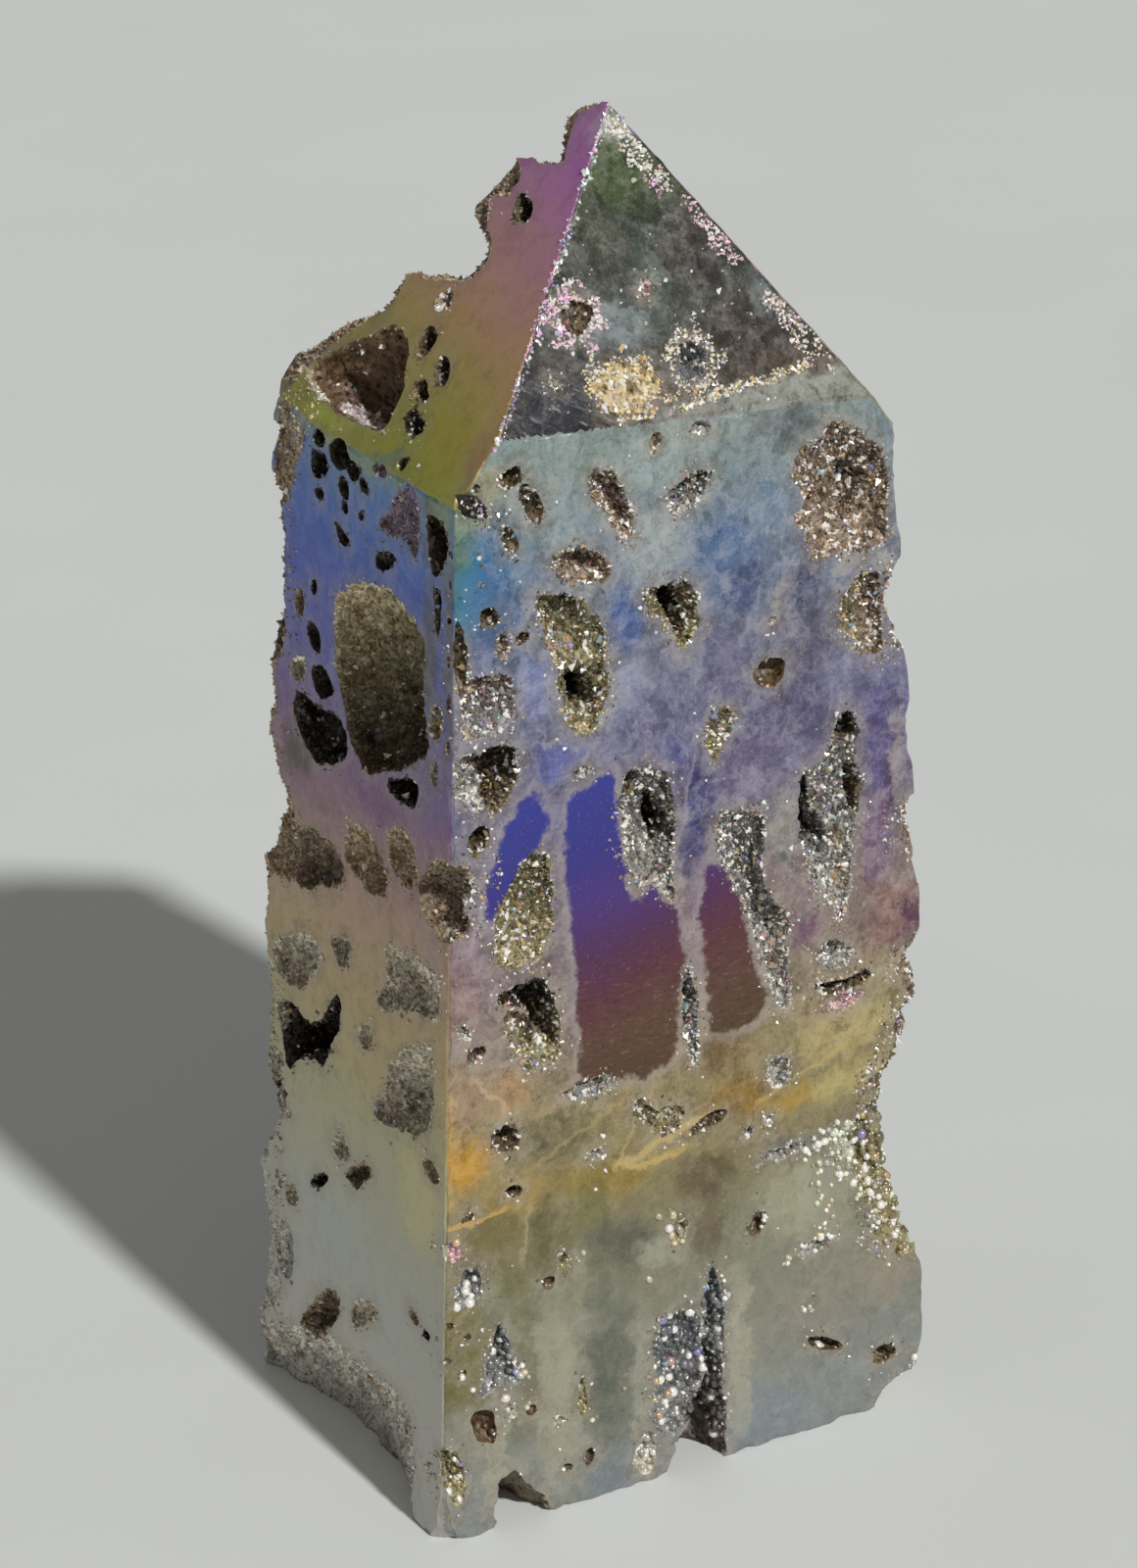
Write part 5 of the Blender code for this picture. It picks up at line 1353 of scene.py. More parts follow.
def crystal_points(spots, normals, sizes, dice):
    """Small six-sided points, closed underneath, one standing on each spot."""
    count = len(spots)
    axes, side, across = frames_for(normals, CRYSTAL_LEAN, dice)
    angles = np.arange(6) * math.pi / 3
    reach = sizes[:, None] * dice.uniform(*CRYSTAL_SIDES, (count, 6))
    feet = spots - axes * (CRYSTAL_SUNK * sizes)[:, None]
    ring = feet[:, None] + side[:, None] * (reach * np.cos(angles))[..., None]
    ring = ring + across[:, None] * (reach * np.sin(angles))[..., None]
    skew = (side * dice.normal(size=(count, 1)) + across * dice.normal(size=(count, 1))) * TIP_SKEW
    tips = spots + (axes * dice.uniform(*CRYSTAL_HEIGHT, (count, 1)) + skew) * sizes[:, None]
    pattern = [(i, (i + 1) % 6, 6) for i in range(6)] + [(0, i + 1, i) for i in range(1, 5)]
    return np.concatenate([ring, tips[:, None]], axis=1), pattern


def beads(spots, normals, sizes, dice):
    """Small round lumps, each a slightly squashed ball."""
    bm = bmesh.new()
    bmesh.ops.create_icosphere(bm, subdivisions=2, radius=1.0)
    ball = np.array([vert.co[:] for vert in bm.verts])
    pattern = [tuple(vert.index for vert in face.verts) for face in bm.faces]
    bm.free()
    axes, side, across = frames_for(normals, BEAD_LEAN, dice)
    squash = dice.uniform(*BEAD_SQUASH, (len(spots), 3))
    shaped = ball[None] * squash[:, None] * sizes[:, None, None]
    points = spots[:, None] + shaped[..., :1] * side[:, None] + shaped[..., 1:2] * across[:, None]
    return points + shaped[..., 2:] * axes[:, None], pattern


def side_of(points):
    """The name of the sawn plane nearest each point."""
    return np.array(list(CUTS))[outsides(points).argmax(axis=1)]


def cut_by(kind, *names):
    """Which triangles lie on the named sawn planes."""
    return np.isin(kind, [list(CUTS).index(name) for name in names])


def patches_at(spots, size):
    """Smooth noise at spots, in patches of the given size."""
    return np.array([noise.noise(Vector(spot / size)) for spot in spots])


def on_thin_arris(points):
    """The narrow worn strips along the arrises, which carry no crystals."""
    away = np.sort(outsides(points), axis=1)
    return (away[:, -1] > -THIN_ARRIS[0]) & (away[:, -2] > -THIN_ARRIS[1])


def grow(name, spots, normals, tones, kind, seed):
    """Stands grains of one kind on spots, as one piece."""
    maker, size, proud, smooth = kind
    dice = np.random.default_rng(seed)
    widest = WIDEST_BEAD if smooth else WIDEST_CRYSTAL
    sizes = size * dice.lognormal(0.0, SIZE_SPREAD, len(spots)).clip(SMALLEST, widest)
    points, pattern = maker(spots, normals, sizes, dice)
    kept = within_stone(points, proud)
    return grain_mesh(name, points[kept], tones[kept], pattern, smooth)


def crumbled(points):
    """Inside a hollow that is only a crumbled rim."""
    gap, number = nearest_hollow(points)
    rims = np.array([hollow.upper == TONES["crumb"][0] for hollow in ALL_HOLLOWS])
    return rims[number] & (gap < BREAK_GAP)


def on_break(points):
    """Rough stone that lines no hollow, or only a crumbled rim."""
    return (nearest_hollow(points)[0] > BREAK_GAP) | crumbled(points)


def line_hollows(vertices, triangles):
    """The crystals in the hollows and on the broken side of the point."""
    centres = vertices[triangles].mean(axis=1)
    side = side_of(centres)
    x, z = centres[:, 0], centres[:, 2]
    facet = np.isin(side, ["left_facet", "front_facet", "right_facet", "back_facet"])
    left = side == "left"
    front = side == "front"
    low = z < FOOT_HEIGHT
    broken = facet & on_break(centres)
    smooth_tip = (z > SMOOTH_TIP[0]) & (CUTS["left_facet"].outside(centres) > -SMOOTH_TIP[1])
    regions = {
        "druse_left": left,
        "druse_point": facet & ~broken,
        "druse_front_left": front & ~low & (x < FRONT_SPLIT),
        "druse_front_right": front & ~low & (x >= FRONT_SPLIT),
        "druse_foot": front & low,
        "druse_back": ~left & ~facet & ~front & (side != "base"),
        "druse_break": broken & ~smooth_tip,
    }
    pieces = {}
    for name, (maker, spacing, size, proud, smooth) in GRAIN_KINDS.items():
        seed = len(pieces) + DRUSE_SEED
        spots, normals = grain_spots(vertices, triangles[regions[name]], spacing, seed)
        tones, share, _ = tones_at(spots)
        grown = np.random.default_rng(seed + LUCK_STEP).random(len(spots)) < share
        kind = (maker, size, proud, smooth)
        pieces[name] = grow(name, spots[grown], normals[grown], tones[grown], kind, seed + GROWTH_STEP)
    return pieces


def crumble_rims(vertices, triangles, kind, to_rim):
    """Small crystals strewn on the polished faces, thick at the rims of the hollows, soon thinning out."""
    near = cut_by(kind, "front", "left", "left_facet", "front_facet")
    near &= to_rim[triangles].mean(axis=1) < CRUMB_REACH
    on_left = cut_by(kind, "left", "left_facet")
    grain = (crystal_points, CRUMB_SIZE, CRUMB_PROUD, False)
    pieces = {}
    for name, chosen, thick in (("crumbs_left", near & on_left, 0.3), ("crumbs_front", near & ~on_left, 1.0)):
        seed = len(pieces) + CRUMB_SEED
        spots, normals = grain_spots(vertices, triangles[chosen], CRUMB_SPACING, seed)
        tones, share, gap = tones_at(spots)
        patchy = patches_at(spots, CRUMB_PATCH)
        odds = thick * np.exp(-np.maximum(gap, 0) / CRUMB_FADE) * (CRUMB_SHARE + CRUMB_PATCHINESS * patchy)
        odds *= np.minimum(1.0, share + 0.3)
        tones = 0.5 * tones + 0.5 * np.array(srgb(*CRUMB_TONE))
        grown = np.random.default_rng(seed + LUCK_STEP).random(len(spots)) < odds
        pieces[name] = grow(name, spots[grown], normals[grown], tones[grown], grain, seed + GROWTH_STEP)
    return pieces


def strewn(vertices, triangles, spacing, patches, stray, seed):
    """Spots for crystals in patches on a sawn face, with a few strays: points, normals and colours."""
    spots, normals = grain_spots(vertices, triangles, spacing, seed)
    luck = np.random.default_rng(seed + 1).random(len(spots))
    odds = np.full(len(spots), stray)
    tones = np.tile(srgb(*STRAY_TONE), (len(spots), 1))
    patchy = patches_at(spots, STREWN_PATCH)
    for across, up, half_across, half_up, lean, tone, thick, bare in patches:
        turn = math.radians(lean)
        x, z = spots[:, 0] - across, spots[:, 2] - up
        long = (-x * math.sin(turn) + z * math.cos(turn)) / half_up
        wide = (x * math.cos(turn) + z * math.sin(turn)) / half_across
        reach = np.hypot(long, wide)
        cover = thick * np.clip(OUTER_EDGE * (PATCH_END - reach + TONGUES * patchy), 0, 1)
        cover *= np.clip(INNER_EDGE * (reach - bare), LEAST_STREWN, 1)
        better = cover > odds
        odds[better] = cover[better]
        tones[better] = srgb(*tone)
    grown = luck < odds
    return spots[grown], normals[grown], tones[grown]


def frost_point(vertices, triangles, kind):
    """Bright crystals in patches on the point, and in a line along its left arris."""
    front = triangles[cut_by(kind, "front_facet")]
    spots, normals, tones = strewn(vertices, front, FROST_SPACING, FROST, STRAY_FROST, FROST_SEED)
    centres = vertices[triangles].mean(axis=1)
    along = centres[:, 2] > FRONT_FACET_FOOT - 1
    for name in ("front_facet", "left_facet"):
        along &= np.abs(CUTS[name].outside(centres)) < ROW_REACH
    row, row_normals = grain_spots(vertices, triangles[along], ROW_SPACING, ROW_SEED)
    heights, colours = zip(*ROW_TONES)
    colours = np.array([srgb(*colour) for colour in colours])
    row_tones = np.stack([np.interp(row[:, 2], heights, colours[:, k]) for k in range(3)], axis=1)
    spots = np.vstack([spots, row])
    normals = np.vstack([normals, row_normals])
    tones = np.vstack([tones, row_tones])
    grain = (crystal_points, FROST_SIZE, FROST_PROUD, False)
    return grow("frost", spots, normals, tones, grain, FROST_GROWTH_SEED)


def bead_front(vertices, triangles, kind):
    """Round grains strewn on the lower front beside the right arris and around the slots."""
    front = triangles[cut_by(kind, "front")]
    centres = vertices[front].mean(axis=1)
    low = front[centres[:, 2] < FOOT_HEIGHT + 1]
    spots, normals, tones = strewn(vertices, low, STREWN_SPACING, STREWN_BEADS, STRAY_BEADS, BEAD_SEED)
    grain = (beads, STREWN_SIZE, STREWN_PROUD, True)
    return grow("beads_front", spots, normals, tones, grain, BEAD_GROWTH_SEED)


# The crystals of each piece: kind, spacing, half size, how far they may stand proud, in millimetres, and
# whether they are round
GRAIN_KINDS = {
    "druse_left": (crystal_points, 0.262, 0.155, 0.14, False),
    "druse_point": (crystal_points, 0.28, 0.17, 0.16, False),
    "druse_front_left": (crystal_points, 0.23, 0.15, 0.16, False),
    "druse_front_right": (crystal_points, 0.23, 0.15, 0.16, False),
    "druse_foot": (beads, 0.46, 0.25, 0.2, True),
    "druse_back": (crystal_points, 0.42, 0.26, 0.14, False),
    "druse_break": (crystal_points, 0.28, 0.15, 0.12, False),
}
# The front's linings are round below this height, and parted left and right at this place
FOOT_HEIGHT = 23.9
FRONT_SPLIT = 2.0
# Rough stone further than this from every hollow belongs to the break, whose edge is bare of crystals
# above a height, down to a depth
BREAK_GAP = 0.4
SMOOTH_TIP = (90.3, 0.8)
# How far the narrow worn strips lie below their first and second plane
THIN_ARRIS = (0.4, 0.55)

# How grains are spread: spots drawn for each grid cell, of which one stays, the spread of the sizes and
# their limits as shares of the usual size, and the gap kept to the box of the solids
SPOTS_PER_CELL = 2.6
SIZE_SPREAD = 0.38
SMALLEST = 0.5
WIDEST_BEAD = 1.7
WIDEST_CRYSTAL = 2.2
BOX_MARGIN = 0.01
# Shapes of the grains, as shares of their half size: how far they lean, how uneven their sides are, how deep
# they are sunk, how tall they stand and how far their tips lie aside
CRYSTAL_LEAN = 0.5
CRYSTAL_SIDES = (0.75, 1.15)
CRYSTAL_SUNK = 0.35
CRYSTAL_HEIGHT = (0.8, 1.5)
TIP_SKEW = 0.3
BEAD_LEAN = 0.2
BEAD_SQUASH = (0.75, 1.1)

# Seeds of the random draws, the same each run
DRUSE_SEED = 11
CRUMB_SEED = 31
FROST_SEED = 41
ROW_SEED = 43
FROST_GROWTH_SEED = 44
BEAD_SEED = 46
BEAD_GROWTH_SEED = 48
LUCK_STEP = 50
GROWTH_STEP = 100

# Crumbs around the rims: how far they reach, how fast they thin out, how wide their patches are, and their
# usual share and how much the patches change it
CRUMB_REACH = 1.5
CRUMB_SPACING = 0.24
CRUMB_FADE = 0.3
CRUMB_PATCH = 1.4
CRUMB_SHARE = 0.75
CRUMB_PATCHINESS = 1.3
CRUMB_SIZE = 0.095
CRUMB_PROUD = 0.2
CRUMB_TONE = (186, 174, 152)

# Bright crystals on the point, the row along its left arris, and the share of strays between the patches
FROST_SPACING = 0.2
FROST_SIZE = 0.115
FROST_PROUD = 0.24
ROW_SPACING = 0.3
ROW_REACH = 0.3
STRAY_FROST = 0.012
STRAY_TONE = (200, 190, 176)

# Round grains on the lower front
STREWN_SPACING = 0.44
STREWN_SIZE = 0.22
STREWN_PROUD = 0.3
STRAY_BEADS = 0.003

# The edges of the strewn patches: how wide their tongues are, how far out the patches end as a share of
# their size, how far the tongues reach, how firm the outer and inner edges are, and how much of a bare
# middle is still strewn
STREWN_PATCH = 0.9
PATCH_END = 1.15
TONGUES = 0.7
OUTER_EDGE = 3.0
INNER_EDGE = 5
LEAST_STREWN = 0.1

# Patches of round grains on the lower front, and of bright crystals on the point:
# (across, up, half width, half height, lean, colour, how thick, how much of the middle is bare)
STREWN_BEADS = [
    (8.2, 22.8, 2.4, 0.5, 8, (184, 186, 176), 0.9, 0.0),
    (11.4, 22.4, 1.9, 1.3, 0, (212, 214, 200), 0.75, 0.0),
    (11.0, 19.4, 1.1, 2.2, 0, (206, 206, 186), 0.75, 0.0),
    (13.4, 19.4, 1.7, 2.6, 0, (200, 198, 176), 0.5, 0.0),
    (11.2, 16.4, 0.9, 1.6, -20, (200, 196, 172), 0.6, 0.0),
    (9.6, 14.4, 1.6, 0.6, 12, (196, 192, 172), 0.8, 0.0),
    (15.4, 16.0, 0.6, 4.6, 12, (206, 200, 172), 0.8, 0.0),
    # One near-white bead in the glint pit: a painted highlight.
    (16.0, 3.3, 0.4, 0.4, 0, (250, 250, 244), 1.0, 0.0),
    (-0.9, 18.6, 0.5, 1.6, 20, (190, 184, 150), 0.6, 0.0),
    (-2.0, 20.2, 0.9, 0.5, 0, (186, 184, 160), 0.5, 0.0),
    (-13.2, 11.2, 0.6, 1.8, 24, (190, 192, 186), 0.5, 0.0),
    (-8.0, 6.2, 0.3, 2.6, 0, (196, 190, 164), 0.6, 0.0),
    (-10.6, 6.2, 0.4, 1.4, 0, (190, 188, 172), 0.4, 0.0),
    (2.6, 10.0, 0.5, 5.4, -6, (170, 168, 160), 0.5, 0.0),
    (-3.4, 3.6, 0.9, 2.4, 0, (184, 182, 168), 0.5, 0.0),
    (-19.2, 5.6, 0.7, 2.8, 10, (200, 186, 130), 0.6, 0.0),
]
# The near-white, pink and gold colours of these crystals on the point are painted glints.
FROST = [
    (-6.0, 83.6, 2.3, 1.8, 15, (246, 206, 234), 1.0, 0.2),
    (-3.2, 78.8, 2.7, 2.0, -14, (240, 216, 160), 1.0, 0.0),
    (2.0, 79.7, 2.2, 1.9, 0, (232, 222, 198), 1.0, 0.55),
    (1.4, 92.4, 0.9, 3.2, 36, (236, 232, 222), 1.0, 0.0),
    (3.0, 90.2, 1.1, 1.0, 36, (236, 190, 226), 0.9, 0.0),
    (6.1, 86.6, 0.7, 2.4, 36, (236, 200, 214), 1.0, 0.0),
    (9.7, 81.6, 0.9, 1.7, 36, (236, 218, 214), 0.9, 0.0),
    (11.2, 79.2, 1.1, 1.7, 36, (236, 224, 208), 0.7, 0.0),
    (6.0, 77.8, 7.4, 0.3, 5, (240, 216, 168), 1.0, 0.0),
    (-8.0, 76.9, 4.6, 0.3, -4, (232, 206, 176), 0.9, 0.0),
]

# The crystals along the left arris of the point: (height, colour); the film's colours made pale as painted
# glints
ROW_TONES = [
    (76.0, (222, 176, 190)), (80.0, (196, 170, 226)), (84.0, (226, 180, 222)), (88.0, (196, 190, 236)),
    (91.0, (206, 232, 240)), (95.0, (232, 240, 240)),
]


class Look:
    """Short calls for making one material's nodes."""

    def __init__(self, name):
        self.material = bpy.data.materials.new(name)
        self.material.use_nodes = True
        self.tree = self.material.node_tree
        self.tree.nodes.clear()

    def node(self, kind, inputs=None, **settings):
        """A new node with its settings and inputs, which are values or other nodes' outputs."""
        node = self.tree.nodes.new(kind)
        for key, value in settings.items():
            setattr(node, key, value)
        for key, value in (inputs or {}).items():
            if isinstance(value, bpy.types.NodeSocket):
                self.tree.links.new(value, node.inputs[key])
            else:
                node.inputs[key].default_value = value
        return node

    def maths(self, operation, first, second=0.0):
        """One sum, product or other operation on numbers."""
        return self.node("ShaderNodeMath", {0: first, 1: second}, operation=operation).outputs[0]

    def vector(self, operation, first, second=(0.0, 0.0, 0.0)):
        """One operation on vectors."""
        return self.node("ShaderNodeVectorMath", {0: first, 1: second}, operation=operation).outputs[0]

    def scaled(self, vector, amount):
        return self.node("ShaderNodeVectorMath", {0: vector, 3: amount}, operation="SCALE").outputs[0]

    def stretched(self, place, scale, shift):
        """A place times a scale, plus a shift."""
        inputs = {0: place, 1: scale, 2: shift}
        return self.node("ShaderNodeVectorMath", inputs, operation="MULTIPLY_ADD").outputs[0]

    def place(self):
        """Where the surface is, in millimetres."""
        coordinates = self.node("ShaderNodeTexCoord").outputs["Object"]
        return self.scaled(coordinates, 1 / MM)

    def split(self, vector):
        """A vector's three parts."""
        return self.node("ShaderNodeSeparateXYZ", {0: vector}).outputs

    def noise(self, place, scale, detail=3.0, rough=0.55, output="Fac"):
        inputs = {"Vector": place, "Scale": scale, "Detail": detail, "Roughness": rough}
        return self.node("ShaderNodeTexNoise", inputs).outputs[output]

    def drift(self, place, pattern):
        """Noise vectors about zero."""
        return self.vector("SUBTRACT", self.noise(place, *pattern, output="Color"), (0.5, 0.5, 0.5))

    def drifted(self, place, drift, amount):
        """A place moved along a drift."""
        return self.vector("ADD", place, self.scaled(drift, amount))

    def shuffled(self, value, factor):
        """Another random share of 0 to 1, made from a random value."""
        return self.maths("FRACT", self.maths("MULTIPLY", value, factor))

    def cells(self, place, scale, output="Color", feature="F1"):
        inputs = {"Vector": place, "Scale": scale}
        return self.node("ShaderNodeTexVoronoi", inputs, feature=feature).outputs[output]

    def between(self, value, low, high, top=1.0):
        """Zero at low and top at high, eased between them."""
        inputs = {"Value": value, "From Min": low, "From Max": high, "To Max": top}
        node = self.node("ShaderNodeMapRange", inputs, interpolation_type="SMOOTHSTEP")
        return node.outputs["Result"]

    def spread(self, value, ends):
        """From the first end to the second, as a value goes from 0 to 1."""
        inputs = {"Value": value, "To Min": ends[0], "To Max": ends[1]}
        return self.node("ShaderNodeMapRange", inputs).outputs["Result"]

    def mixed(self, share, first, second, blend="MIX"):
        node = self.node("ShaderNodeMix", {0: share, 6: first, 7: second}, data_type="RGBA", blend_type=blend)
        return node.outputs[2]

    def attribute(self, name):
        """A number kept at each vertex."""
        return self.node("ShaderNodeAttribute", attribute_name=name).outputs["Fac"]

    def tone(self):
        """The lining colour kept at each vertex."""
        return self.node("ShaderNodeAttribute", attribute_name="tone").outputs["Color"]

    def ramp(self, factor, stops):
        """A colour ramp over 0 to 1, from (place, colour) stops."""
        node = self.node("ShaderNodeValToRGB", {0: factor})
        band = node.color_ramp
        while len(band.elements) < len(stops):
            band.elements.new(0.5)
        for element, (position, colour) in zip(band.elements, stops):
            element.position = position
        for element, (position, colour) in zip(band.elements, stops):
            element.color = paint(colour)
        return node.outputs["Color"]

    def by_height(self, height, stops):
        """Bands of colour, from (height in millimetres, colour) stops."""
        return self.ramp(self.maths("MULTIPLY", height, 1 / HEIGHT), [(z / HEIGHT, c) for z, c in stops])

    def surface(self, colour, normal=None, **values):
        """Ends the material. An underscore in a value's name stands for a space."""
        inputs = {"Base Color": colour}
        if normal is not None:
            inputs["Normal"] = normal
        inputs.update({key.replace("_", " "): value for key, value in values.items()})
        shader = self.node("ShaderNodeBsdfPrincipled", inputs)
        output = self.node("ShaderNodeOutputMaterial")
        self.tree.links.new(shader.outputs[0], output.inputs["Surface"])
        return self.material


def paint(colour):
    """A screen colour as a shader input."""
    return (*srgb(*colour), 1.0)


# Film colours by height in millimetres
FRONT_BANDS = [
    (0, (122, 126, 124)), (3, (128, 132, 128)), (8, (126, 126, 112)), (13, (128, 127, 110)),
    (18, (122, 120, 94)), (22, (124, 116, 82)), (26, (136, 122, 80)), (30, (138, 124, 82)),
    (33, (146, 128, 96)), (37, (134, 116, 104)), (42, (128, 110, 114)), (48, (112, 104, 130)),
    (52, (104, 100, 136)), (56, (104, 104, 136)), (60, (110, 112, 136)), (65, (106, 120, 144)),
    (69, (110, 126, 146)), (72, (118, 136, 144)), (75, (126, 142, 138)),
]
LEFT_BANDS = [
    (0, (180, 178, 172)), (8, (184, 182, 172)), (15, (180, 180, 168)), (22, (180, 178, 152)),
    (28, (184, 174, 124)), (35, (186, 162, 104)), (40, (186, 154, 112)), (45, (170, 128, 118)),
    (50, (138, 94, 128)), (55, (104, 76, 162)), (60, (66, 76, 184)), (66, (30, 84, 190)),
    (71, (40, 114, 198)), (74, (108, 152, 140)),
]
LEFT_FACET_BANDS = [
    (75.2, (160, 160, 54)), (79.2, (180, 162, 84)), (82.2, (196, 158, 112)), (86.2, (200, 146, 146)),
    (90, (196, 130, 182)), (92.6, (190, 116, 188)), (94, (190, 126, 186)),
]
# The point's film above its foot: its own green and brown, darkened as a painted reflection of dark
# surroundings in the polished facet.
POINT_BANDS = [
    (76, (142, 144, 134)), (76.8, (136, 138, 128)), (77.2, (78, 66, 50)), (79, (54, 48, 40)),
    (83, (62, 66, 58)), (87, (48, 54, 40)), (92, (56, 68, 30)), (95, (110, 115, 100)),
]
BACK_BANDS = [
    (0, (126, 126, 124)), (10, (132, 128, 116)), (20, (128, 120, 92)), (28, (142, 124, 82)),
    (36, (148, 126, 108)), (44, (136, 112, 130)), (52, (112, 102, 150)), (60, (98, 112, 158)),
    (68, (104, 134, 162)), (75, (124, 144, 134)),
]
BACK_FACET_BANDS = [
    (72, (140, 146, 78)), (78, (160, 142, 92)), (84, (168, 122, 120)), (89, (150, 100, 148)),
    (95, (140, 130, 172)),
]

# Clouds of film colour: (across, up, half width, half height, colour, strength)
FRONT_CLOUDS = [
    (-16.4, 72.2, 1.5, 3.0, (116, 148, 118), 0.9),
    (-16.4, 69.0, 1.5, 2.8, (44, 106, 92), 0.9),
    (-15.3, 67.6, 1.7, 3.4, (14, 104, 144), 0.9),
    (-13.8, 64.6, 2.2, 4.0, (34, 78, 138), 0.95),
    (-13.6, 69.6, 2.4, 3.4, (22, 100, 146), 0.9),
    (-15.0, 75.2, 2.2, 1.2, (140, 136, 84), 0.7),
    (-8.4, 71.6, 1.8, 2.6, (132, 150, 156), 0.7),
    (-2.0, 68.8, 2.6, 2.8, (164, 172, 170), 0.8),
    (-2.0, 74.2, 2.6, 1.6, (152, 168, 166), 0.8),
    (-4.4, 64.0, 1.6, 2.6, (66, 92, 150), 0.95),
    (3.4, 67.8, 2.6, 2.8, (68, 100, 144), 0.9),
    (6.4, 69.6, 2.4, 2.6, (98, 124, 146), 0.7),
    (8.6, 75.0, 3.6, 1.8, (96, 106, 108), 0.85),
    (8.4, 63.2, 1.0, 2.0, (132, 124, 120), 0.6),
    (9.8, 63.4, 1.2, 2.4, (58, 66, 100), 0.95),
    (4.2, 64.6, 2.0, 2.0, (66, 84, 126), 0.85),
    (-11.0, 60.6, 1.6, 3.0, (126, 134, 178), 0.8),
    (-4.2, 58.4, 1.8, 1.8, (146, 154, 176), 0.8),
    (-9.4, 55.2, 2.0, 1.2, (92, 96, 164), 0.8),
    (-2.6, 57.0, 2.4, 2.6, (98, 94, 132), 0.7),
    (3.4, 59.4, 2.0, 2.8, (92, 86, 122), 0.7),
    (8.8, 55.2, 3.2, 2.6, (72, 68, 104), 0.85),
    (10.4, 59.8, 2.2, 2.4, (82, 78, 100), 0.8),
    (5.6, 52.6, 2.6, 2.0, (88, 78, 112), 0.7),
    (-0.6, 52.6, 1.0, 2.6, (72, 76, 136), 0.8),
    (0.9, 49.8, 1.5, 4.2, (40, 34, 98), 1.0),
    (15.6, 52.6, 1.8, 3.4, (80, 76, 122), 0.9),
    (16.0, 47.0, 1.5, 4.6, (82, 62, 104), 0.9),
    (8.0, 46.2, 1.1, 3.4, (140, 138, 128), 0.85),
    (9.4, 38.8, 2.2, 1.8, (104, 78, 96), 0.85),
    (9.8, 36.0, 2.0, 1.2, (128, 112, 86), 0.85),
    (15.6, 38.6, 3.0, 2.6, (116, 90, 88), 0.8),
    (17.8, 37.4, 1.3, 2.4, (94, 56, 80), 0.9),
    (-15.8, 42.6, 1.6, 2.6, (134, 108, 116), 0.9),
    (-17.0, 39.6, 1.8, 2.6, (146, 112, 106), 0.9),
    (-8.9, 42.0, 0.8, 9.0, (134, 126, 130), 0.6),
    (1.0, 42.0, 0.5, 6.0, (130, 112, 130), 0.6),
    (-17.2, 33.2, 2.4, 3.0, (154, 126, 96), 0.85),
    (-17.2, 28.0, 2.8, 2.2, (196, 146, 42), 0.95),
    (-10.4, 28.4, 3.6, 1.8, (100, 94, 62), 0.85),
    (-6.4, 24.6, 4.4, 1.4, (140, 118, 40), 0.85),
    (-2.6, 25.6, 3.2, 0.5, (196, 166, 96), 0.8),
    (-13.4, 24.4, 2.6, 1.8, (160, 132, 66), 0.8),
    (4.4, 28.2, 3.8, 1.4, (134, 98, 4), 0.95),
    (-13.6, 32.6, 1.4, 1.8, (184, 142, 92), 0.6),
    (17.2, 12.0, 2.0, 4.0, (150, 134, 114), 0.6),
    (3.0, 31.2, 2.6, 1.4, (112, 84, 40), 0.85),
    (8.4, 26.8, 3.4, 1.1, (162, 130, 34), 0.85),
    (12.6, 30.8, 4.2, 1.8, (176, 158, 106), 0.85),
    (13.0, 26.8, 3.0, 1.5, (176, 162, 102), 0.85),
    (2.0, 23.0, 2.4, 2.2, (88, 78, 46), 0.85),
    (2.2, 18.2, 1.2, 2.0, (92, 76, 58), 0.6),
    (-18.0, 16.6, 2.0, 2.0, (112, 104, 20), 0.9),
    (-17.6, 12.6, 1.7, 2.2, (94, 88, 26), 0.9),
    (-11.6, 20.4, 1.4, 3.0, (92, 86, 54), 0.7),
    (-15.6, 22.4, 2.2, 1.8, (112, 100, 50), 0.7),
    (-7.0, 23.0, 1.6, 2.0, (100, 100, 50), 0.6),
    (-5.0, 19.4, 3.0, 2.2, (84, 86, 70), 0.85),
    (-6.4, 9.0, 1.7, 7.0, (88, 94, 80), 0.9),
    (-6.3, 1.6, 1.8, 1.8, (108, 120, 128), 0.9),
    (7.0, 2.2, 4.4, 2.6, (122, 130, 136), 0.75),
    (4.6, 9.0, 1.3, 5.4, (156, 152, 132), 0.75),
    (8.0, 18.2, 3.2, 2.8, (158, 154, 128), 0.8),
    (9.4, 22.9, 3.2, 0.8, (108, 110, 104), 0.8),
    (11.2, 19.6, 1.3, 2.4, (116, 118, 110), 0.75),
    (12.0, 10.4, 4.6, 4.0, (136, 130, 116), 0.6),
    (-10.8, 9.0, 1.9, 7.6, (160, 154, 130), 0.65),
    (-3.9, 9.0, 0.7, 4.6, (150, 148, 130), 0.7),
    (-1.6, 18.0, 2.4, 1.2, (160, 158, 142), 0.7),
    (-8.8, 17.0, 1.2, 2.2, (146, 142, 118), 0.6),
    (-8.0, 13.6, 2.0, 0.8, (150, 148, 130), 0.6),
    (-6.6, 5.4, 1.6, 0.8, (136, 138, 124), 0.5),
]
# Clouds of the front that lie over its pale mottling
FRONT_VIVID = [
    (-16.5, 69.0, 1.3, 3.0, (56, 108, 84), 0.6),
    (-15.3, 67.6, 1.3, 3.0, (44, 118, 158), 0.65),
    (-14.0, 66.6, 1.3, 2.2, (56, 92, 138), 0.55),
]
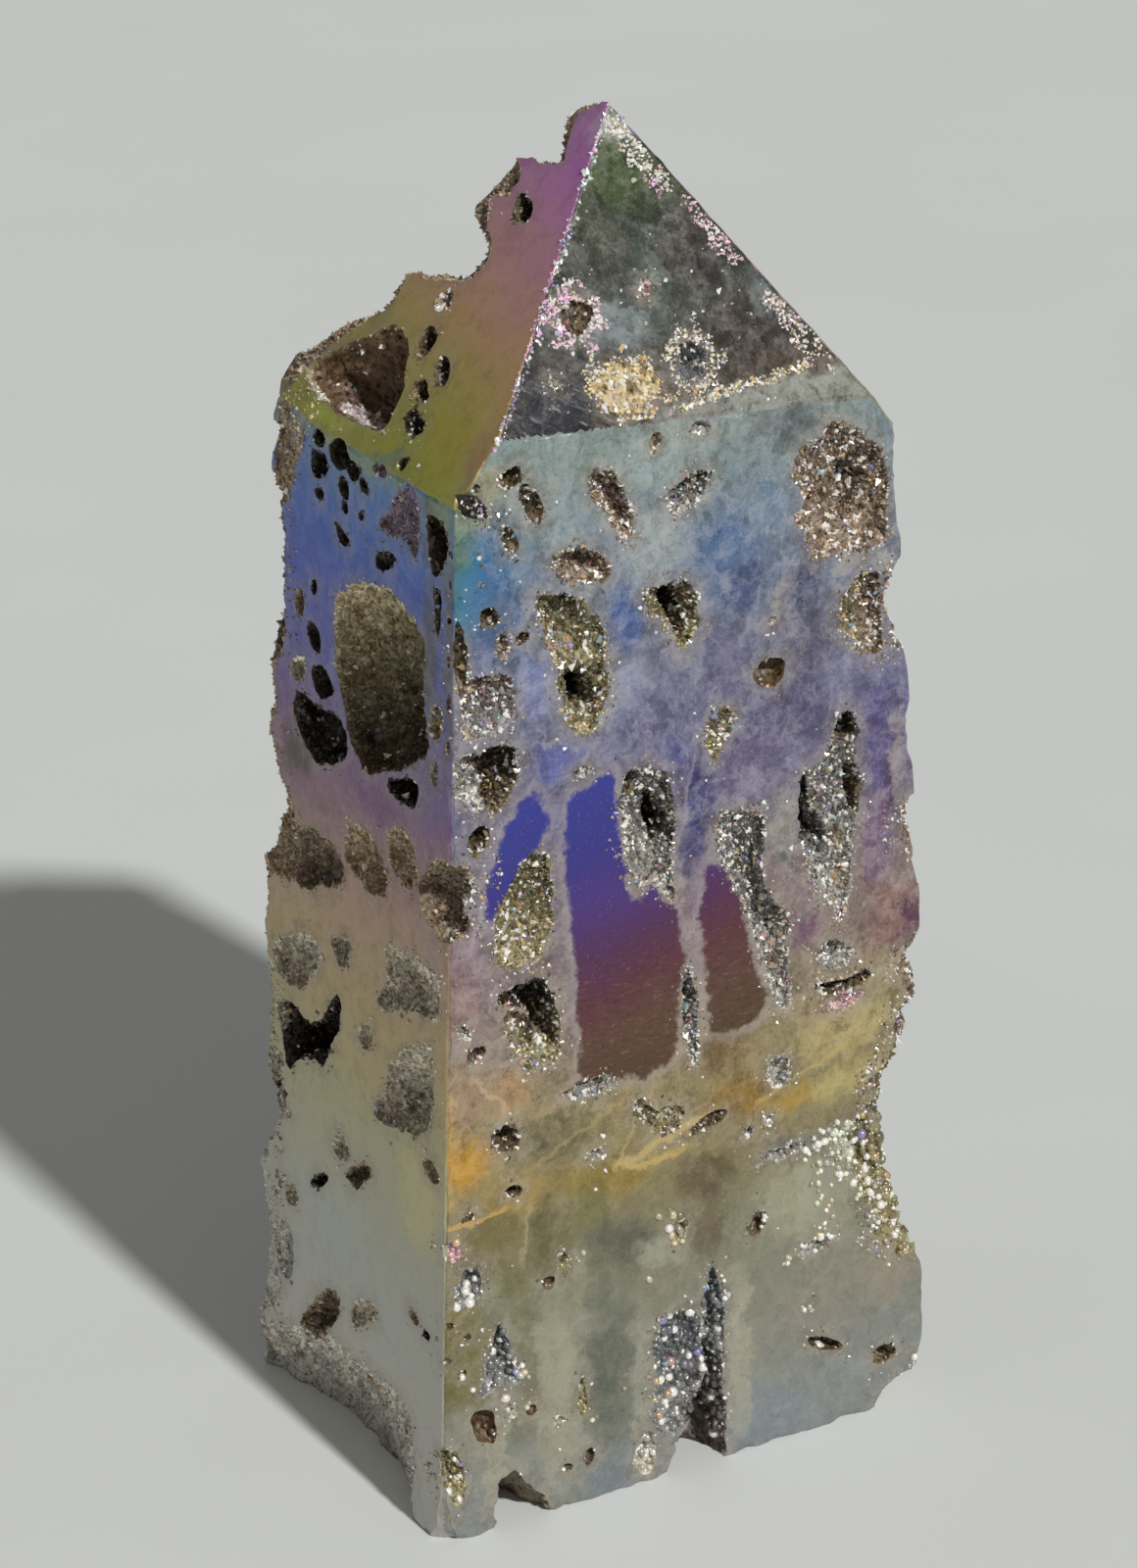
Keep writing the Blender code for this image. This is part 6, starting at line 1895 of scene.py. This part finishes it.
# Upright panels of the front: (across, up, half width, half height, colour, strength)
FRONT_PANELS = [
    (-6.2, 9.0, 1.8, 9.0, (98, 102, 88), 0.4),
    (-6.3, 1.4, 1.8, 2.4, (116, 124, 128), 0.5),
    (-9.3, 8.0, 0.8, 7.0, (160, 154, 132), 0.35),
    (-18.2, 13.2, 2.6, 3.6, (104, 98, 36), 0.65),
    (-13.0, 12.0, 0.7, 6.0, (110, 104, 72), 0.6),
    (-11.2, 21.0, 0.6, 3.4, (94, 88, 44), 0.6),
    (-9.4, 20.6, 0.4, 3.0, (98, 92, 50), 0.5),
    (-15.4, 5.6, 0.9, 3.8, (166, 160, 134), 0.5),
    (-3.6, 3.0, 0.7, 3.2, (160, 156, 136), 0.6),
    (2.0, 20.0, 0.8, 2.8, (92, 78, 54), 0.45),
    (4.2, 8.0, 0.8, 7.0, (160, 156, 138), 0.5),
    (11.0, 18.0, 2.2, 3.6, (164, 160, 136), 0.5),
    (-13.6, 20.6, 0.9, 3.2, (104, 96, 44), 0.5),
    (-18.6, 29.6, 0.5, 5.0, (196, 152, 76), 0.5),
    (0.5, 49.0, 0.8, 4.0, (58, 56, 112), 0.85),
    (15.1, 51.0, 0.8, 4.6, (88, 78, 132), 0.8),
    (15.3, 44.2, 0.9, 3.4, (104, 70, 108), 0.8),
    (17.0, 49.6, 0.5, 4.0, (150, 140, 138), 0.6),
    (16.4, 38.4, 1.6, 2.4, (140, 104, 96), 0.7),
    (18.2, 37.6, 0.9, 2.0, (90, 42, 72), 0.85),
    (9.7, 38.7, 1.3, 0.9, (104, 66, 94), 0.75),
    (14.6, 64.4, 2.4, 0.5, (162, 156, 150), 0.6),
]
LEFT_CLOUDS = [
    (-11.4, 64.0, 0.7, 9.0, (70, 66, 50), 0.75),
    (-10.8, 71.4, 1.2, 3.0, (84, 142, 150), 0.6),
    (5.6, 73.3, 2.8, 0.9, (156, 158, 70), 0.85),
    (-3.4, 73.4, 3.4, 0.7, (128, 150, 92), 0.75),
    (-9.4, 72.8, 2.2, 1.0, (122, 146, 84), 0.75),
    (1.2, 73.6, 2.0, 0.5, (116, 150, 110), 0.6),
    (-8.8, 55.0, 2.0, 4.0, (118, 104, 140), 0.6),
    (8.4, 49.8, 2.4, 2.2, (64, 44, 44), 0.9),
    (-2.6, 50.2, 3.4, 1.3, (112, 52, 116), 0.8),
    (7.0, 47.4, 4.6, 1.4, (134, 100, 118), 0.6),
    (-8.9, 62.6, 1.3, 4.6, (60, 60, 66), 0.8),
    (-8.6, 71.0, 0.8, 2.4, (30, 50, 60), 0.7),
    (-10.2, 41.8, 1.6, 2.6, (168, 140, 136), 0.6),
    (5.0, 28.2, 6.0, 2.4, (176, 172, 132), 0.5),
    (-9.0, 24.0, 2.8, 3.6, (200, 190, 138), 0.85),
    (2.0, 17.0, 6.0, 4.0, (178, 184, 174), 0.6),
]
LEFT_FACET_CLOUDS = [
    (-11.0, 76.4, 1.6, 1.8, (168, 128, 98), 0.7),
    (11.8, 77.4, 3.4, 1.6, (148, 134, 98), 0.85),
    (8.4, 80.4, 1.6, 1.2, (152, 140, 92), 0.7),
    (-1.8, 94.2, 1.0, 1.0, (196, 176, 196), 0.6),
    (-7.0, 75.8, 3.6, 1.4, (172, 158, 56), 0.7),
    (6.4, 74.2, 3.0, 0.6, (186, 190, 56), 0.8),
    (-1.4, 73.9, 1.8, 0.5, (92, 130, 120), 0.7),
]
# Clouds on the point; the dark ones are painted reflection, like its bands.
POINT_CLOUDS = [
    (-0.6, 91.2, 2.2, 2.8, (54, 70, 22), 0.9),
    (-2.4, 87.8, 2.0, 2.6, (50, 56, 38), 0.85),
    (4.2, 86.2, 2.6, 3.0, (48, 40, 34), 0.9),
    (0.4, 84.8, 1.4, 2.6, (64, 82, 66), 0.75),
    (-3.2, 81.8, 2.8, 1.7, (124, 136, 136), 0.8),
    (-8.6, 78.4, 3.2, 2.0, (30, 34, 46), 0.9),
    (6.4, 80.6, 2.8, 2.6, (48, 36, 26), 0.85),
    (8.8, 83.6, 1.4, 2.0, (96, 108, 108), 0.6),
    (9.4, 78.6, 3.0, 1.0, (72, 58, 40), 0.8),
    (0.6, 94.0, 1.4, 1.0, (150, 154, 140), 0.7),
]
BACK_CLOUDS = [
    (6.0, 62.0, 6.0, 5.0, (90, 112, 160), 0.6),
    (-8.0, 50.0, 5.0, 6.0, (120, 100, 146), 0.6),
    (4.0, 34.0, 7.0, 3.0, (152, 128, 100), 0.6),
    (-6.0, 27.0, 6.0, 2.0, (156, 128, 66), 0.6),
    (8.0, 12.0, 5.0, 5.0, (112, 110, 88), 0.6),
]
RIGHT_CLOUDS = [
    (-4.0, 64.0, 5.0, 5.0, (92, 120, 160), 0.6),
    (6.0, 46.0, 5.0, 5.0, (112, 92, 142), 0.6),
    (-11.0, 38.0, 3.0, 3.0, (104, 66, 88), 0.7),
    (-6.0, 28.0, 6.0, 2.0, (150, 126, 70), 0.6),
    (4.0, 10.0, 6.0, 4.0, (120, 118, 104), 0.6),
]
GEM_BANDS = [
    (30.0, (76, 54, 28)), (33.0, (80, 54, 32)), (36.0, (88, 56, 42)), (39.5, (86, 38, 52)),
    (42.5, (78, 32, 76)), (46.0, (68, 42, 118)), (50.0, (48, 42, 128)), (54.0, (44, 50, 138)),
]


def with_clouds(look, colour, drifted, clouds, across_axis):
    """Lays soft clouds of colour over a surface."""
    for across, up, half_across, half_up, tint, strength in clouds:
        scale = [0.0, 0.0, 1 / half_up]
        shift = [0.0, 0.0, -up / half_up]
        scale[across_axis] = 1 / half_across
        shift[across_axis] = -across / half_across
        offset = look.stretched(drifted, scale, shift)
        distance = look.node("ShaderNodeVectorMath", {0: offset}, operation="LENGTH").outputs["Value"]
        cover = look.between(distance, 1.35, 0.45, strength)
        colour = look.mixed(cover, colour, paint(tint))
    return colour


# Thin veins of the front: (across, up, half length, half thickness, lean in degrees, colour, strength)
FRONT_VEINS = [
    (-1.5, 26.1, 4.8, 0.34, 15, (206, 180, 118), 0.6),
    (-4.1, 27.6, 3.8, 0.14, 62, (182, 160, 104), 0.6),
    (-8.2, 28.4, 5.6, 0.14, 25, (172, 152, 100), 0.5),
    (-16.6, 24.0, 3.2, 0.2, 8, (216, 170, 88), 0.6),
    (9.6, 28.2, 5.6, 0.16, 20, (196, 166, 96), 0.5),
    (-15.0, 32.8, 2.6, 0.16, -52, (206, 176, 140), 0.5),
    (-12.6, 22.0, 3.0, 0.14, 80, (178, 170, 130), 0.4),
    (-14.2, 47.8, 6.2, 0.18, 62, (176, 160, 178), 0.5),
    (0.4, 51.0, 3.6, 0.16, 76, (170, 160, 176), 0.4),
]


def with_veins(look, colour, place, veins):
    """Lays thin slanting lines of colour over the front."""
    axes = look.split(place)
    for across, up, half_length, half_thick, lean, tint, strength in veins:
        x = look.maths("SUBTRACT", axes[0], across)
        z = look.maths("SUBTRACT", axes[2], up)
        turn = math.radians(lean)
        along = look.maths(
            "ADD", look.maths("MULTIPLY", x, math.cos(turn)), look.maths("MULTIPLY", z, math.sin(turn))
        )
        aside = look.maths(
            "SUBTRACT", look.maths("MULTIPLY", z, math.cos(turn)), look.maths("MULTIPLY", x, math.sin(turn))
        )
        thick = look.between(look.maths("ABSOLUTE", aside), 1.6 * half_thick, 0.4 * half_thick, strength)
        cover = look.between(look.maths("ABSOLUTE", along), half_length, 0.6 * half_length)
        colour = look.mixed(look.maths("MULTIPLY", thick, cover), colour, paint(tint))
    return colour


def with_panels(look, colour, place, panels):
    """Lays upright panels of colour with firmer edges over the front."""
    for across, up, half_across, half_up, tint, strength in panels:
        scale = (1 / half_across, 0.0, 1 / half_up)
        shift = (-across / half_across, 0.0, -up / half_up)
        offset = look.stretched(place, scale, shift)
        reach = look.split(look.vector("ABSOLUTE", offset))
        aside = look.between(reach[0], 1.2, 0.85, strength)
        along = look.between(reach[2], 1.15, 0.7)
        colour = look.mixed(look.maths("MULTIPLY", aside, along), colour, paint(tint))
    return colour


# Noise patterns of the film: (scale for each millimetre, detail, roughness)
WIDE_DRIFT = (0.09, 3.0, 0.55)
FINE_DRIFT = (0.6, 5.0, 0.7)
FIBRES = (0.9, 8.0, 0.75)
MOTTLE = (0.7, 10.0, 0.76)
CRUMBS = (1.9, 8.0, 0.8)
RIM_NOISE = (1.1, 5.0, 0.7)
SPECKLE = (6.0, 3.0, 0.75)
# How far the drifts move the bands and clouds, the panels, the veins and the fibres, in millimetres
BAND_DRIFT = (4.0, 3.6)
PANEL_DRIFT = 4.0
VEIN_DRIFT = 2.2
FIBRE_DRIFT = 1.2
# Where the mottle, the fibres and the crumbs turn lighter and darker: (from, to, strength)
LIGHTER_LAYERS = ((0.48, 0.64, 1.5), (0.5, 0.68, 1.2), (0.5, 0.66, 0.9))
DARKER_LAYERS = ((0.5, 0.36, 0.65), (0.47, 0.34, 0.4), (0.48, 0.34, 0.4))
# Below the first height the mottling is faint, by this share; above the second it is full
SMOOTH_FOOT = (20.0, 33.0)
SMOOTHNESS = 0.4
# Colours of the pale veil by height, and of the soil, the worn rims and the specks
VEIL_BANDS = [(0, (206, 202, 188)), (30, (212, 198, 160)), (46, (214, 208, 206))]
SOIL = (150, 144, 138)
RIM_BROWN = (120, 108, 92)
RIM_PALE = (168, 160, 146)
SPECK_PALE = (205, 202, 195)
SPECK_DARK = (52, 46, 42)
FILM_ROUGHNESS = (0.3, 0.6)


def with_layers(look, colour, other, patterns, layers, amount, roughened):
    """Lays patches of another colour over a surface, one layer for each pattern."""
    for pattern, (low, high, share) in zip(patterns, layers):
        cover = look.maths("MULTIPLY", look.between(pattern, low, high, share * amount), roughened)
        colour = look.mixed(cover, colour, other)
    return colour


def with_specks(look, colour, speckle):
    """Strews pale and dark specks."""
    # The pale specks are painted sparkle.
    colour = look.mixed(look.between(speckle, 0.6, 0.78, 0.35), colour, paint(SPECK_PALE))
    return look.mixed(look.between(speckle, 0.4, 0.24, 0.45), colour, paint(SPECK_DARK))


def film(name, bands, clouds, across_axis, slope=0.0, veil=0.3, halo=0.4, soil=1.0, gems=False, brushed=False,
         **finish):
    """Sawn stone under its metal film: bands and clouds of colour, mottled, with worn rims."""
    look = Look(name)
    place = look.place()
    wide_drift = look.drift(place, WIDE_DRIFT)
    fine_drift = look.drift(place, FINE_DRIFT)
    drifted = look.drifted(look.drifted(place, wide_drift, BAND_DRIFT[0]), fine_drift, BAND_DRIFT[1])
    axes = look.split(drifted)
    height = look.maths("ADD", axes[2], look.maths("MULTIPLY", axes[across_axis], slope))
    colour = look.by_height(height, bands)
    colour = with_clouds(look, colour, drifted, clouds, across_axis)
    if gems:
        colour = with_panels(look, colour, look.drifted(place, fine_drift, PANEL_DRIFT), FRONT_PANELS)

    grown = look.vector("MULTIPLY", look.drifted(place, fine_drift, FIBRE_DRIFT), (1.0, 1.0, 0.45))
    fibres = look.noise(grown, *FIBRES)
    mottle = look.noise(drifted, *MOTTLE)
    crumbs = look.noise(place, *CRUMBS)
    patterns = (mottle, fibres, crumbs)
    roughened = look.maths("ADD", look.between(axes[2], *SMOOTH_FOOT, 1 - SMOOTHNESS), SMOOTHNESS)
    lighter = look.mixed(0.5, colour, look.by_height(height, VEIL_BANDS))
    colour = with_layers(look, colour, lighter, patterns, LIGHTER_LAYERS, veil, roughened)
    darker = look.mixed(1.0, colour, paint(SOIL), "MULTIPLY")
    colour = with_layers(look, colour, darker, patterns, DARKER_LAYERS, soil, roughened)
    veins = look.cells(drifted, 0.28, "Distance", "DISTANCE_TO_EDGE")
    colour = with_layers(look, colour, lighter, (veins,), ((0.07, 0.0, 0.7),), veil, roughened)

    rim_noise = look.maths("MULTIPLY", look.noise(place, *RIM_NOISE), -2.6)
    ragged_rim = look.maths("ADD", look.attribute("to_rim"), rim_noise)
    rim_tint = look.mixed(look.between(mottle, 0.4, 0.6), paint(RIM_BROWN), paint(RIM_PALE))
    colour = look.mixed(look.between(ragged_rim, 0.1, -1.1, halo), colour, rim_tint)
    if gems:
        colour = with_clouds(look, colour, drifted, FRONT_VIVID, 0)
        colour = with_veins(look, colour, look.drifted(place, fine_drift, VEIN_DRIFT), FRONT_VEINS)
        colour = with_gems(look, colour, place)
    if brushed:
        colour = with_strokes(look, colour, place)
    speckle = look.noise(place, *SPECKLE)
    colour = with_specks(look, colour, speckle)

    bump_height = look.maths("ADD", mottle, look.maths("MULTIPLY", speckle, 0.5))
    inputs = {"Height": bump_height, "Strength": 0.35, "Distance": 0.06 * MM}
    normal = look.node("ShaderNodeBump", inputs).outputs[0]
    return look.surface(colour, normal, Roughness=look.spread(mottle, FILM_ROUGHNESS), **finish)


# Strokes of the saw: the heights and the places across between which they fade, and their colours
STROKE_HEIGHTS = (84.0, 79.0)
STROKE_PLACES = (0.0, -6.0)
STROKE_DARK = (22, 20, 26)
STROKE_PALE = (168, 172, 178)


def with_strokes(look, colour, place):
    """Slanting strokes left by the saw low on the point, dark with a few pale ones."""
    axes = look.split(place)
    along = look.maths("MULTIPLY", look.maths("SUBTRACT", axes[0], axes[2]), 0.3)
    across = look.maths("MULTIPLY", look.maths("ADD", look.maths("MULTIPLY", axes[0], 0.55), axes[2]), 2.2)
    turned = look.node("ShaderNodeCombineXYZ", {0: along, 1: across}).outputs[0]
    strokes = look.noise(turned, 1.0, 5.0, 0.7)
    low_share, left_share = look.between(axes[2], *STROKE_HEIGHTS), look.between(axes[0], *STROKE_PLACES)
    here = look.maths("MULTIPLY", low_share, left_share)
    dark = look.maths("MULTIPLY", look.between(strokes, 0.5, 0.36, 0.85), here)
    pale = look.maths("MULTIPLY", look.between(strokes, 0.56, 0.72, 0.7), here)
    colour = look.mixed(dark, colour, paint(STROKE_DARK))
    return look.mixed(pale, colour, paint(STROKE_PALE))


# The clear windows: how far their bands slope and lie lower, the heights between which brown streaks come
# in, and the colours of the streaks and the edge
GEM_SLOPE = -0.22
GEM_DROP = 1.7
GEM_STREAKS = (46.0, 36.0)
GEM_LIGHT = (140, 104, 66)
GEM_DARK = (40, 28, 26)
GEM_EDGE = (160, 148, 150)


def with_gems(look, colour, place):
    """Clear dark windows with softly frayed pale edges."""
    axes = look.split(place)
    gem = look.attribute("gem")
    tilted = look.maths("ADD", axes[2], look.maths("MULTIPLY", axes[0], GEM_SLOPE))
    wavy = look.maths("ADD", tilted, look.maths("MULTIPLY", look.noise(place, 0.35, 3.0), 3.4))
    deep = look.by_height(look.maths("SUBTRACT", wavy, GEM_DROP), GEM_BANDS)
    leaning = look.vector("MULTIPLY", place, (0.55, 1.0, 1.5))
    brushed = look.noise(leaning, 2.6, 6.0, 0.75)
    low = look.between(axes[2], *GEM_STREAKS)
    light_share = look.maths("MULTIPLY", look.between(brushed, 0.52, 0.74, 0.6), low)
    deep = look.mixed(light_share, deep, paint(GEM_LIGHT))
    dark_share = look.maths("MULTIPLY", look.between(brushed, 0.48, 0.3, 0.7), low)
    deep = look.mixed(dark_share, deep, paint(GEM_DARK))
    ragged_gem = look.maths("ADD", gem, look.maths("MULTIPLY", look.noise(place, 0.9, 7.0, 0.7), 2.0))
    ragged_gem = look.maths("SUBTRACT", ragged_gem, 0.55)
    inside = look.between(ragged_gem, 0.3, 0.8)
    edge = look.between(look.maths("ABSOLUTE", look.maths("SUBTRACT", ragged_gem, 0.3)), 0.6, 0.0, 0.4)
    colour = look.mixed(edge, colour, paint(GEM_EDGE))
    return look.mixed(inside, colour, deep)


# Stains on the linings, and the colour of the gaps between their crystals, laid in noise patches as painted
# shade
STAIN_BROWN = (176, 144, 104)
STAIN_PALE = (196, 190, 180)
GAP_SHADE = (120, 108, 94)


def lining(look):
    """The colour of a hollow's lining, with stains."""
    place = look.place()
    colour = look.tone()
    stains = look.noise(place, 0.7, 4.0, 0.6)
    brown = look.mixed(1.0, colour, paint(STAIN_BROWN), "MULTIPLY")
    colour = look.mixed(look.between(stains, 0.5, 0.72, 0.8), colour, brown)
    return look.mixed(look.between(stains, 0.46, 0.3, 0.3), colour, paint(STAIN_PALE))


def druse_wall():
    """The rough stone between the crystals."""
    look = Look("druse_wall")
    place = look.place()
    colour = lining(look)
    grain = look.noise(place, 3.0, 4.0, 0.7)
    # Darker in noise patches: painted shade between the crystals.
    dark = look.mixed(1.0, colour, paint(GAP_SHADE), "MULTIPLY")
    colour = look.mixed(look.between(grain, 0.55, 0.35, 0.9), colour, dark)
    facets = look.vector("SUBTRACT", look.cells(place, 3.6), (0.5, 0.5, 0.5))
    normal = look.drifted(look.node("ShaderNodeNewGeometry").outputs["Normal"], facets, 0.7)
    return look.surface(colour, look.vector("NORMALIZE", normal), Metallic=0.1, Roughness=0.5)


# Each kind of crystal: metallic, (lowest, highest) brightness, the share painted white as glints, the share
# of tinted ones, (lowest, highest) roughness
# druse_sunlit and druse_shaded are lit and shaded copies of one lining: the shaded one is lighter and duller,
# painted light in place of the room's light on the side in shade.
CRYSTAL_LOOKS = {
    "druse_sunlit": (0.25, (0.3, 1.35), 0.2, 0.16, (0.1, 0.5)),
    "druse_shaded": (0.0, (0.5, 1.55), 0.02, 0.05, (0.35, 0.7)),
    "druse_silver": (0.3, (0.7, 1.6), 0.2, 0.06, (0.12, 0.4)),
    "frost": (0.3, (0.8, 1.4), 0.45, 0.2, (0.12, 0.4)),
}
# The pieces that don't have the sunlit look
PIECE_LOOKS = {
    "druse_left": "druse_shaded",
    "crumbs_left": "druse_shaded",
    "druse_break": "druse_shaded",
    "druse_foot": "druse_silver",
    "beads_front": "druse_silver",
    "frost": "frost",
}
GLINT_WHITE = (248, 244, 236)
FILM_TINTS = [
    (0.0, (226, 150, 176)), (0.2, (238, 200, 120)), (0.45, (150, 204, 226)), (0.6, (174, 150, 232)),
    (0.8, (240, 214, 150)), (1.0, (226, 186, 140)),
]
# Factors that make four random shares of a grain's one: its tint, whether it is tinted, whether it is painted
# white as a glint, and how rough it is
TINT_FACTOR = 37.0
TINTED_FACTOR = 91.0
GLINT_FACTOR = 173.0
GLOSS_FACTOR = 291.0


def crystals(name, metallic, brightness, glint_share, tint_share, gloss):
    """Crystal faces, each grain with its own brightness and a slight tint of the film, and a share painted
    white as glints.
    """
    look = Look(name)
    colour = lining(look)
    grain = look.node("ShaderNodeNewGeometry").outputs["Random Per Island"]
    level = look.spread(grain, brightness)
    colour = look.node("ShaderNodeHueSaturation", {"Value": level, "Color": colour}).outputs["Color"]
    tints = look.ramp(look.shuffled(grain, TINT_FACTOR), FILM_TINTS)
    tinted = look.shuffled(grain, TINTED_FACTOR)
    colour = look.mixed(look.between(tinted, 1 - tint_share, 1 - tint_share + 0.02, 0.6), colour, tints)
    # Some grains are painted near white: painted glints.
    white = look.between(look.shuffled(grain, GLINT_FACTOR), 1 - glint_share, 1.001 - glint_share)
    colour = look.mixed(white, colour, paint(GLINT_WHITE))
    roughness = look.spread(look.shuffled(grain, GLOSS_FACTOR), gloss)
    return look.surface(colour, Metallic=metallic, Roughness=roughness)


# The sawn underside
BASE_COLOURS = [(0.3, (150, 146, 138)), (0.5, (176, 172, 164)), (0.7, (196, 192, 186))]
BASE_GRAIN = (112, 104, 96)


def sawn_base():
    """The plain sawn underside, without film."""
    look = Look("sawn_base")
    place = look.place()
    colour = look.ramp(look.noise(place, 0.35, 5.0, 0.6), BASE_COLOURS)
    grain = look.noise(place, 4.0, 3.0)
    colour = look.mixed(look.between(grain, 0.45, 0.25, 0.4), colour, paint(BASE_GRAIN))
    return look.surface(colour, Roughness=0.6)


def stone_materials():
    """One material for each sawn plane, in the order of CUTS, and the rough walls last."""
    finish = {"Metallic": 0.15, "Coat_Weight": 0.2, "Coat_Roughness": 0.2}
    shine = {"Metallic": 0.45, "Coat_Weight": 0.35, "Coat_Roughness": 0.12}
    right = film("film_right", BACK_BANDS, RIGHT_CLOUDS, 1, 0.1, **finish)
    return {
        "front": film("film_front", FRONT_BANDS, FRONT_CLOUDS, 0, -0.08, gems=True, **finish),
        "back": film("film_back", BACK_BANDS, BACK_CLOUDS, 0, 0.12, **finish),
        "left": film("film_left", LEFT_BANDS, LEFT_CLOUDS, 1, 0.0, veil=0.14, halo=0.3, soil=0.7, **shine),
        "right_low": right,
        "right_high": right,
        "left_facet": film("film_left_facet", LEFT_FACET_BANDS, LEFT_FACET_CLOUDS, 1, -0.2, veil=0.06,
                           halo=0.25, soil=0.35, **shine),
        "right_facet": film("film_right_facet", BACK_FACET_BANDS, [], 1, 0.0, **finish),
        "front_facet": film("film_point", POINT_BANDS, POINT_CLOUDS, 0, -0.09, veil=0.18, halo=0.3, soil=1.5,
                            brushed=True, **shine),
        "back_facet": film("film_back_facet", BACK_FACET_BANDS, [], 0, 0.0, **finish),
        "base": sawn_base(),
        "rough": druse_wall(),
    }


# The photograph's view: where the camera stands, in metres and degrees
CAMERA_PLACE = (-0.15220, -0.256955, 0.17801)
CAMERA_AZIMUTH = -30.4
CAMERA_ELEVATION = 23.7
CAMERA_ROLL = -0.1
CAMERA_LENS = 109.8
SENSOR_HEIGHT = 36.0


def add_camera():
    """The photograph's camera, turned a little about its own line of sight."""
    azimuth, elevation, roll = (math.radians(v) for v in (CAMERA_AZIMUTH, CAMERA_ELEVATION, CAMERA_ROLL))
    back = Vector((
        math.sin(azimuth) * math.cos(elevation),
        -math.cos(azimuth) * math.cos(elevation),
        math.sin(elevation),
    ))
    right = Vector((math.cos(azimuth), math.sin(azimuth), 0.0))
    up = back.cross(right)
    rolled_right = right * math.cos(roll) + up * math.sin(roll)
    rolled_up = up * math.cos(roll) - right * math.sin(roll)
    turned = Matrix((rolled_right, rolled_up, back)).transposed().to_4x4()
    camera = bpy.data.objects.new("camera", bpy.data.cameras.new("camera"))
    camera.data.lens = CAMERA_LENS
    camera.data.sensor_fit = "VERTICAL"
    camera.data.sensor_height = SENSOR_HEIGHT
    camera.matrix_world = Matrix.Translation(CAMERA_PLACE) @ turned
    bpy.context.scene.collection.objects.link(camera)
    bpy.context.scene.camera = camera


# Light: the sun's strength, height and the way it travels, and the pale room around
SUN_STRENGTH = 2.64
SUN_WIDTH = math.radians(3.0)
SUN_ELEVATION = math.radians(42.0)
SUN_TRAVEL = (-0.075, 0.997)
ROOM_COLOUR = (0.97, 0.98, 0.97, 1.0)
ROOM_STRENGTH = 0.21
# The floor: half its width in millimetres, its colour, and how much darker its patches are
FLOOR_REACH = 2000.0
FLOOR_COLOUR = (226, 228, 225)
FLOOR_SHADE = 3


def aim(obj, direction):
    """Turns a light so that it shines along a direction."""
    obj.rotation_euler = Vector(direction).to_track_quat("-Z", "Y").to_euler()


def add_light():
    """One low soft sun from the front, and the pale room around."""
    sun = bpy.data.objects.new("sun", bpy.data.lights.new("sun", "SUN"))
    sun.data.energy = SUN_STRENGTH
    sun.data.angle = SUN_WIDTH
    flat = math.cos(SUN_ELEVATION)
    aim(sun, (SUN_TRAVEL[0] * flat, SUN_TRAVEL[1] * flat, -math.sin(SUN_ELEVATION)))
    bpy.context.scene.collection.objects.link(sun)
    room = bpy.data.worlds.new("room")
    room.use_nodes = True
    background = room.node_tree.nodes["Background"]
    background.inputs["Color"].default_value = ROOM_COLOUR
    background.inputs["Strength"].default_value = ROOM_STRENGTH
    bpy.context.scene.world = room
    bpy.context.scene.view_settings.view_transform = "Standard"


def add_floor():
    """The pale surface that the stone stands on."""
    look = Look("floor")
    shaded = tuple(value - FLOOR_SHADE for value in FLOOR_COLOUR)
    colour = look.ramp(look.noise(look.place(), 0.02, 2.0), [(0.3, FLOOR_COLOUR), (0.7, shaded)])
    reach = FLOOR_REACH
    corners = [(-reach, -reach, 0), (reach, -reach, 0), (reach, reach, 0), (-reach, reach, 0)]
    floor = mesh_object("floor", corners, [(0, 1, 2, 3)])
    floor.data.materials.append(look.surface(colour, Roughness=0.55))


# The crusts of the solid model that each crystal piece stands for
STANDS_FOR = {
    "druse_left": ["druse_left_oval"],
    "druse_point": ["druse_shoulder_hollow"],
    "druse_front_right": ["druse_front_corner_druse", "druse_front_silver_seam", "druse_front_tall_vug"],
    "druse_foot": ["druse_base_slot"],
    "druse_back": ["druse_right_arris_notch", "druse_right_hollow", "druse_back_great_hollow"],
}


def main():
    """Builds the view, the stone and its crystals, and hides the crusts of the solid that each piece stands
    for.
    """
    add_camera()
    add_light()
    add_floor()
    stone = carve_stone()
    vertices, triangles, kind, to_rim = finish_stone(stone)
    materials = stone_materials()
    for name in [*CUTS, "rough"]:
        stone.data.materials.append(materials[name])
    pieces = line_hollows(vertices, triangles[kind == len(CUTS)])
    pieces.update(crumble_rims(vertices, triangles, kind, to_rim))
    pieces["frost"] = frost_point(vertices, triangles, kind)
    pieces["beads_front"] = bead_front(vertices, triangles, kind)
    looks = {name: crystals(name, *values) for name, values in CRYSTAL_LOOKS.items()}
    for name, piece in pieces.items():
        piece.data.materials.append(looks[PIECE_LOOKS.get(name, "druse_sunlit")])
        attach(piece, "root")
        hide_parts(*STANDS_FOR.get(name, []))
    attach(stone, "root")
    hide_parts("tower")


main()
bpy.context.view_layer.update()
